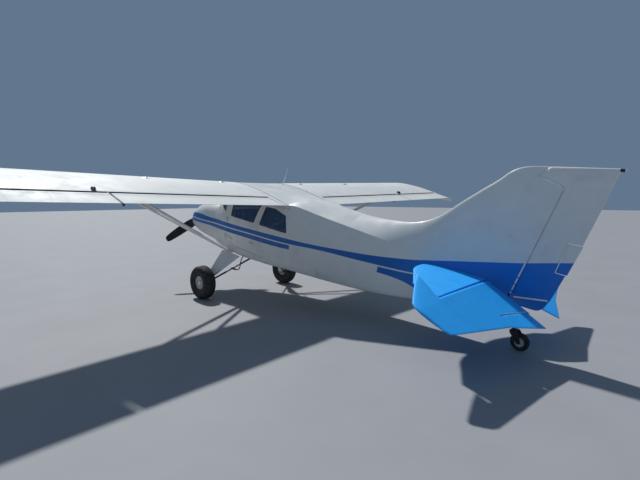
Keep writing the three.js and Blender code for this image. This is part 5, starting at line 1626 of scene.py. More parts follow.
def elevator(side, s):
    nose = [(0.028, 0.104), (0.028, 0.5), (0.028, 0.9), (0.028, 1.205), (0.020, 1.2265), (0.060, 1.2085), (0.395, 1.0485), (0.405, 1.044),
            (0.404, 1.030), (0.396, 1.022)]
    nose = [(0.028, 0.104), (0.028, 1.207), (0.0405, 1.2135), (0.398, 1.0425)]
    lead = [(0.398, 1.0425), (0.388, 1.052), (0.356, 1.10), (0.285, 1.244), (0.135, 1.500), (0.072, 1.600), (0.020, 1.632), (-0.060, 1.640)]
    tip = [(-0.200, 1.640), (-0.284, 1.636), (-0.345, 1.605), (-0.374, 1.500), (-0.426, 1.270)]
    trail = [(-0.446, 1.180), (-0.546, 0.737)]
    root = [(-0.736, 0.240), (-0.52, 0.160), (-0.30, 0.104)]
    tab = s > 0
    outline = nose + lead[1:] + tip + trail
    if tab:
        i, o = np.array(TAB_IN), np.array(TAB_OUT)
        d = (o - i) / np.linalg.norm(o - i)
        outline += [(-0.5505, 0.7175), (-0.405, 0.672), tuple(i - d * 0.008 + np.array([0.010, 0])), (-0.53, 0.166)]
        outline += [(-0.52, 0.160), (-0.30, 0.104)]
    else:
        outline += root
    o = [np.array(p, float) for p in outline]
    keep = [o[0]]
    for p in o[1:]:
        if np.linalg.norm(p - keep[-1]) > 0.004:
            keep.append(p)
    loop_pts = divided(np.array(keep), 0.022)

    def thick(u, v):
        te = elev_te(v)
        aft = 0.0280 + (0.0045 - 0.0280) * np.clip(-u / te, 0, 1)
        # horn: thin at its leading edge
        lead_x = np.interp(v, [1.03, 1.10, 1.246, 1.5, 1.6, 1.64], [0.402, 0.356, 0.284, 0.135, 0.072, -0.06])
        d = np.clip((lead_x - u) / 0.16, 0, 1)
        horn = 0.009 + 0.013 * np.sqrt(np.clip(1 - (1 - d) ** 2, 0, 1))
        t = np.where(u > 0.0285, horn, np.where(v > 1.235, np.minimum(np.maximum(aft * 0.86, 0.0045), horn), aft))
        t = np.where((v > 1.60), np.minimum(t, 0.006 + 0.3 * np.clip(1.66 - v, 0, 1)), t)
        rib = 1 - 0.10 * np.sin(pi * v / 0.205) ** 2 * np.clip(-u / 0.06, 0, 1)
        return t * rib

    sh = Shape().pillow(loop_pts, thick, lambda u, v, w: (u, s * v, w), 0.022, 3)
    sh.make(f"elevator_skin_{side}", M["tail_blue"], "elevators", "painted_fabric", ELEV, (f"elevator_{side}",), angle=40)
    if tab:
        i, o = np.array(TAB_IN), np.array(TAB_OUT)
        t_loop = divided(np.array([tuple(o), (-0.5545, 0.7140), (-0.5665, 0.706), (-0.737, 0.248), (-0.722, 0.236), tuple(i)]), 0.025)
        th = lambda u, v: 0.0028 + 0.0082 * np.clip((elev_te(v) + u) / 0.22, 0, 1)
        Shape().pillow(t_loop, th, lambda u, v, w: (u, v, w), 0.03, 2).make("elevator_tab", M["tail_blue"], "elevators", "painted_fabric", ELEV, angle=40)
        # its hinge, and the pushrod to its horn
        h = Shape()
        a, b = Vector((i[0] + 0.006, i[1] + 0.004, 0.0105)), Vector((o[0] + 0.006, o[1] - 0.004, 0.0125))
        k = 34
        for j in range(k):
            p, q = a.lerp(b, (j + 0.06) / k), a.lerp(b, (j + 0.94) / k)
            h.tube([p, q], 0.0030, 8)
        h.make("elevator_tab_hinge", M["antenna"], "elevators", "bare_metal", ELEV)
        h = Shape()
        h.tube([(-0.10, 0.40, -0.034), (-0.452, 0.40, -0.046)], 0.0042, 8)
        h.box((-0.475, 0.392, -0.050), (-0.440, 0.408, -0.006), 0.002)
        h.box((-0.13, 0.385, -0.040), (-0.08, 0.415, -0.018), 0.003)
        h.make("elevator_tab_rod", M["black"], "elevators", "black_steel", ELEV)


for side, s in SIDES:
    elevator(side, s)

# elevator hinges and the tube that joins both halves
hg, hm = Shape(), Shape()
for s in (1, -1):
    for y in (0.16, 0.62, 1.08):
        hg.box((HINGE_X + 0.0405, s * y - 0.010, STAB_Z - 0.012), (HINGE_X + 0.0300, s * y + 0.010, STAB_Z + 0.012), 0.001)
        hg.tube([(HINGE_X + 0.036, s * (y - 0.018), STAB_Z), (HINGE_X + 0.036, s * (y + 0.018), STAB_Z)], 0.0055, 10)
hg.make("elevator_hinges", M["steel"], "airframe", "bare_metal")
hm.tube([(0, -0.12, 0), (0, 0.12, 0)], 0.0165, 16)
hm.make("elevator_torque_tube", M["tail_blue"], "elevators", "painted_fabric", ELEV)

# -------------------------------------------------------------------- rudder

RUD_TE = Curve((1.44, -4.795), (1.50, -4.812), (1.813, -4.892), (2.118, -4.964), (2.640, -5.066), (2.896, -5.112))
TAB_Z0, TAB_Z1 = 1.797, 2.111


def rudder():
    nose = [(-4.4045, 1.352), (-4.4055, 1.400), (-4.407, 1.440)] + [(hinge_x(z) + 0.022, z) for z in np.linspace(1.475, 2.628, 40)]
    horn = [(-4.648, 2.655), (-4.640, 2.667), (-4.520, 2.703), (-4.425, 2.7285), (-4.413, 2.738), (-4.424, 2.758), (-4.508, 2.832)]
    top = [(-4.580, 2.842), (-4.760, 2.860), (-5.020, 2.886), (-5.108, 2.895)]
    trail = [(float(RUD_TE(z)), z) for z in (2.88, 2.64, 2.40, 2.121)]
    tab = [(-4.838, 2.118), (-4.787, 1.791), (float(RUD_TE(1.789)), 1.789)]
    trail2 = [(float(RUD_TE(z)), z) for z in (1.65, 1.50)]
    bottom = [(-4.797, 1.470), (-4.783, 1.430), (-4.768, 1.400), (-4.751, 1.379), (-4.725, 1.357), (-4.692, 1.346), (-4.650, 1.344), (-4.418, 1.342)]
    outline = nose + horn + top + trail + tab + trail2 + bottom
    lp = divided(np.array(outline), 0.024)

    def thick(u, v):
        hx = hinge_x(v)
        te = RUD_TE(v)
        k = np.clip((hx - u) / (hx - te), 0, 1)
        t = 0.022 + (0.0045 - 0.022) * k
        d = edge_distance(np.stack([u, v], 1), HORN_LOOP)
        horn_t = 0.008 + 0.018 * np.sqrt(np.clip(1 - (1 - np.clip(d / 0.10, 0, 1)) ** 2, 0, 1)) * (1 - 0.6 * k)
        w = np.clip((v - (2.650 + (u + 4.65) * -0.17)) / 0.03, 0, 1)
        w = np.where(u > hx + 0.031, 1.0, w)
        t = t * (1 - w) + np.minimum(horn_t, 0.027) * w
        rib = 1 - 0.09 * np.sin(pi * (v - 1.47) / 0.298) ** 2 * np.clip(k / 0.15, 0, 1)
        low = 0.42 + 0.58 * np.clip((v - 1.345) / 0.12, 0, 1)
        return t * rib * low

    Shape().pillow(lp, thick, lambda u, v, w: (u, w, v), 0.024, 3).make("rudder_skin", M["aft"], "rudder", "painted_fabric", LEVEL, ("rudder",), angle=40)
    tl = divided(np.array([(-4.8415, 2.1135), (float(RUD_TE(2.113)) - 0.011, 2.1135), (float(RUD_TE(1.797)) - 0.011, 1.7955), (-4.7915, 1.7955)]), 0.025)
    th = lambda u, v: 0.0028 + 0.0075 * np.clip((u - (RUD_TE(v) - 0.011)) / 0.12, 0, 1)
    Shape().pillow(tl, th, lambda u, v, w: (u, w, v), 0.025, 2).make("rudder_tab", M["aft"], "rudder", "painted_fabric")
    h = Shape()
    for j in range(22):
        a, b = Vector((-4.8385, 0.0125, 2.108)), Vector((-4.7890, 0.0125, 1.800))
        h.tube([a.lerp(b, (j + 0.06) / 22), a.lerp(b, (j + 0.94) / 22)], 0.0028, 8)
    h.make("rudder_tab_hinge", M["antenna"], "rudder", "bare_metal")


HORN_LOOP = np.array([(-4.648, 2.650), (-4.520, 2.703), (-4.413, 2.735), (-4.508, 2.832), (-4.760, 2.860), (-5.20, 2.905), (-5.5, 2.9), (-5.5, 2.0), (-4.70, 2.0)])
rudder()

bits = Shape()
# light edge strip under the rudder
for s in (1, -1):
    foot = [(x, s * (0.0262 - 0.0205 * (-4.455 - x) / 0.341), 1.4255 + 0.0640 * (-4.455 - x) / 0.341) for x in np.linspace(-4.462, -4.790, 22)]
    strip(bits, foot, 0.018, 0.0024, lambda q, s=s: (0, s, 0))
bits.make("rudder_foot_strip", M["antenna"], "rudder", "painted_fabric")
lamp = Shape()
lamp.tube([(-5.098, 0, 2.8795), (-5.135, 0, 2.8795)], 0.0155, 20)
lamp.make("tail_lamp_base", M["black"], "rudder", "black_steel")
lens = Shape().tube([(-5.134, 0, 2.8795), (-5.150, 0, 2.8795), (-5.158, 0, 2.8795), (-5.162, 0, 2.8795)], [0.0140, 0.0140, 0.0105, 0.003], 20)
lens.make("tail_lamp_lens", M["clear_lens"], "rudder", "painted_fabric")

# rudder hinge: white strips on the lower part and dashes above, painted light for sunlight showing through the hinge
# gap
def skin_half(x, z):
    """Half width of the rear skin at x and height z."""
    q = tail_section(x)
    order = np.argsort(q[:, 1])
    return float(np.interp(z, q[order, 1], q[order, 0]))


# the white strips and dashes along the hinge gap are painted light
strips, pins = Shape(), Shape()
for s in (1, -1):
    def on_fin(z, dx):
        x = hinge_x(z) + dx
        return (x, s * (skin_half(max(x, -4.78), z) - 0.0004), z)
    for z0, z1 in [(1.456, 1.475), (1.492, 1.560), (1.572, 1.640), (1.652, 1.965)]:
        p = [on_fin(z, 0.0150) for z in np.linspace(z0, z1, 8)]
        strip(strips, p, 0.018, 0.0022, lambda q, s=s: (0, s, 0))
    for z0 in np.arange(1.99, 2.60, 0.036):
        p = [on_fin(z, 0.0130) for z in np.linspace(z0, z0 + 0.017, 4)]
        strip(strips, p, 0.009, 0.0016, lambda q, s=s: (0, s, 0))
for z in (1.50, 1.82, 2.16, 2.50):
    x = hinge_x(z)
    pins.box((x + 0.0445, -0.008, z - 0.014), (x + 0.0315, 0.008, z + 0.014), 0.001)
    d = Vector((HEAD[0] - FOOT[0], 0, HEAD[1] - FOOT[1])).normalized()
    pins.tube([Vector((x + 0.038, 0, z)) - d * 0.022, Vector((x + 0.038, 0, z)) + d * 0.022], 0.0055, 10)
strips.make("rudder_gap_painted_light", M["antenna"], "airframe", "painted_fabric")
pins.make("rudder_hinges", M["steel"], "airframe", "bare_metal")

# ------------------------------------------------------------ undercarriage

def closed_smooth(ring, rounds=2):
    p = [Vector(q) for q in ring]
    for _ in range(rounds):
        q = []
        for i in range(len(p)):
            a, b = p[i], p[(i + 1) % len(p)]
            q += [a.lerp(b, 0.25), a.lerp(b, 0.75)]
        p = q
    return p


LEG_TOP = [(0.046, 0.571, 0.797), (0.030, 0.556, 0.797), (-0.150, 0.528, 0.790), (-0.330, 0.506, 0.782), (-0.352, 0.512, 0.782), (-0.150, 0.552, 0.790), (0.026, 0.588, 0.797)]
LEG_LOW = [(0.100, 0.838, 0.318), (0.088, 0.822, 0.318), (0.030, 0.822, 0.318), (-0.008, 0.830, 0.318), (-0.014, 0.836, 0.318), (0.030, 0.846, 0.318), (0.084, 0.850, 0.318)]
AXLE_X, AXLE_Z = 0.0501, 0.2704

TYRE = [(0.1085, -0.0679), (0.1105, -0.0718), (0.1220, -0.0776), (0.1500, -0.0902), (0.1800, -0.0984), (0.2050, -0.1007), (0.2280, -0.0966), 
        (0.2470, -0.0865), (0.2580, -0.0773), (0.2660, -0.0662), (0.2705, -0.0552)]


def tyre_profile():
    side = TYRE
    tread = []
    # ribs and grooves across the tread
    w, grooves = 0.049, [-0.037, -0.0125, 0.0125, 0.037]
    for g in grooves:
        top = lambda h: 0.275 - 0.0022 * (h / w) ** 2
        tread += [(top(g), g - 0.0048), (top(g) - 0.0055, g - 0.0036), (top(g) - 0.0062, g), (top(g) - 0.0055, g + 0.0036), (top(g), g + 0.0048)]
        if g != grooves[-1]:
            tread.append((top(g + 0.0124), g + 0.0124))
    tread = [(0.2728, -w)] + tread + [(0.2728, w)]
    return side + tread + [(r, -h) for r, h in side[::-1]] + [(0.1085, 0.0)]


def wheel_frame(s):
    return GROUND @ Matrix.Translation((0, s * 0.915, 0.275)) @ Matrix.Rotation(-s * pi / 2, 4, "X")


def rubber(name):
    m = Mat(name)
    radial = m.math("SQRT", m.add(m.mul(m.x, m.x), m.mul(m.y, m.y)))
    tread = m.step(radial, 0.262, 0.272)
    c = m.mix(tread, (0.018, 0.019, 0.021), (0.032, 0.032, 0.033))
    dust = m.mul(m.step(m.noise(14.0, 5.0, 0.65), 0.38, 0.75), 0.42)
    c = m.mix(dust, c, (0.115, 0.105, 0.092))
    c = m.shade(c, m.step(m.noise(60.0, 3.0), 0.3, 0.7, 0.86, 1.14))
    m.set("Base Color", c)
    m.set("Roughness", m.step(m.noise(20.0, 4.0), 0.3, 0.7, 0.68, 0.90))
    rings = m.line(radial, 0.016, 0.0011, 0.0014)
    m.bump(rings, 0.0014, 0.45)
    m.bump(m.noise(210.0, 3.0), 0.0005, 0.4)
    return m.m


M["tyre"] = rubber("tyre_rubber")
M["hub"] = plain("wheel_paint", (0.62, 0.62, 0.60), 0.38, 0.0, scale=40.0, wear=((0.30, 0.30, 0.30), 0.4), dirt=0.45)
M["disc"] = plain("brake_disc", (0.33, 0.31, 0.29), 0.40, 0.9, scale=70.0, wear=((0.22, 0.12, 0.06), 0.5))

for side, s in SIDES:
    ring0 = closed_smooth([(x, s * y, z) for x, y, z in LEG_TOP])
    ring1 = closed_smooth([(x, s * y, z) for x, y, z in LEG_LOW])
    lg = Shape()
    rings = []
    for t in [0.0, 0.004, *np.linspace(0.03, 0.97, 22), 0.996, 1.0]:
        c = sum((a.lerp(b, t) for a, b in zip(ring0, ring1)), Vector()) / len(ring0)
        k = 0.90 if t in (0.0, 1.0) else 1.0
        # the end rings are drawn in a little
        r = [a.lerp(b, t) for a, b in zip(ring0, ring1)]
        rings.append([c + (q - c) * k for q in r])
    lg.loft(rings)
    # front tube under the skin, the plate at the foot, the axle and its bolts
    A0, A1 = Vector((0.036, s * 0.572, 0.797)), Vector((0.090, s * 0.836, 0.318))
    lg.tube([A0.lerp(A1, 0.01), A0.lerp(A1, 0.5), A0.lerp(A1, 0.99)], 0.0135, 14)
    lg.box((0.014, s * 0.812, 0.236), (0.092, s * 0.832, 0.330), 0.004)
    lg.tube([(AXLE_X, s * 0.830, AXLE_Z), (AXLE_X, s * 0.986, AXLE_Z)], 0.019, 20)
    for x, z in ((0.026, 0.312), (0.080, 0.312), (0.026, 0.250), (0.080, 0.250)):
        lg.bolt((x, s * 0.8125, z), (0, -s, 0), 0.006, 0.005)
    lg.make(f"leg_fairing_{side}", M["gear"], "airframe", "painted_gear", LEVEL, (f"gear_leg_{side}",), angle=38)

    # shock strut from the leg's foot up to the belly
    nut = Shape()
    q = GROUND @ Vector((0, 0, 0))
    shock = Shape()
    a, b = Vector((-0.004, s * 0.805, 0.300)), Vector((-0.284, s * 0.086, 0.758))
    d = (b - a).normalized()
    l = (b - a).length
    shock.tube([a + d * t for t in (0.0, 0.006, 0.030, 0.034, 0.30, 0.304, l * 0.62, l * 0.62 + 0.004, l * 0.97, l * 0.97 + 0.004, l)],
               [0.010, 0.0105, 0.0105, 0.0145, 0.0145, 0.0118, 0.0118, 0.0138, 0.0138, 0.010, 0.010], 18)
    shock.make(f"shock_strut_tube_{side}", M["black"], "airframe", "black_steel", LEVEL, (f"shock_strut_{side}",))
    sp = Shape()
    for t in (0.0, l):
        q = a + d * t
        sp.tube([q - Vector((0.016, 0, 0)), q + Vector((0.016, 0, 0))], 0.009, 14)
    sp.tube([a + d * 0.306, a + d * (l * 0.62)], 0.0126, 18)
    sp.make(f"shock_strut_ends_{side}", M["steel"], "airframe", "bare_metal", LEVEL)

    # wheel: tyre, painted rim with its hub disc, brake
    W = wheel_frame(s)
    Shape().ring(tyre_profile(), None, 96).make(f"main_tyre_{side}", M["tyre"], f"main_wheel_{side}", "tyre_rubber", W, (f"tyre_{side}",), angle=28)
    rim = Shape()
    rim.lathe([(0.0235, -0.060), (0.050, -0.060), (0.056, -0.040), (0.088, -0.036), (0.095, -0.060), (0.1055, -0.066), (0.1075, -0.066), (0.1075, 0.066), (0.1055, 0.0675),
               (0.102, 0.0660), (0.0985, 0.0605), (0.0955, 0.044), (0.090, 0.036), (0.064, 0.030), (0.056, 0.034), (0.052, 0.046), (0.046, 0.058), (0.0235, 0.0605), (0.0235, -0.060)], None, 72)
    rim.make(f"wheel_rim_{side}", M["hub"], f"main_wheel_{side}", "wheel_alloy", W, (f"wheel_{side}",), angle=32)
    cap = Shape().lathe([(0.0225, 0.0600), (0.0405, 0.0612), (0.0405, 0.0660), (0.036, 0.0700), (0.024, 0.0730), (0.012, 0.0740), (0, 0.0745)], None, 40)
    for k in range(6):
        t = k * pi / 3
        cap.bolt((0.076 * math.cos(t), 0.076 * math.sin(t), 0.0330), (0, 0, 1), 0.0055, 0.006)
    for k in range(3):
        t = k * 2 * pi / 3 + 0.3
        cap.screw((0.031 * math.cos(t), 0.031 * math.sin(t), 0.0718), (0, 0, 1), 0.0032, 0.0015)
    # tyre valve
    cap.tube([(0.083, 0.012, 0.036), (0.088, 0.012, 0.052), (0.092, 0.012, 0.062)], 0.0032, 8)
    cap.make(f"wheel_hardware_{side}", M["alloy"], f"main_wheel_{side}", "bare_metal", W)
    disc = Shape().lathe([(0.058, -0.0405), (0.092, -0.0405), (0.094, -0.0425), (0.094, -0.0465), (0.092, -0.0485), (0.058, -0.0485), (0.058, -0.0405)], None, 64)
    disc.make(f"brake_disc_{side}", M["disc"], f"main_wheel_{side}", "bare_metal", W)
    cal = Shape()
    m = GROUND.inverted() @ Matrix.Identity(4)
    # caliper and its bracket sit behind the axle, fixed to the leg's foot
    cal.box((-0.018, s * 0.8585, 0.185), (-0.062, s * 0.8760, 0.245), 0.006)
    cal.box((0.014, s * 0.836, 0.222), (-0.058, s * 0.844, 0.262), 0.003)
    cal.tube([(-0.044, s * 0.840, 0.238), (-0.044, s * 0.862, 0.238)], 0.006, 10)
    cal.tube([(-0.040, s * 0.866, 0.243), (-0.050, s * 0.858, 0.300), (-0.075, s * 0.842, 0.350), (-0.090, s * 0.815, 0.400), (-0.145, s * 0.735, 0.520)], 0.0040, 8)
    cal.make(f"brake_caliper_{side}", M["black"], "airframe", "black_steel", LEVEL)

    # entry step: a bent rod with a foot pad
    step = Shape()
    step.tube(smooth_path([(-0.448, s * 0.515, 0.830), (-0.449, s * 0.560, 0.760), (-0.448, s * 0.572, 0.650), (-0.420, s * 0.574, 0.590), (-0.350, s * 0.576, 0.566), (-0.250, s * 0.576, 0.552)], 26), 0.0080, 10)
    step.box((-0.350, s * 0.548, 0.562), (-0.240, s * 0.606, 0.570), 0.003)
    step.make(f"entry_step_{side}", M["black"], "airframe", "black_steel", LEVEL)

# ------------------------------------------------------ tail spring and wheel
leaves = Shape()
for k, (x1, dz) in enumerate([(-4.558, 0.0), (-4.430, -0.0135), (-4.330, -0.0265)]):
    pts = [(-4.040, 1.193), (-4.120, 1.192), (-4.200, 1.187), (-4.290, 1.178), (-4.380, 1.1665), (-4.470, 1.147), (-4.558, 1.119)]
    pts = [p for p in pts if p[0] >= x1 - 0.02]
    rings = []
    for x, z in pts:
        w = float(Curve((-4.56, 0.031), (-4.38, 0.034), (-4.20, 0.038), (-4.04, 0.042))(x))
        z += dz
        if k == 0:
            z += 0.0
        rings.append([(x, y, z + h) for y, h in ((-w, -0.0045), (-w + 0.002, -0.006), (w - 0.002, -0.006), (w, -0.0045), (w, 0.0045), (w - 0.002, 0.006), (-w + 0.002, 0.006), (-w, 0.0045))])
    leaves.loft(rings)
for x in (-4.10, -4.30):
    z = float(Curve((-4.38, 1.1665), (-4.29, 1.178), (-4.12, 1.192))(x)) - 0.010
    leaves.box((x - 0.012, -0.046, z - 0.030), (x + 0.012, 0.046, z - 0.022), 0.002)
    leaves.box((x - 0.012, -0.046, z + 0.017), (x + 0.012, 0.046, z + 0.024), 0.002)
    for y in (-0.0435, 0.0435):
        leaves.tube([(x, y, z - 0.036), (x, y, z + 0.030)], 0.0045, 8)
leaves.make("tail_spring_leaves", M["black"], "airframe", "black_steel", LEVEL, ("tail_spring",))
# bracket from the body's end to the spring
br = Shape()
br.tube([(-4.345, 0.0, 1.355), (-4.375, 0.0, 1.270), (-4.398, 0.0, 1.178)], 0.0125, 12)
br.box((-4.425, -0.030, 1.1625), (-4.370, 0.030, 1.1745), 0.003)
br.box((-4.085, -0.026, 1.200), (-4.045, 0.026, 1.235), 0.004)
br.make("tail_spring_bracket", M["black"], "airframe", "black_steel", LEVEL)

FORK = GROUND @ Matrix.Translation((-4.660, 0, 0.100))
DX = -0.064
fork = Shape()
for w in (-1, 1):
    o = rounded([(DX - 0.020, -0.016), (DX + 0.018, -0.020), (0.034, 0.098), (0.034, 0.126), (-0.036, 0.126), (-0.060, 0.104)], 0.012, 4)
    fork.loft([[(x, w * 0.041, z) for x, z in o], [(x, w * 0.047, z) for x, z in o]])
fork.box((-0.036, -0.047, 0.116), (0.034, 0.047, 0.128), 0.003)
fork.tube([(0, 0, 0.127), (0, 0, 0.149)], 0.0175, 24)
fork.tube([(0, 0, 0.1275), (0, 0, 0.134)], 0.024, 24)
fork.tube([(DX, -0.052, 0), (DX, 0.052, 0)], 0.0078, 14)
for w in (-1, 1):
    fork.bolt((DX, w * 0.0475, 0), (0, w, 0), 0.0085, 0.006)
# steering arms
fork.box((-0.012, -0.078, 0.1292), (0.012, 0.078, 0.1342), 0.002)
fork.make("tail_fork_frame", M["black"], "tail_fork", "black_steel", FORK, ("tail_fork",), bevel=0.0008)
springs = Shape()
for s in (1, -1):
    a, b = Vector((-4.628, s * 0.074, 0.236)), Vector((-4.435, s * 0.052, 0.336))
    a = Vector((-4.625, s * 0.058, 0.2395))
    n = 150
    d = (b - a).normalized()
    u = d.cross(Vector((0, 0, 1))).normalized()
    w = d.cross(u)
    pts = [a] + [a + d * (0.03 + 0.12 * k / n) + (u * math.cos(k * 2 * pi / 10) + w * math.sin(k * 2 * pi / 10)) * 0.0065 for k in range(n)] + [b]
    springs.tube(pts, 0.0013, 5)
springs.make("steering_springs", M["steel"], "airframe", "bare_metal", GROUND)
TW = FORK @ Matrix.Translation((DX, 0, 0)) @ Matrix.Rotation(-pi / 2, 4, "X")
prof = [(0.052, -0.0285), (0.066, -0.0295), (0.080, -0.0288), (0.090, -0.0250), (0.0965, -0.0185), (0.0993, -0.010), (0.0998, -0.0065), (0.0975, -0.0045), (0.0975, 0.0045),
        (0.0998, 0.0065), (0.0993, 0.010), (0.0965, 0.0185), (0.090, 0.0250), (0.080, 0.0288), (0.066, 0.0295), (0.052, 0.0285)]
Shape().ring(prof, None, 64).make("tail_tyre", M["tyre"], "tail_wheel", "tyre_rubber", TW, ("tail_wheel",), angle=30)
th = Shape().lathe([(0.0115, -0.031), (0.020, -0.031), (0.024, -0.022), (0.044, -0.018), (0.0525, -0.027), (0.0525, 0.027), (0.044, 0.018), (0.024, 0.022), (0.020, 0.031), (0.0115, 0.031), (0.0115, -0.031)], None, 40)
th.make("tail_wheel_hub", M["hub"], "tail_wheel", "wheel_alloy", TW, angle=32)

# ---------------------------------------------------------------- propeller
PROP = LEVEL @ Matrix.Translation((1.500, 0, 1.085))
REST = math.radians(-30)
b_chord = Curve((0.055, 0.090), (0.12, 0.106), (0.20, 0.138), (0.30, 0.154), (0.42, 0.162), (0.55, 0.159), (0.68, 0.150), (0.80, 0.135), (0.86, 0.122), (0.90, 0.102), (0.918, 0.078), (0.928, 0.040))
b_thick = Curve((0.055, 0.052), (0.20, 0.034), (0.42, 0.022), (0.68, 0.015), (0.86, 0.010), (0.928, 0.006))
b_pitch = Curve((0.055, 62.0), (0.20, 44.0), (0.42, 29.0), (0.68, 21.0), (0.86, 17.0), (0.928, 16.0))
b_off = Curve((0.055, 0.0), (0.20, 0.004), (0.42, 0.008), (0.68, 0.006), (0.86, 0.002), (0.928, 0.0))
blades = Shape()
sect = [(c, w) for c, w in STREAMLINE]
for spin in (REST, REST + pi):
    rot = Matrix.Rotation(spin, 4, "X")
    rings = []
    for r in [*np.linspace(0.055, 0.86, 30), 0.875, 0.89, 0.902, 0.912, 0.919, 0.924, 0.928]:
        ch, tk, pt, of = float(b_chord(r)), float(b_thick(r)), math.radians(float(b_pitch(r))), float(b_off(r))
        k = min(1.0, max(0.0, (r - 0.06) / 0.10))
        ring = []
        up = [((0.5 - c) * ch + of, (w * 1.05 * k + (1 - k) * 0.5 * math.sqrt(max(0, 1 - (2 * c - 1) ** 2))) * tk) for c, w in sect]
        lo = [((0.5 - c) * ch + of, -(w * 0.50 * k + (1 - k) * 0.5 * math.sqrt(max(0, 1 - (2 * c - 1) ** 2))) * tk) for c, w in sect[1:-1]]
        for u, w in up + lo[::-1]:
            ring.append(rot @ Vector((u * math.sin(pt) + w * math.cos(pt), r, u * math.cos(pt) - w * math.sin(pt))))
        rings.append(ring)
    blades.loft(rings)
blades.lathe([(0, -0.049), (0.070, -0.049), (0.0735, -0.045), (0.0735, 0.040), (0.070, 0.0435), (0, 0.0435)], Matrix.Rotation(pi / 2, 4, "Y"), 40)
blades.make("propeller_blades", M["prop"], "propeller", "propeller_paint", PROP, ("propeller",), angle=32)

cone = Shape()
prof = Curve((0.0, 0.1455), (0.024, 0.1498), (0.06, 0.1465), (0.100, 0.1370), (0.162, 0.1165), (0.230, 0.0800), (0.274, 0.0445), (0.296, 0.0240), (0.308, 0.0120), (0.3135, 0.0))
xs = [*np.linspace(0, 0.27, 26), 0.28, 0.29, 0.30, 0.307, 0.311]
outer = [(float(prof(x)), x - 0.044) for x in xs] + [(0.0, 0.2695)]
inner = [(0.0, 0.262)] + [(max(0.002, float(prof(x)) - 0.003), x - 0.044) for x in xs[::-1] if x < 0.30]
profile = [(0.0, -0.044)] if False else []
cone.lathe([(0.080, -0.0440)] + outer, Matrix.Rotation(pi / 2, 4, "Y"), 64)
# close the back with a plate that leaves the hub free
back = [(0.080, -0.0440), (0.080, -0.0405), (0.1420, -0.0405)]
body = Shape()
full = [(0.080, -0.044)] + outer[:-1] + [(0.0, 0.2695), (0.0, 0.266)] + [(r, h) for r, h in inner[1:-1]] + [(0.142, -0.0395), (0.080, -0.0395), (0.080, -0.044)]
body.lathe(full, Matrix.Rotation(pi / 2, 4, "Y"), 64)
sp_ob = body.make("spinner_shell", M["spinner"], "propeller", "spinner_shell", PROP, ("spinner",), angle=35)
cuts = Shape()
for a in (0, pi):
    o = rounded([(-0.060, -0.052), (0.050, -0.052), (0.060, -0.02), (0.060, 0.052), (-0.060, 0.052)], 0.016, 4)
    r = Matrix.Rotation(REST + a, 4, "X")
    cuts.loft([[r @ Vector((x, 0.086, z)) for x, z in o], [r @ Vector((x, 0.20, z)) for x, z in o]])
cut_by(sp_ob, cutter(cuts, PROP))
sc = Shape()
for k in range(10):
    t = REST + pi / 2 + (k - 4.5) * 0.24 + (0 if k < 5 else 0)
    for a in (0, pi):
        q = Vector((-0.032, 0.1478 * math.cos(t + a), 0.1478 * math.sin(t + a)))
        if k < 10:
            sc.screw(q, (0, math.cos(t + a), math.sin(t + a)), 0.0038, 0.0014)
sc.make("spinner_screws", M["steel"], "propeller", "bare_metal", PROP)

# --------------------------------------------------------- engine and firewall
eng = Shape()
eng.box((0.600, -0.20, 0.950), (1.20, 0.20, 1.170), 0.02, 3)
for s in (1, -1):
    for x in (0.72, 0.90, 1.08):
        for k in range(9):
            y = s * (0.205 + k * 0.0145)
            eng.box((x - 0.066, y, 0.975), (x + 0.066, y + s * 0.004, 1.150), 0.003, 1)
        eng.box((x - 0.045, s * 0.18, 1.00), (x + 0.045, s * 0.325, 1.13), 0.01)
eng.tube([(1.15, 0, 1.085), (1.24, 0, 1.085), (1.26, 0, 1.085), (1.438, 0, 1.085)], [0.085, 0.085, 0.047, 0.047], 28)
eng.make("engine_block_cast", M["grey"], "airframe", "engine_metal", LEVEL, ("engine_block",))
ring = resample(np.vstack([half_section(0.462, 0.048), half_section(0.462, 0.048)[::-1] * np.array([-1, 1])]), 60)
Shape().loft([[(0.4655, y, z) for y, z in ring], [(0.4475, y, z) for y, z in ring]]).make("firewall_sheet", M["steel"], "airframe", "bare_metal", LEVEL, ("firewall",))
ex = Shape()
p0, p1 = Vector((0.560, -0.060, 0.870)), Vector((0.470, -0.060, 0.742))
d = (p1 - p0).normalized()
rings = []
u = Vector((0, 1, 0))
w = d.cross(u)
circ = lambda c, r: [c + (u * math.cos(2 * pi * k / 28) + w * math.sin(2 * pi * k / 28)) * r for k in range(28)]
prof = [circ(p0, 0.033), circ(p1 - d * 0.002, 0.0335), circ(p1, 0.0325), circ(p1, 0.0305), circ(p1 - d * 0.002, 0.0295), circ(p0 + d * 0.05, 0.0290)]
ex.loft(prof)
ex.make("exhaust_pipe", M["exhaust"], "airframe", "exhaust_steel", LEVEL, ("exhaust_stack",))

# --------------------------------------------------------------- antenna etc.
an = Shape()
an.tube([(-0.200, -0.380, 1.9215), (-0.2015, -0.380, 1.928), (-0.204, -0.380, 1.938)], [0.016, 0.013, 0.0085], 16)
an.tube(smooth_path([(-0.203, -0.380, 1.934), (-0.230, -0.380, 2.020), (-0.262, -0.380, 2.136), (-0.292, -0.380, 2.2495)], 24), list(np.linspace(0.0078, 0.0036, 24)), 12)
an.make("whip_aerial", M["antenna"], "airframe", "antenna_plastic", LEVEL, ("whip_antenna",))
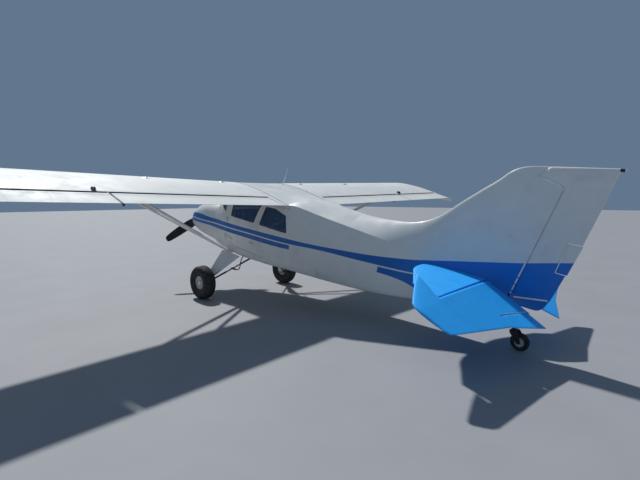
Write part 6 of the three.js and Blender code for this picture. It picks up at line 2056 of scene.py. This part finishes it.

# belly peg and drain tubes of the underside
peg = Shape()
peg.tube([(-2.205, 0.0, 0.900), (-2.205, 0.0, 0.872)], [0.008, 0.005], 12)
peg.box((-2.235, -0.020, 0.886), (-2.175, 0.020, 0.892), 0.002)
peg.make("belly_peg", M["black"], "airframe", "black_steel")
dr = Shape()
for y in (-0.18, 0.18):
    dr.tube([(0.30, y, 0.793), (0.296, y, 0.770), (0.288, y, 0.752)], 0.006, 10)
dr.tube([(-0.60, 0.10, 0.795), (-0.60, 0.10, 0.768)], 0.007, 10)
dr.make("drain_tubes", M["steel"], "airframe", "bare_metal")

# ---------------------------------------------------------------- door fittings
def on_side(x, z, s, out=0.0):
    return Vector((x, s * (float(side_y(x, z)) + out), z))


def handle(name, body, x, z, s, length=0.115, lean=0.0):
    sh = Shape()
    n = body_normal(on_side(x, z, s))
    base = on_side(x, z, s)
    m = Matrix.Translation(base) @ n.to_track_quat("Z", "Y").to_matrix().to_4x4()
    sh.lathe([(0.020, -0.001), (0.020, 0.0030), (0.0175, 0.0050), (0.010, 0.0056), (0.009, 0.020), (0, 0.020)], m, 28)
    d = Vector((-math.cos(lean), 0, -math.sin(lean)))
    pts = [base + n * 0.019 - d * 0.012, base + n * 0.021, base + n * 0.022 + d * length * 0.5, base + n * 0.018 + d * length]
    sh.tube(smooth_path(pts, 14), [0.006, 0.0085, 0.0088, 0.0085, 0.0082, 0.008, 0.008, 0.0078, 0.0076, 0.0076, 0.0076, 0.0074, 0.007, 0.0055], 12, flat=0.62, up=n)
    sh.make(name, M["alloy"], body, "bare_metal")


def lock(shape, x, z, s):
    n = body_normal(on_side(x, z, s))
    m = Matrix.Translation(on_side(x, z, s)) @ n.to_track_quat("Z", "Y").to_matrix().to_4x4()
    shape.lathe([(0.0125, -0.001), (0.0125, 0.0022), (0.0105, 0.0035), (0.008, 0.0035), (0.0075, 0.0025), (0, 0.0025)], m, 24)
    shape.box((-0.0012, -0.005, 0.0015), (0.0012, 0.005, 0.0032), 0.0003, 1, m)


def hinge(fixed, moving, x, y, z, s, height=0.075, leaf=0.030):
    """Pin hinge with its barrel along z; the moving leaf is on the door's side."""
    k = 5
    for j in range(k):
        a, b = z - height / 2 + height * j / k, z - height / 2 + height * (j + 0.94) / k
        (fixed if j % 2 == 0 else moving).tube([(x, s * y, a), (x, s * y, b)], 0.0060, 12)


for side, s in SIDES:
    handle(f"door_handle_{side}", f"door_front_{side}", -0.640, 1.098, s, 0.110, math.radians(4))
    f, g = Shape(), Shape()
    for z in (1.330, 1.040):
        # the front edge of the door leans back lower down, so the lower hinge has a long arm
        hinge(f, g, 0.022, 0.574, z, s)
    for z in (1.330, 1.040):
        f.box((0.026, s * 0.566, z - 0.034), (0.058, s * 0.5705, z + 0.034), 0.0015)
        y0 = float(side_y(-0.02 if z > 1.2 else -0.12, z))
        x1 = -0.020 if z > 1.2 else -0.150
        g.box((0.018, s * 0.5700, z - 0.012), (x1, s * 0.5726, z + 0.012), 0.0012)
        g.box((x1 - 0.008, s * (y0 - 0.002), z - 0.014), (x1 + 0.020, s * 0.5735, z + 0.014), 0.002)
    f.make(f"door_hinge_fixed_{side}", M["strut"], "airframe", "painted_body")
    g.make(f"door_hinge_leaf_{side}", M["strut"], f"door_front_{side}", "painted_body")
    l = Shape()
    lock(l, -0.668, 1.352, s)
    l.make(f"door_lock_{side}", M["alloy"], f"door_front_{side}", "bare_metal")
    d = Shape()
    for x, z in ((-0.115, 0.979), (-0.50, 1.120)):
        d.dome(on_side(x, z, s), body_normal(on_side(x, z, s)), 0.008, 0.005, 14)
    d.make(f"door_studs_{side}", M["alloy"], f"door_front_{side}", "bare_metal")
    k = Shape()
    # screws along the boot cowl's edges and the seam by the firewall
    for z in np.arange(0.93, 1.40, 0.058):
        k.screw(on_side(0.452, z, s), body_normal(on_side(0.452, z, s)), 0.0042, 0.0016)
        k.screw(on_side(0.082, z, s), body_normal(on_side(0.082, z, s)), 0.0036, 0.0014)
    for x in np.arange(0.42, -1.90, -0.058):
        z = float(edge_z(x)) - 0.010
        k.dome(on_side(x, z, s), body_normal(on_side(x, z, s)), 0.0032, 0.0014, 8)
    k.make(f"side_screws_{side}", M["skin"], "airframe", "painted_body")
    # fasteners along the cowl's seam and its side
    c = Shape()
    for z in np.arange(0.90, 1.42, 0.085):
        p = Vector((0.500, s * float(side_y(0.500, z, cowl_at)), z))
        c.screw(p, (0, s, 0), 0.0075, 0.0020, 16)
    for x in np.arange(0.56, 1.36, 0.10):
        zb, zl, wl, ws, zu, wu, zt = cowl_at(x)
        z = (zl + zu) / 2 - 0.02
        p = Vector((x, s * float(side_y(x, z, cowl_at)), z))
        c.screw(p, body_normal(p, cowl_at), 0.0075, 0.0020, 16)
    c.make(f"cowl_fasteners_{side}", M["steel"], "airframe", "bare_metal")
    # split line of the cowling: a slim raised lip
    lip = Shape()
    pts = []
    for x in np.linspace(0.480, 1.395, 40):
        zb, zl, wl, ws, zu, wu, zt = cowl_at(x)
        z = (zl + zu) / 2
        pts.append((x, s * float(side_y(x, z, cowl_at)), z))
    strip(lip, pts, 0.016, 0.0016, lambda q: body_normal(q, cowl_at))
    lip.make(f"cowl_split_lip_{side}", M["cowl"], "airframe", "painted_body")

handle("rear_door_handle", "door_rear_right", -1.330, 1.150, -1, 0.090, math.radians(2))
handle("hatch_handle", "baggage_door", -1.520, 1.190, -1, 0.070, 0.0)
f, g = Shape(), Shape()
for z in (1.330, 1.130):
    hinge(f, g, -0.762, 0.570, z, -1, 0.060)
    f.box((-0.757, -0.5625, z - 0.028), (-0.728, -0.5665, z + 0.028), 0.001)
    x1 = -0.835 if z > 1.2 else -0.955
    g.box((-0.766, -0.5660, z - 0.009), (x1, -0.5682, z + 0.009), 0.0008)
    g.box((x1 + 0.018, -(float(side_y(x1, z)) - 0.002), z - 0.010), (x1 - 0.006, -0.5690, z + 0.010), 0.001)
f.make("rear_hinge_fixed", M["strut"], "airframe", "painted_body")
g.make("rear_hinge_leaf", M["strut"], "door_rear_right", "painted_body")
f, g = Shape(), Shape()
for z in (1.300, 1.070):
    hinge(f, g, -1.901, 0.476, z, -1, 0.055)
    f.box((-1.906, -(float(side_y(-1.92, z)) - 0.001), z - 0.024), (-1.930, -0.4700, z + 0.024), 0.001)
    g.box((-1.896, -(float(side_y(-1.88, z)) - 0.001), z - 0.009), (-1.872, -0.4735, z + 0.009), 0.001)
f.make("hatch_hinge_fixed", M["strut"], "airframe", "painted_body")
g.make("hatch_hinge_leaf", M["strut"], "baggage_door", "painted_body")

# ------------------------------------------------------------------ interior
SEAT = [(-0.060, 1.070), (-0.066, 1.150), (-0.110, 1.172), (-0.430, 1.150), (-0.560, 1.620), (-0.610, 1.655), (-0.672, 1.620), (-0.560, 1.100), (-0.500, 1.066)]


def cloth_mat(name, colour, trim):
    m = Mat(name)
    m.b.inputs["Sheen Weight"].default_value = 0.35
    m.b.inputs["Sheen Roughness"].default_value = 0.5
    w1 = m.line(m.add(m.y, m.mul(m.x, 0.02)), 0.0024, 0.0005, 0.0006)
    w2 = m.line(m.add(m.x, m.mul(m.z, 0.8)), 0.0024, 0.0005, 0.0006)
    c = m.mix(m.mul(w1, 0.5), colour, tuple(q * 0.55 for q in colour))
    c = m.mix(m.mul(w2, 0.35), c, tuple(min(1, q * 1.5) for q in colour))
    c = m.shade(c, m.step(m.noise(9.0, 5.0, 0.6), 0.3, 0.7, 0.84, 1.12))
    m.set("Base Color", c)
    m.set("Roughness", m.step(m.noise(30.0, 3.0), 0.3, 0.7, 0.82, 0.95))
    m.bump(m.add(w1, w2), 0.0004, 0.6)
    m.bump(m.noise(14.0, 3.0), 0.003, 0.25)
    return m.m


M["seat"] = cloth_mat("seat_cloth", (0.075, 0.085, 0.105), None)
M["piping"] = plain("seat_piping", (0.05, 0.055, 0.065), 0.6, 0.0, scale=90.0)


def cushion(name, outline, y0, y1, nodes, seed, inset=0.012, cap=0.024, channels=()):
    """Padded cushion over a side outline, blown up by a short cloth run."""
    o = rounded(grown(outline, -inset), 0.022, 4)
    lo, hi = min(y0, y1) + inset, max(y0, y1) - inset
    bm = bmesh.new()
    rows = []
    ys = np.linspace(lo, hi, 15)
    for j, y in enumerate(ys):
        e = min(y - lo, hi - y)
        k = -0.010 * max(0.0, 1 - e / 0.025) ** 2
        rows.append([bm.verts.new((p[0], y, p[1])) for p in grown(o, k)])
    for a, b in zip(rows, rows[1:]):
        for i in range(len(a)):
            bm.faces.new((a[i], a[(i + 1) % len(a)], b[(i + 1) % len(a)], b[i]))
    bm.faces.new(rows[0][::-1])
    bm.faces.new(rows[-1])
    bmesh.ops.recalc_face_normals(bm, faces=bm.faces[:])
    me = bpy.data.meshes.new(name)
    bm.to_mesh(me)
    bm.free()
    ob = bpy.data.objects.new(name, me)
    scene.collection.objects.link(ob)
    bpy.context.view_layer.objects.active = ob
    me.remesh_voxel_size = 0.0072
    me.remesh_voxel_adaptivity = 0
    for q in bpy.context.view_layer.objects:
        q.select_set(q is ob)
    bpy.ops.object.voxel_remesh()
    start = np.array([tuple(v.co) for v in me.vertices])
    c = ob.modifiers.new("cloth", "CLOTH")
    st = c.settings
    st.quality, st.mass, st.use_pressure, st.uniform_pressure_force = 4, 0.35, True, 4.0
    st.tension_stiffness = st.compression_stiffness = 14
    st.bending_stiffness = 0.6
    st.effector_weights.gravity = 0
    c.point_cache.frame_start, c.point_cache.frame_end = 1, 20
    for fr in range(1, 21):
        scene.frame_set(fr)
    dg = bpy.context.evaluated_depsgraph_get()
    new = bpy.data.meshes.new_from_object(ob.evaluated_get(dg))
    ob.modifiers.clear()
    scene.frame_set(1)
    end = np.array([tuple(v.co) for v in new.vertices])
    d = end - start
    l = np.linalg.norm(d, axis=1)
    end = start + d * np.minimum(1, cap / np.maximum(l, 1e-9))[:, None]
    # sewn channels, and the sides pulled in between the corners
    for axis, at, depth, width in channels:
        q = end[:, axis]
        g = np.exp(-((q - at) / width) ** 2)
        mid = end.mean(0)
        for j in range(3):
            if j != axis and j != 1:
                end[:, j] += (mid[j] - end[:, j]) * g * depth
    # stay inside the space that the solid holds
    big = grown(outline, 0.010)
    xz = end[:, [0, 2]]
    ok = inside(xz, big)
    c0 = np.array(outline).mean(0)
    for _ in range(12):
        bad = ~inside(end[:, [0, 2]], big)
        if not bad.any():
            break
        back = start[bad]
        end[bad] = end[bad] * 0.8 + back * 0.2
    end[:, 1] = np.clip(end[:, 1], min(y0, y1) - 0.006, max(y0, y1) + 0.006)
    m = np.array(LEVEL)
    end = end @ m[:3, :3].T + m[:3, 3]
    new.vertices.foreach_set("co", end.astype(np.float32).ravel())
    new.shade_smooth()
    ob.data = new
    sub = ob.modifiers.new("smooth", "SUBSURF")
    sub.levels = sub.render_levels = 1
    if sub.levels == 0:
        ob.modifiers.clear()
    else:
        applied(ob)
        ob.data.shade_smooth()
    ob.data.materials.clear()
    ob.data.materials.append(M["seat"])
    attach(ob, "airframe")
    if nodes:
        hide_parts(*nodes)
    return ob


SEAT_BASE = [(-0.060, 1.070), (-0.066, 1.150), (-0.110, 1.172), (-0.430, 1.152), (-0.520, 1.150), (-0.556, 1.105), (-0.500, 1.066)]
SEAT_BACK = [(-0.440, 1.168), (-0.560, 1.620), (-0.610, 1.655), (-0.672, 1.620), (-0.585, 1.190), (-0.520, 1.160)]
for side, s in SIDES:
    a, b = s * 0.265 - 0.205, s * 0.265 + 0.205
    base = cushion(f"seat_cushion_{side}", SEAT_BASE, a, b, (f"front_seat_{side}",), 1,
                   channels=((0, -0.18, 0.10, 0.006), (0, -0.30, 0.10, 0.006), (0, -0.42, 0.10, 0.006)))
    back = cushion(f"seat_back_{side}", SEAT_BACK, a, b, (f"front_seat_{side}",), 2,
                   channels=((2, 1.28, 0.10, 0.006), (2, 1.40, 0.10, 0.006), (2, 1.52, 0.10, 0.006)))
BENCH_BASE = [(-0.930, 1.030), (-0.936, 1.104), (-0.985, 1.122), (-1.235, 1.108), (-1.310, 1.100), (-1.330, 1.050)]
BENCH_BACK = [(-1.252, 1.120), (-1.330, 1.500), (-1.385, 1.520), (-1.430, 1.500), (-1.345, 1.075), (-1.318, 1.100)]
bb = cushion("rear_bench_cushion", BENCH_BASE, -0.415, 0.415, ("rear_bench",), 3, channels=((1, 0.0, 0.12, 0.006), (0, -1.04, 0.08, 0.006), (0, -1.16, 0.08, 0.006)))
bk = cushion("rear_bench_back", BENCH_BACK, -0.415, 0.415, ("rear_bench",), 4, channels=((1, 0.0, 0.12, 0.006), (2, 1.22, 0.10, 0.006), (2, 1.34, 0.10, 0.006)))

fr = Shape()
for y in (-0.430, -0.100, 0.100, 0.430):
    fr.box((-0.560, y - 0.012, 0.842), (-0.040, y + 0.012, 0.862), 0.003)
    for x in (-0.110, -0.480):
        fr.tube([(x, y, 0.858), (x, y, 1.046)], 0.0105, 12)
for x in (-0.110, -0.480):
    for s in (1, -1):
        fr.tube([(x, s * 0.088, 1.046), (x, s * 0.442, 1.046)], 0.0112, 12)
for s in (1, -1):
    for y in (0.100, 0.430):
        fr.tube([(-0.105, s * y, 0.90), (-0.478, s * y, 1.02)], 0.007, 10)
fr.make("seat_frame_tubes", M["grey"], "airframe", "bare_metal", LEVEL, ("front_seat_frame",))
fr = Shape()
for y in (-0.380, 0.0, 0.380):
    fr.box((-1.300, y - 0.010, 0.892), (-0.980, y + 0.010, 0.912), 0.003)
    for x in (-1.000, -1.290):
        fr.tube([(x, y, 0.908), (x, y, 1.014)], 0.0092, 12)
for x in (-1.000, -1.290):
    fr.tube([(x, -0.390, 1.014), (x, 0.390, 1.014)], 0.0095, 12)
fr.make("bench_frame_tubes", M["grey"], "airframe", "bare_metal", LEVEL, ("rear_bench_frame",))

# instrument panel with blank dials, and the two yokes
pn = Shape()
face = rounded([(-0.404, 1.180), (0.404, 1.180), (0.404, 1.430), (0.380, 1.452), (-0.380, 1.452), (-0.404, 1.430)], 0.022, 5)
pn.loft([[(0.1500, y, z) for y, z in grown(face, -0.004)], [(0.1480, y, z) for y, z in grown(face, -0.006)]][::-1] +
        [[(0.1530, y, z) for y, z in face], [(0.232, y, z) for y, z in face]])
hood = []
for y in np.linspace(-0.404, 0.404, 21):
    sag = 0.012 * (y / 0.404) ** 2
    hood.append([(0.150, y, 1.458 - sag), (0.157, y, 1.466 - sag), (0.26, y, 1.472 - sag), (0.370, y, 1.474 - sag), (0.372, y, 1.444 - sag), (0.250, y, 1.440 - sag), (0.165, y, 1.436 - sag)])
pn.loft(hood)
pn.make("panel_board", M["panel"], "airframe", "panel_black", LEVEL, ("instrument_panel",))
dials, rims, yk = Shape(), Shape(), Shape()
DIALS = [(0.33, 1.385), (0.235, 1.385), (0.14, 1.385), (0.33, 1.285), (0.235, 1.285), (0.14, 1.285), (-0.30, 1.385), (-0.22, 1.385), (-0.30, 1.30), (-0.22, 1.30)]
toX = Matrix.Rotation(-pi / 2, 4, "Y")
for k, (y, z) in enumerate(DIALS):
    r = 0.040 if k < 6 else 0.030
    m = Matrix.Translation((0.1478, y, z)) @ toX
    rims.lathe([(r, 0.0), (r + 0.004, 0.0), (r + 0.004, 0.0030), (r + 0.001, 0.0045), (r - 0.002, 0.0030), (r - 0.003, 0.0008), (r, 0.0)], m, 36)
    dials.lathe([(r - 0.001, -0.001), (r - 0.001, 0.0012), (0, 0.0012)], m, 32)
    for t in range(12):
        a = t * pi / 6
        c, q = math.cos(a), math.sin(a)
        mm = m @ Matrix.Rotation(a, 4, "Z")
        dials.box((r * 0.74, -0.0008, 0.001), (r * 0.90, 0.0008, 0.0018), 0, 1, mm)
    dials.box((-0.001, -0.0012, 0.0015), (r * 0.68, 0.0012, 0.0024), 0, 1, m @ Matrix.Rotation(0.7 + k * 0.9, 4, "Z"))
for j in range(3):
    rims.box((0.1478, -0.085, 1.405 - j * 0.052), (0.1440, 0.085, 1.445 - j * 0.052), 0.002)
for j, y in enumerate((-0.05, 0.0, 0.05)):
    rims.tube([(0.148, y, 1.225), (0.118, y, 1.225), (0.100, y, 1.225)], [0.005, 0.005, 0.012], 14)
rims.make("panel_fittings", M["rubber_seal"], "airframe", "panel_black")
dials.make("panel_dials", M["antenna"], "airframe", "panel_black")
for s in (1, -1):
    c = s * 0.265
    yk.tube([(0.150, c, 1.310), (0.004, c, 1.310)], 0.0115, 16)
    pts = smooth_path([(0.000, c - 0.108, 1.388), (-0.002, c - 0.112, 1.345), (-0.002, c - 0.090, 1.312), (-0.002, c, 1.306), (-0.002, c + 0.090, 1.312), (-0.002, c + 0.112, 1.345), (0.000, c + 0.108, 1.388)], 44)
    yk.tube(pts, 0.0088, 12)
    yk.box((-0.010, c - 0.030, 1.290), (0.008, c + 0.030, 1.326), 0.006, 3)
yk.make("control_yokes", M["panel"], "airframe", "panel_black")
pd = Shape()
for s in (1, -1):
    for q in (-0.07, 0.07):
        c = s * 0.265 + q
        pd.tube([(0.330, c, 0.835), (0.300, c, 0.930)], 0.007, 10)
        pd.box((0.285, c - 0.040, 0.925), (0.297, c + 0.040, 0.985), 0.004)
pd.make("rudder_pedals", M["black"], "airframe", "black_steel")

# cabin lining: floor carpet, rear bulkhead curtain, head liner, tubes by the windows
cp = Shape()
xs = np.linspace(0.42, -1.90, 30)
rows = []
for x in xs:
    zb, zl, wl, ws, zu, wu, zt = body_at(x)
    z = zl + 0.010
    w = float(side_y(x, max(z, zl + 0.001))) - 0.046
    rows.append([(x, w, z), (x, w * 0.5, z + 0.002), (x, 0, z + 0.001), (x, -w * 0.5, z + 0.002), (x, -w, z)] + [(x, -w, z - 0.008), (x, 0, z - 0.008), (x, w, z - 0.008)])
cp.loft(rows)
cp.make("floor_carpet", M["liner"], "airframe", "seat_cloth", LEVEL)
hd = Shape()
rows = []
for x in np.linspace(0.15, -1.90, 30):
    zt = float(deck_top(x)) - 0.040
    late = min(max((-1.30 - x) / 0.4, 0.0), 1.0)
    w = min(0.455, float(body_at(x)[5]) - 0.045 - 0.055 * late)
    y = np.linspace(-w, w, 13)
    up = [(x, q, zt - 0.030 - 0.045 * abs(q / w) ** 3 - 0.030 * late - 0.030 * late * abs(q / w)) for q in y]
    rows.append(up + [(x, q, zz + 0.006) for (_, q, zz) in up[::-1]])
hd.loft(rows)
hd.make("head_liner", M["liner"], "airframe", "seat_cloth", LEVEL)
bh = Shape()
pts = tail_section(-1.945) * 0.94 + np.array([0.0, 1.40 * 0.06])
ring = resample(np.vstack([pts, pts[::-1] * np.array([-1, 1])]), 60)
bh.loft([[(-1.9420, y, z) for y, z in ring], [(-1.9500, y, z) for y, z in ring]])
bh.make("rear_bulkhead", M["liner"], "airframe", "seat_cloth", LEVEL)
tb = Shape()
for s in (1, -1):
    # steel tubes of the cabin frame seen through the panes
    tb.tube(smooth_path([(0.150, s * 0.455, 1.460), (-0.02, s * 0.468, 1.600), (-0.12, s * 0.462, 1.735)], 14), 0.0125, 12)
    tb.tube([(0.080, s * 0.470, 0.93), (0.060, s * 0.478, 1.42)], 0.0125, 12)
    tb.tube(smooth_path([(-0.790, s * 0.486, 0.95), (-0.770, s * 0.494, 1.20), (-0.770, s * 0.492, 1.45), (-0.800, s * 0.468, 1.760)], 22), 0.0125, 12)
    tb.tube([(-1.425, s * 0.440, 1.00), (-1.425, s * 0.447, 1.40), (-1.425, s * 0.430, 1.780)], 0.0125, 12)
    tb.tube([(-1.425, s * 0.447, 1.400), (-1.930, s * 0.395, 1.40)], 0.0110, 12)
tb.make("cabin_frame_tubes", M["strut"], "airframe", "painted_struts", LEVEL)

# ------------------------------------------------------------ floor, light
floor = bpy.data.meshes.new("floor")
floor.from_pydata([(-60, -60, 0), (60, -60, 0), (60, 60, 0), (-60, 60, 0)], [], [(0, 1, 2, 3)])
floor_ob = bpy.data.objects.new("floor", floor)
scene.collection.objects.link(floor_ob)
fm = Mat("floor_surface", Roughness=0.75)
fm.set("Base Color", fm.shade((0.305, 0.308, 0.325), fm.step(fm.noise(1.2, 5.0), 0.3, 0.7, 0.97, 1.03)))
floor.materials.append(fm.m)
floor_ob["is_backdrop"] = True

world = bpy.data.worlds.new("studio")
scene.world = world
world.use_nodes = True
wt = world.node_tree
wt.nodes["Background"].inputs[0].default_value = (0.45, 0.68, 1.0, 1)
wt.nodes["Background"].inputs[1].default_value = 0.27


def area(name, at, aim, size, power, colour=(1, 1, 1)):
    l = bpy.data.lights.new(name, "AREA")
    l.shape, l.size, l.energy, l.color = "DISK", size, power, colour
    o = bpy.data.objects.new(name, l)
    scene.collection.objects.link(o)
    o.location = at
    o.rotation_euler = (Vector(aim) - Vector(at)).to_track_quat("-Z", "Y").to_euler()
    return o


key = bpy.data.lights.new("key", "SUN")
key.energy, key.color, key.angle = 3.45, (0.98, 0.975, 0.955), math.radians(2.2)
key_ob = bpy.data.objects.new("key", key)
scene.collection.objects.link(key_ob)
key_ob.location = (15.0, -5.6, 19.0)
key_ob.rotation_euler = Vector((0.83, -0.31, 1.0)).to_track_quat("Z", "Y").to_euler()
area("fill", (-9, 13, 7), (0, 0, 1), 9.0, 50, (0.80, 0.90, 1.0))

cam_data = bpy.data.cameras.new("camera")
cam = bpy.data.objects.new("camera", cam_data)
scene.collection.objects.link(cam)
cam_data.sensor_width = 36.0
cam_data.sensor_fit = "HORIZONTAL"
cam_data.lens = 435.15 / 640 * 36.0
yaw, pitch, roll = math.radians(-47.53), math.radians(5.543), math.radians(-0.183)
fwd = Vector((math.cos(yaw) * math.cos(pitch), math.sin(yaw) * math.cos(pitch), -math.sin(pitch)))
rgt = Vector((math.sin(yaw), -math.cos(yaw), 0))
upv = rgt.cross(fwd)
r2 = rgt * math.cos(roll) + upv * math.sin(roll)
u2 = r2.cross(fwd)
cam.matrix_world = Matrix(((r2.x, u2.x, -fwd.x, -4.195), (r2.y, u2.y, -fwd.y, 4.841), (r2.z, u2.z, -fwd.z, 1.659), (0, 0, 0, 1)))
cam_data.clip_start, cam_data.clip_end = 0.05, 400
scene.camera = cam

lo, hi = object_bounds()
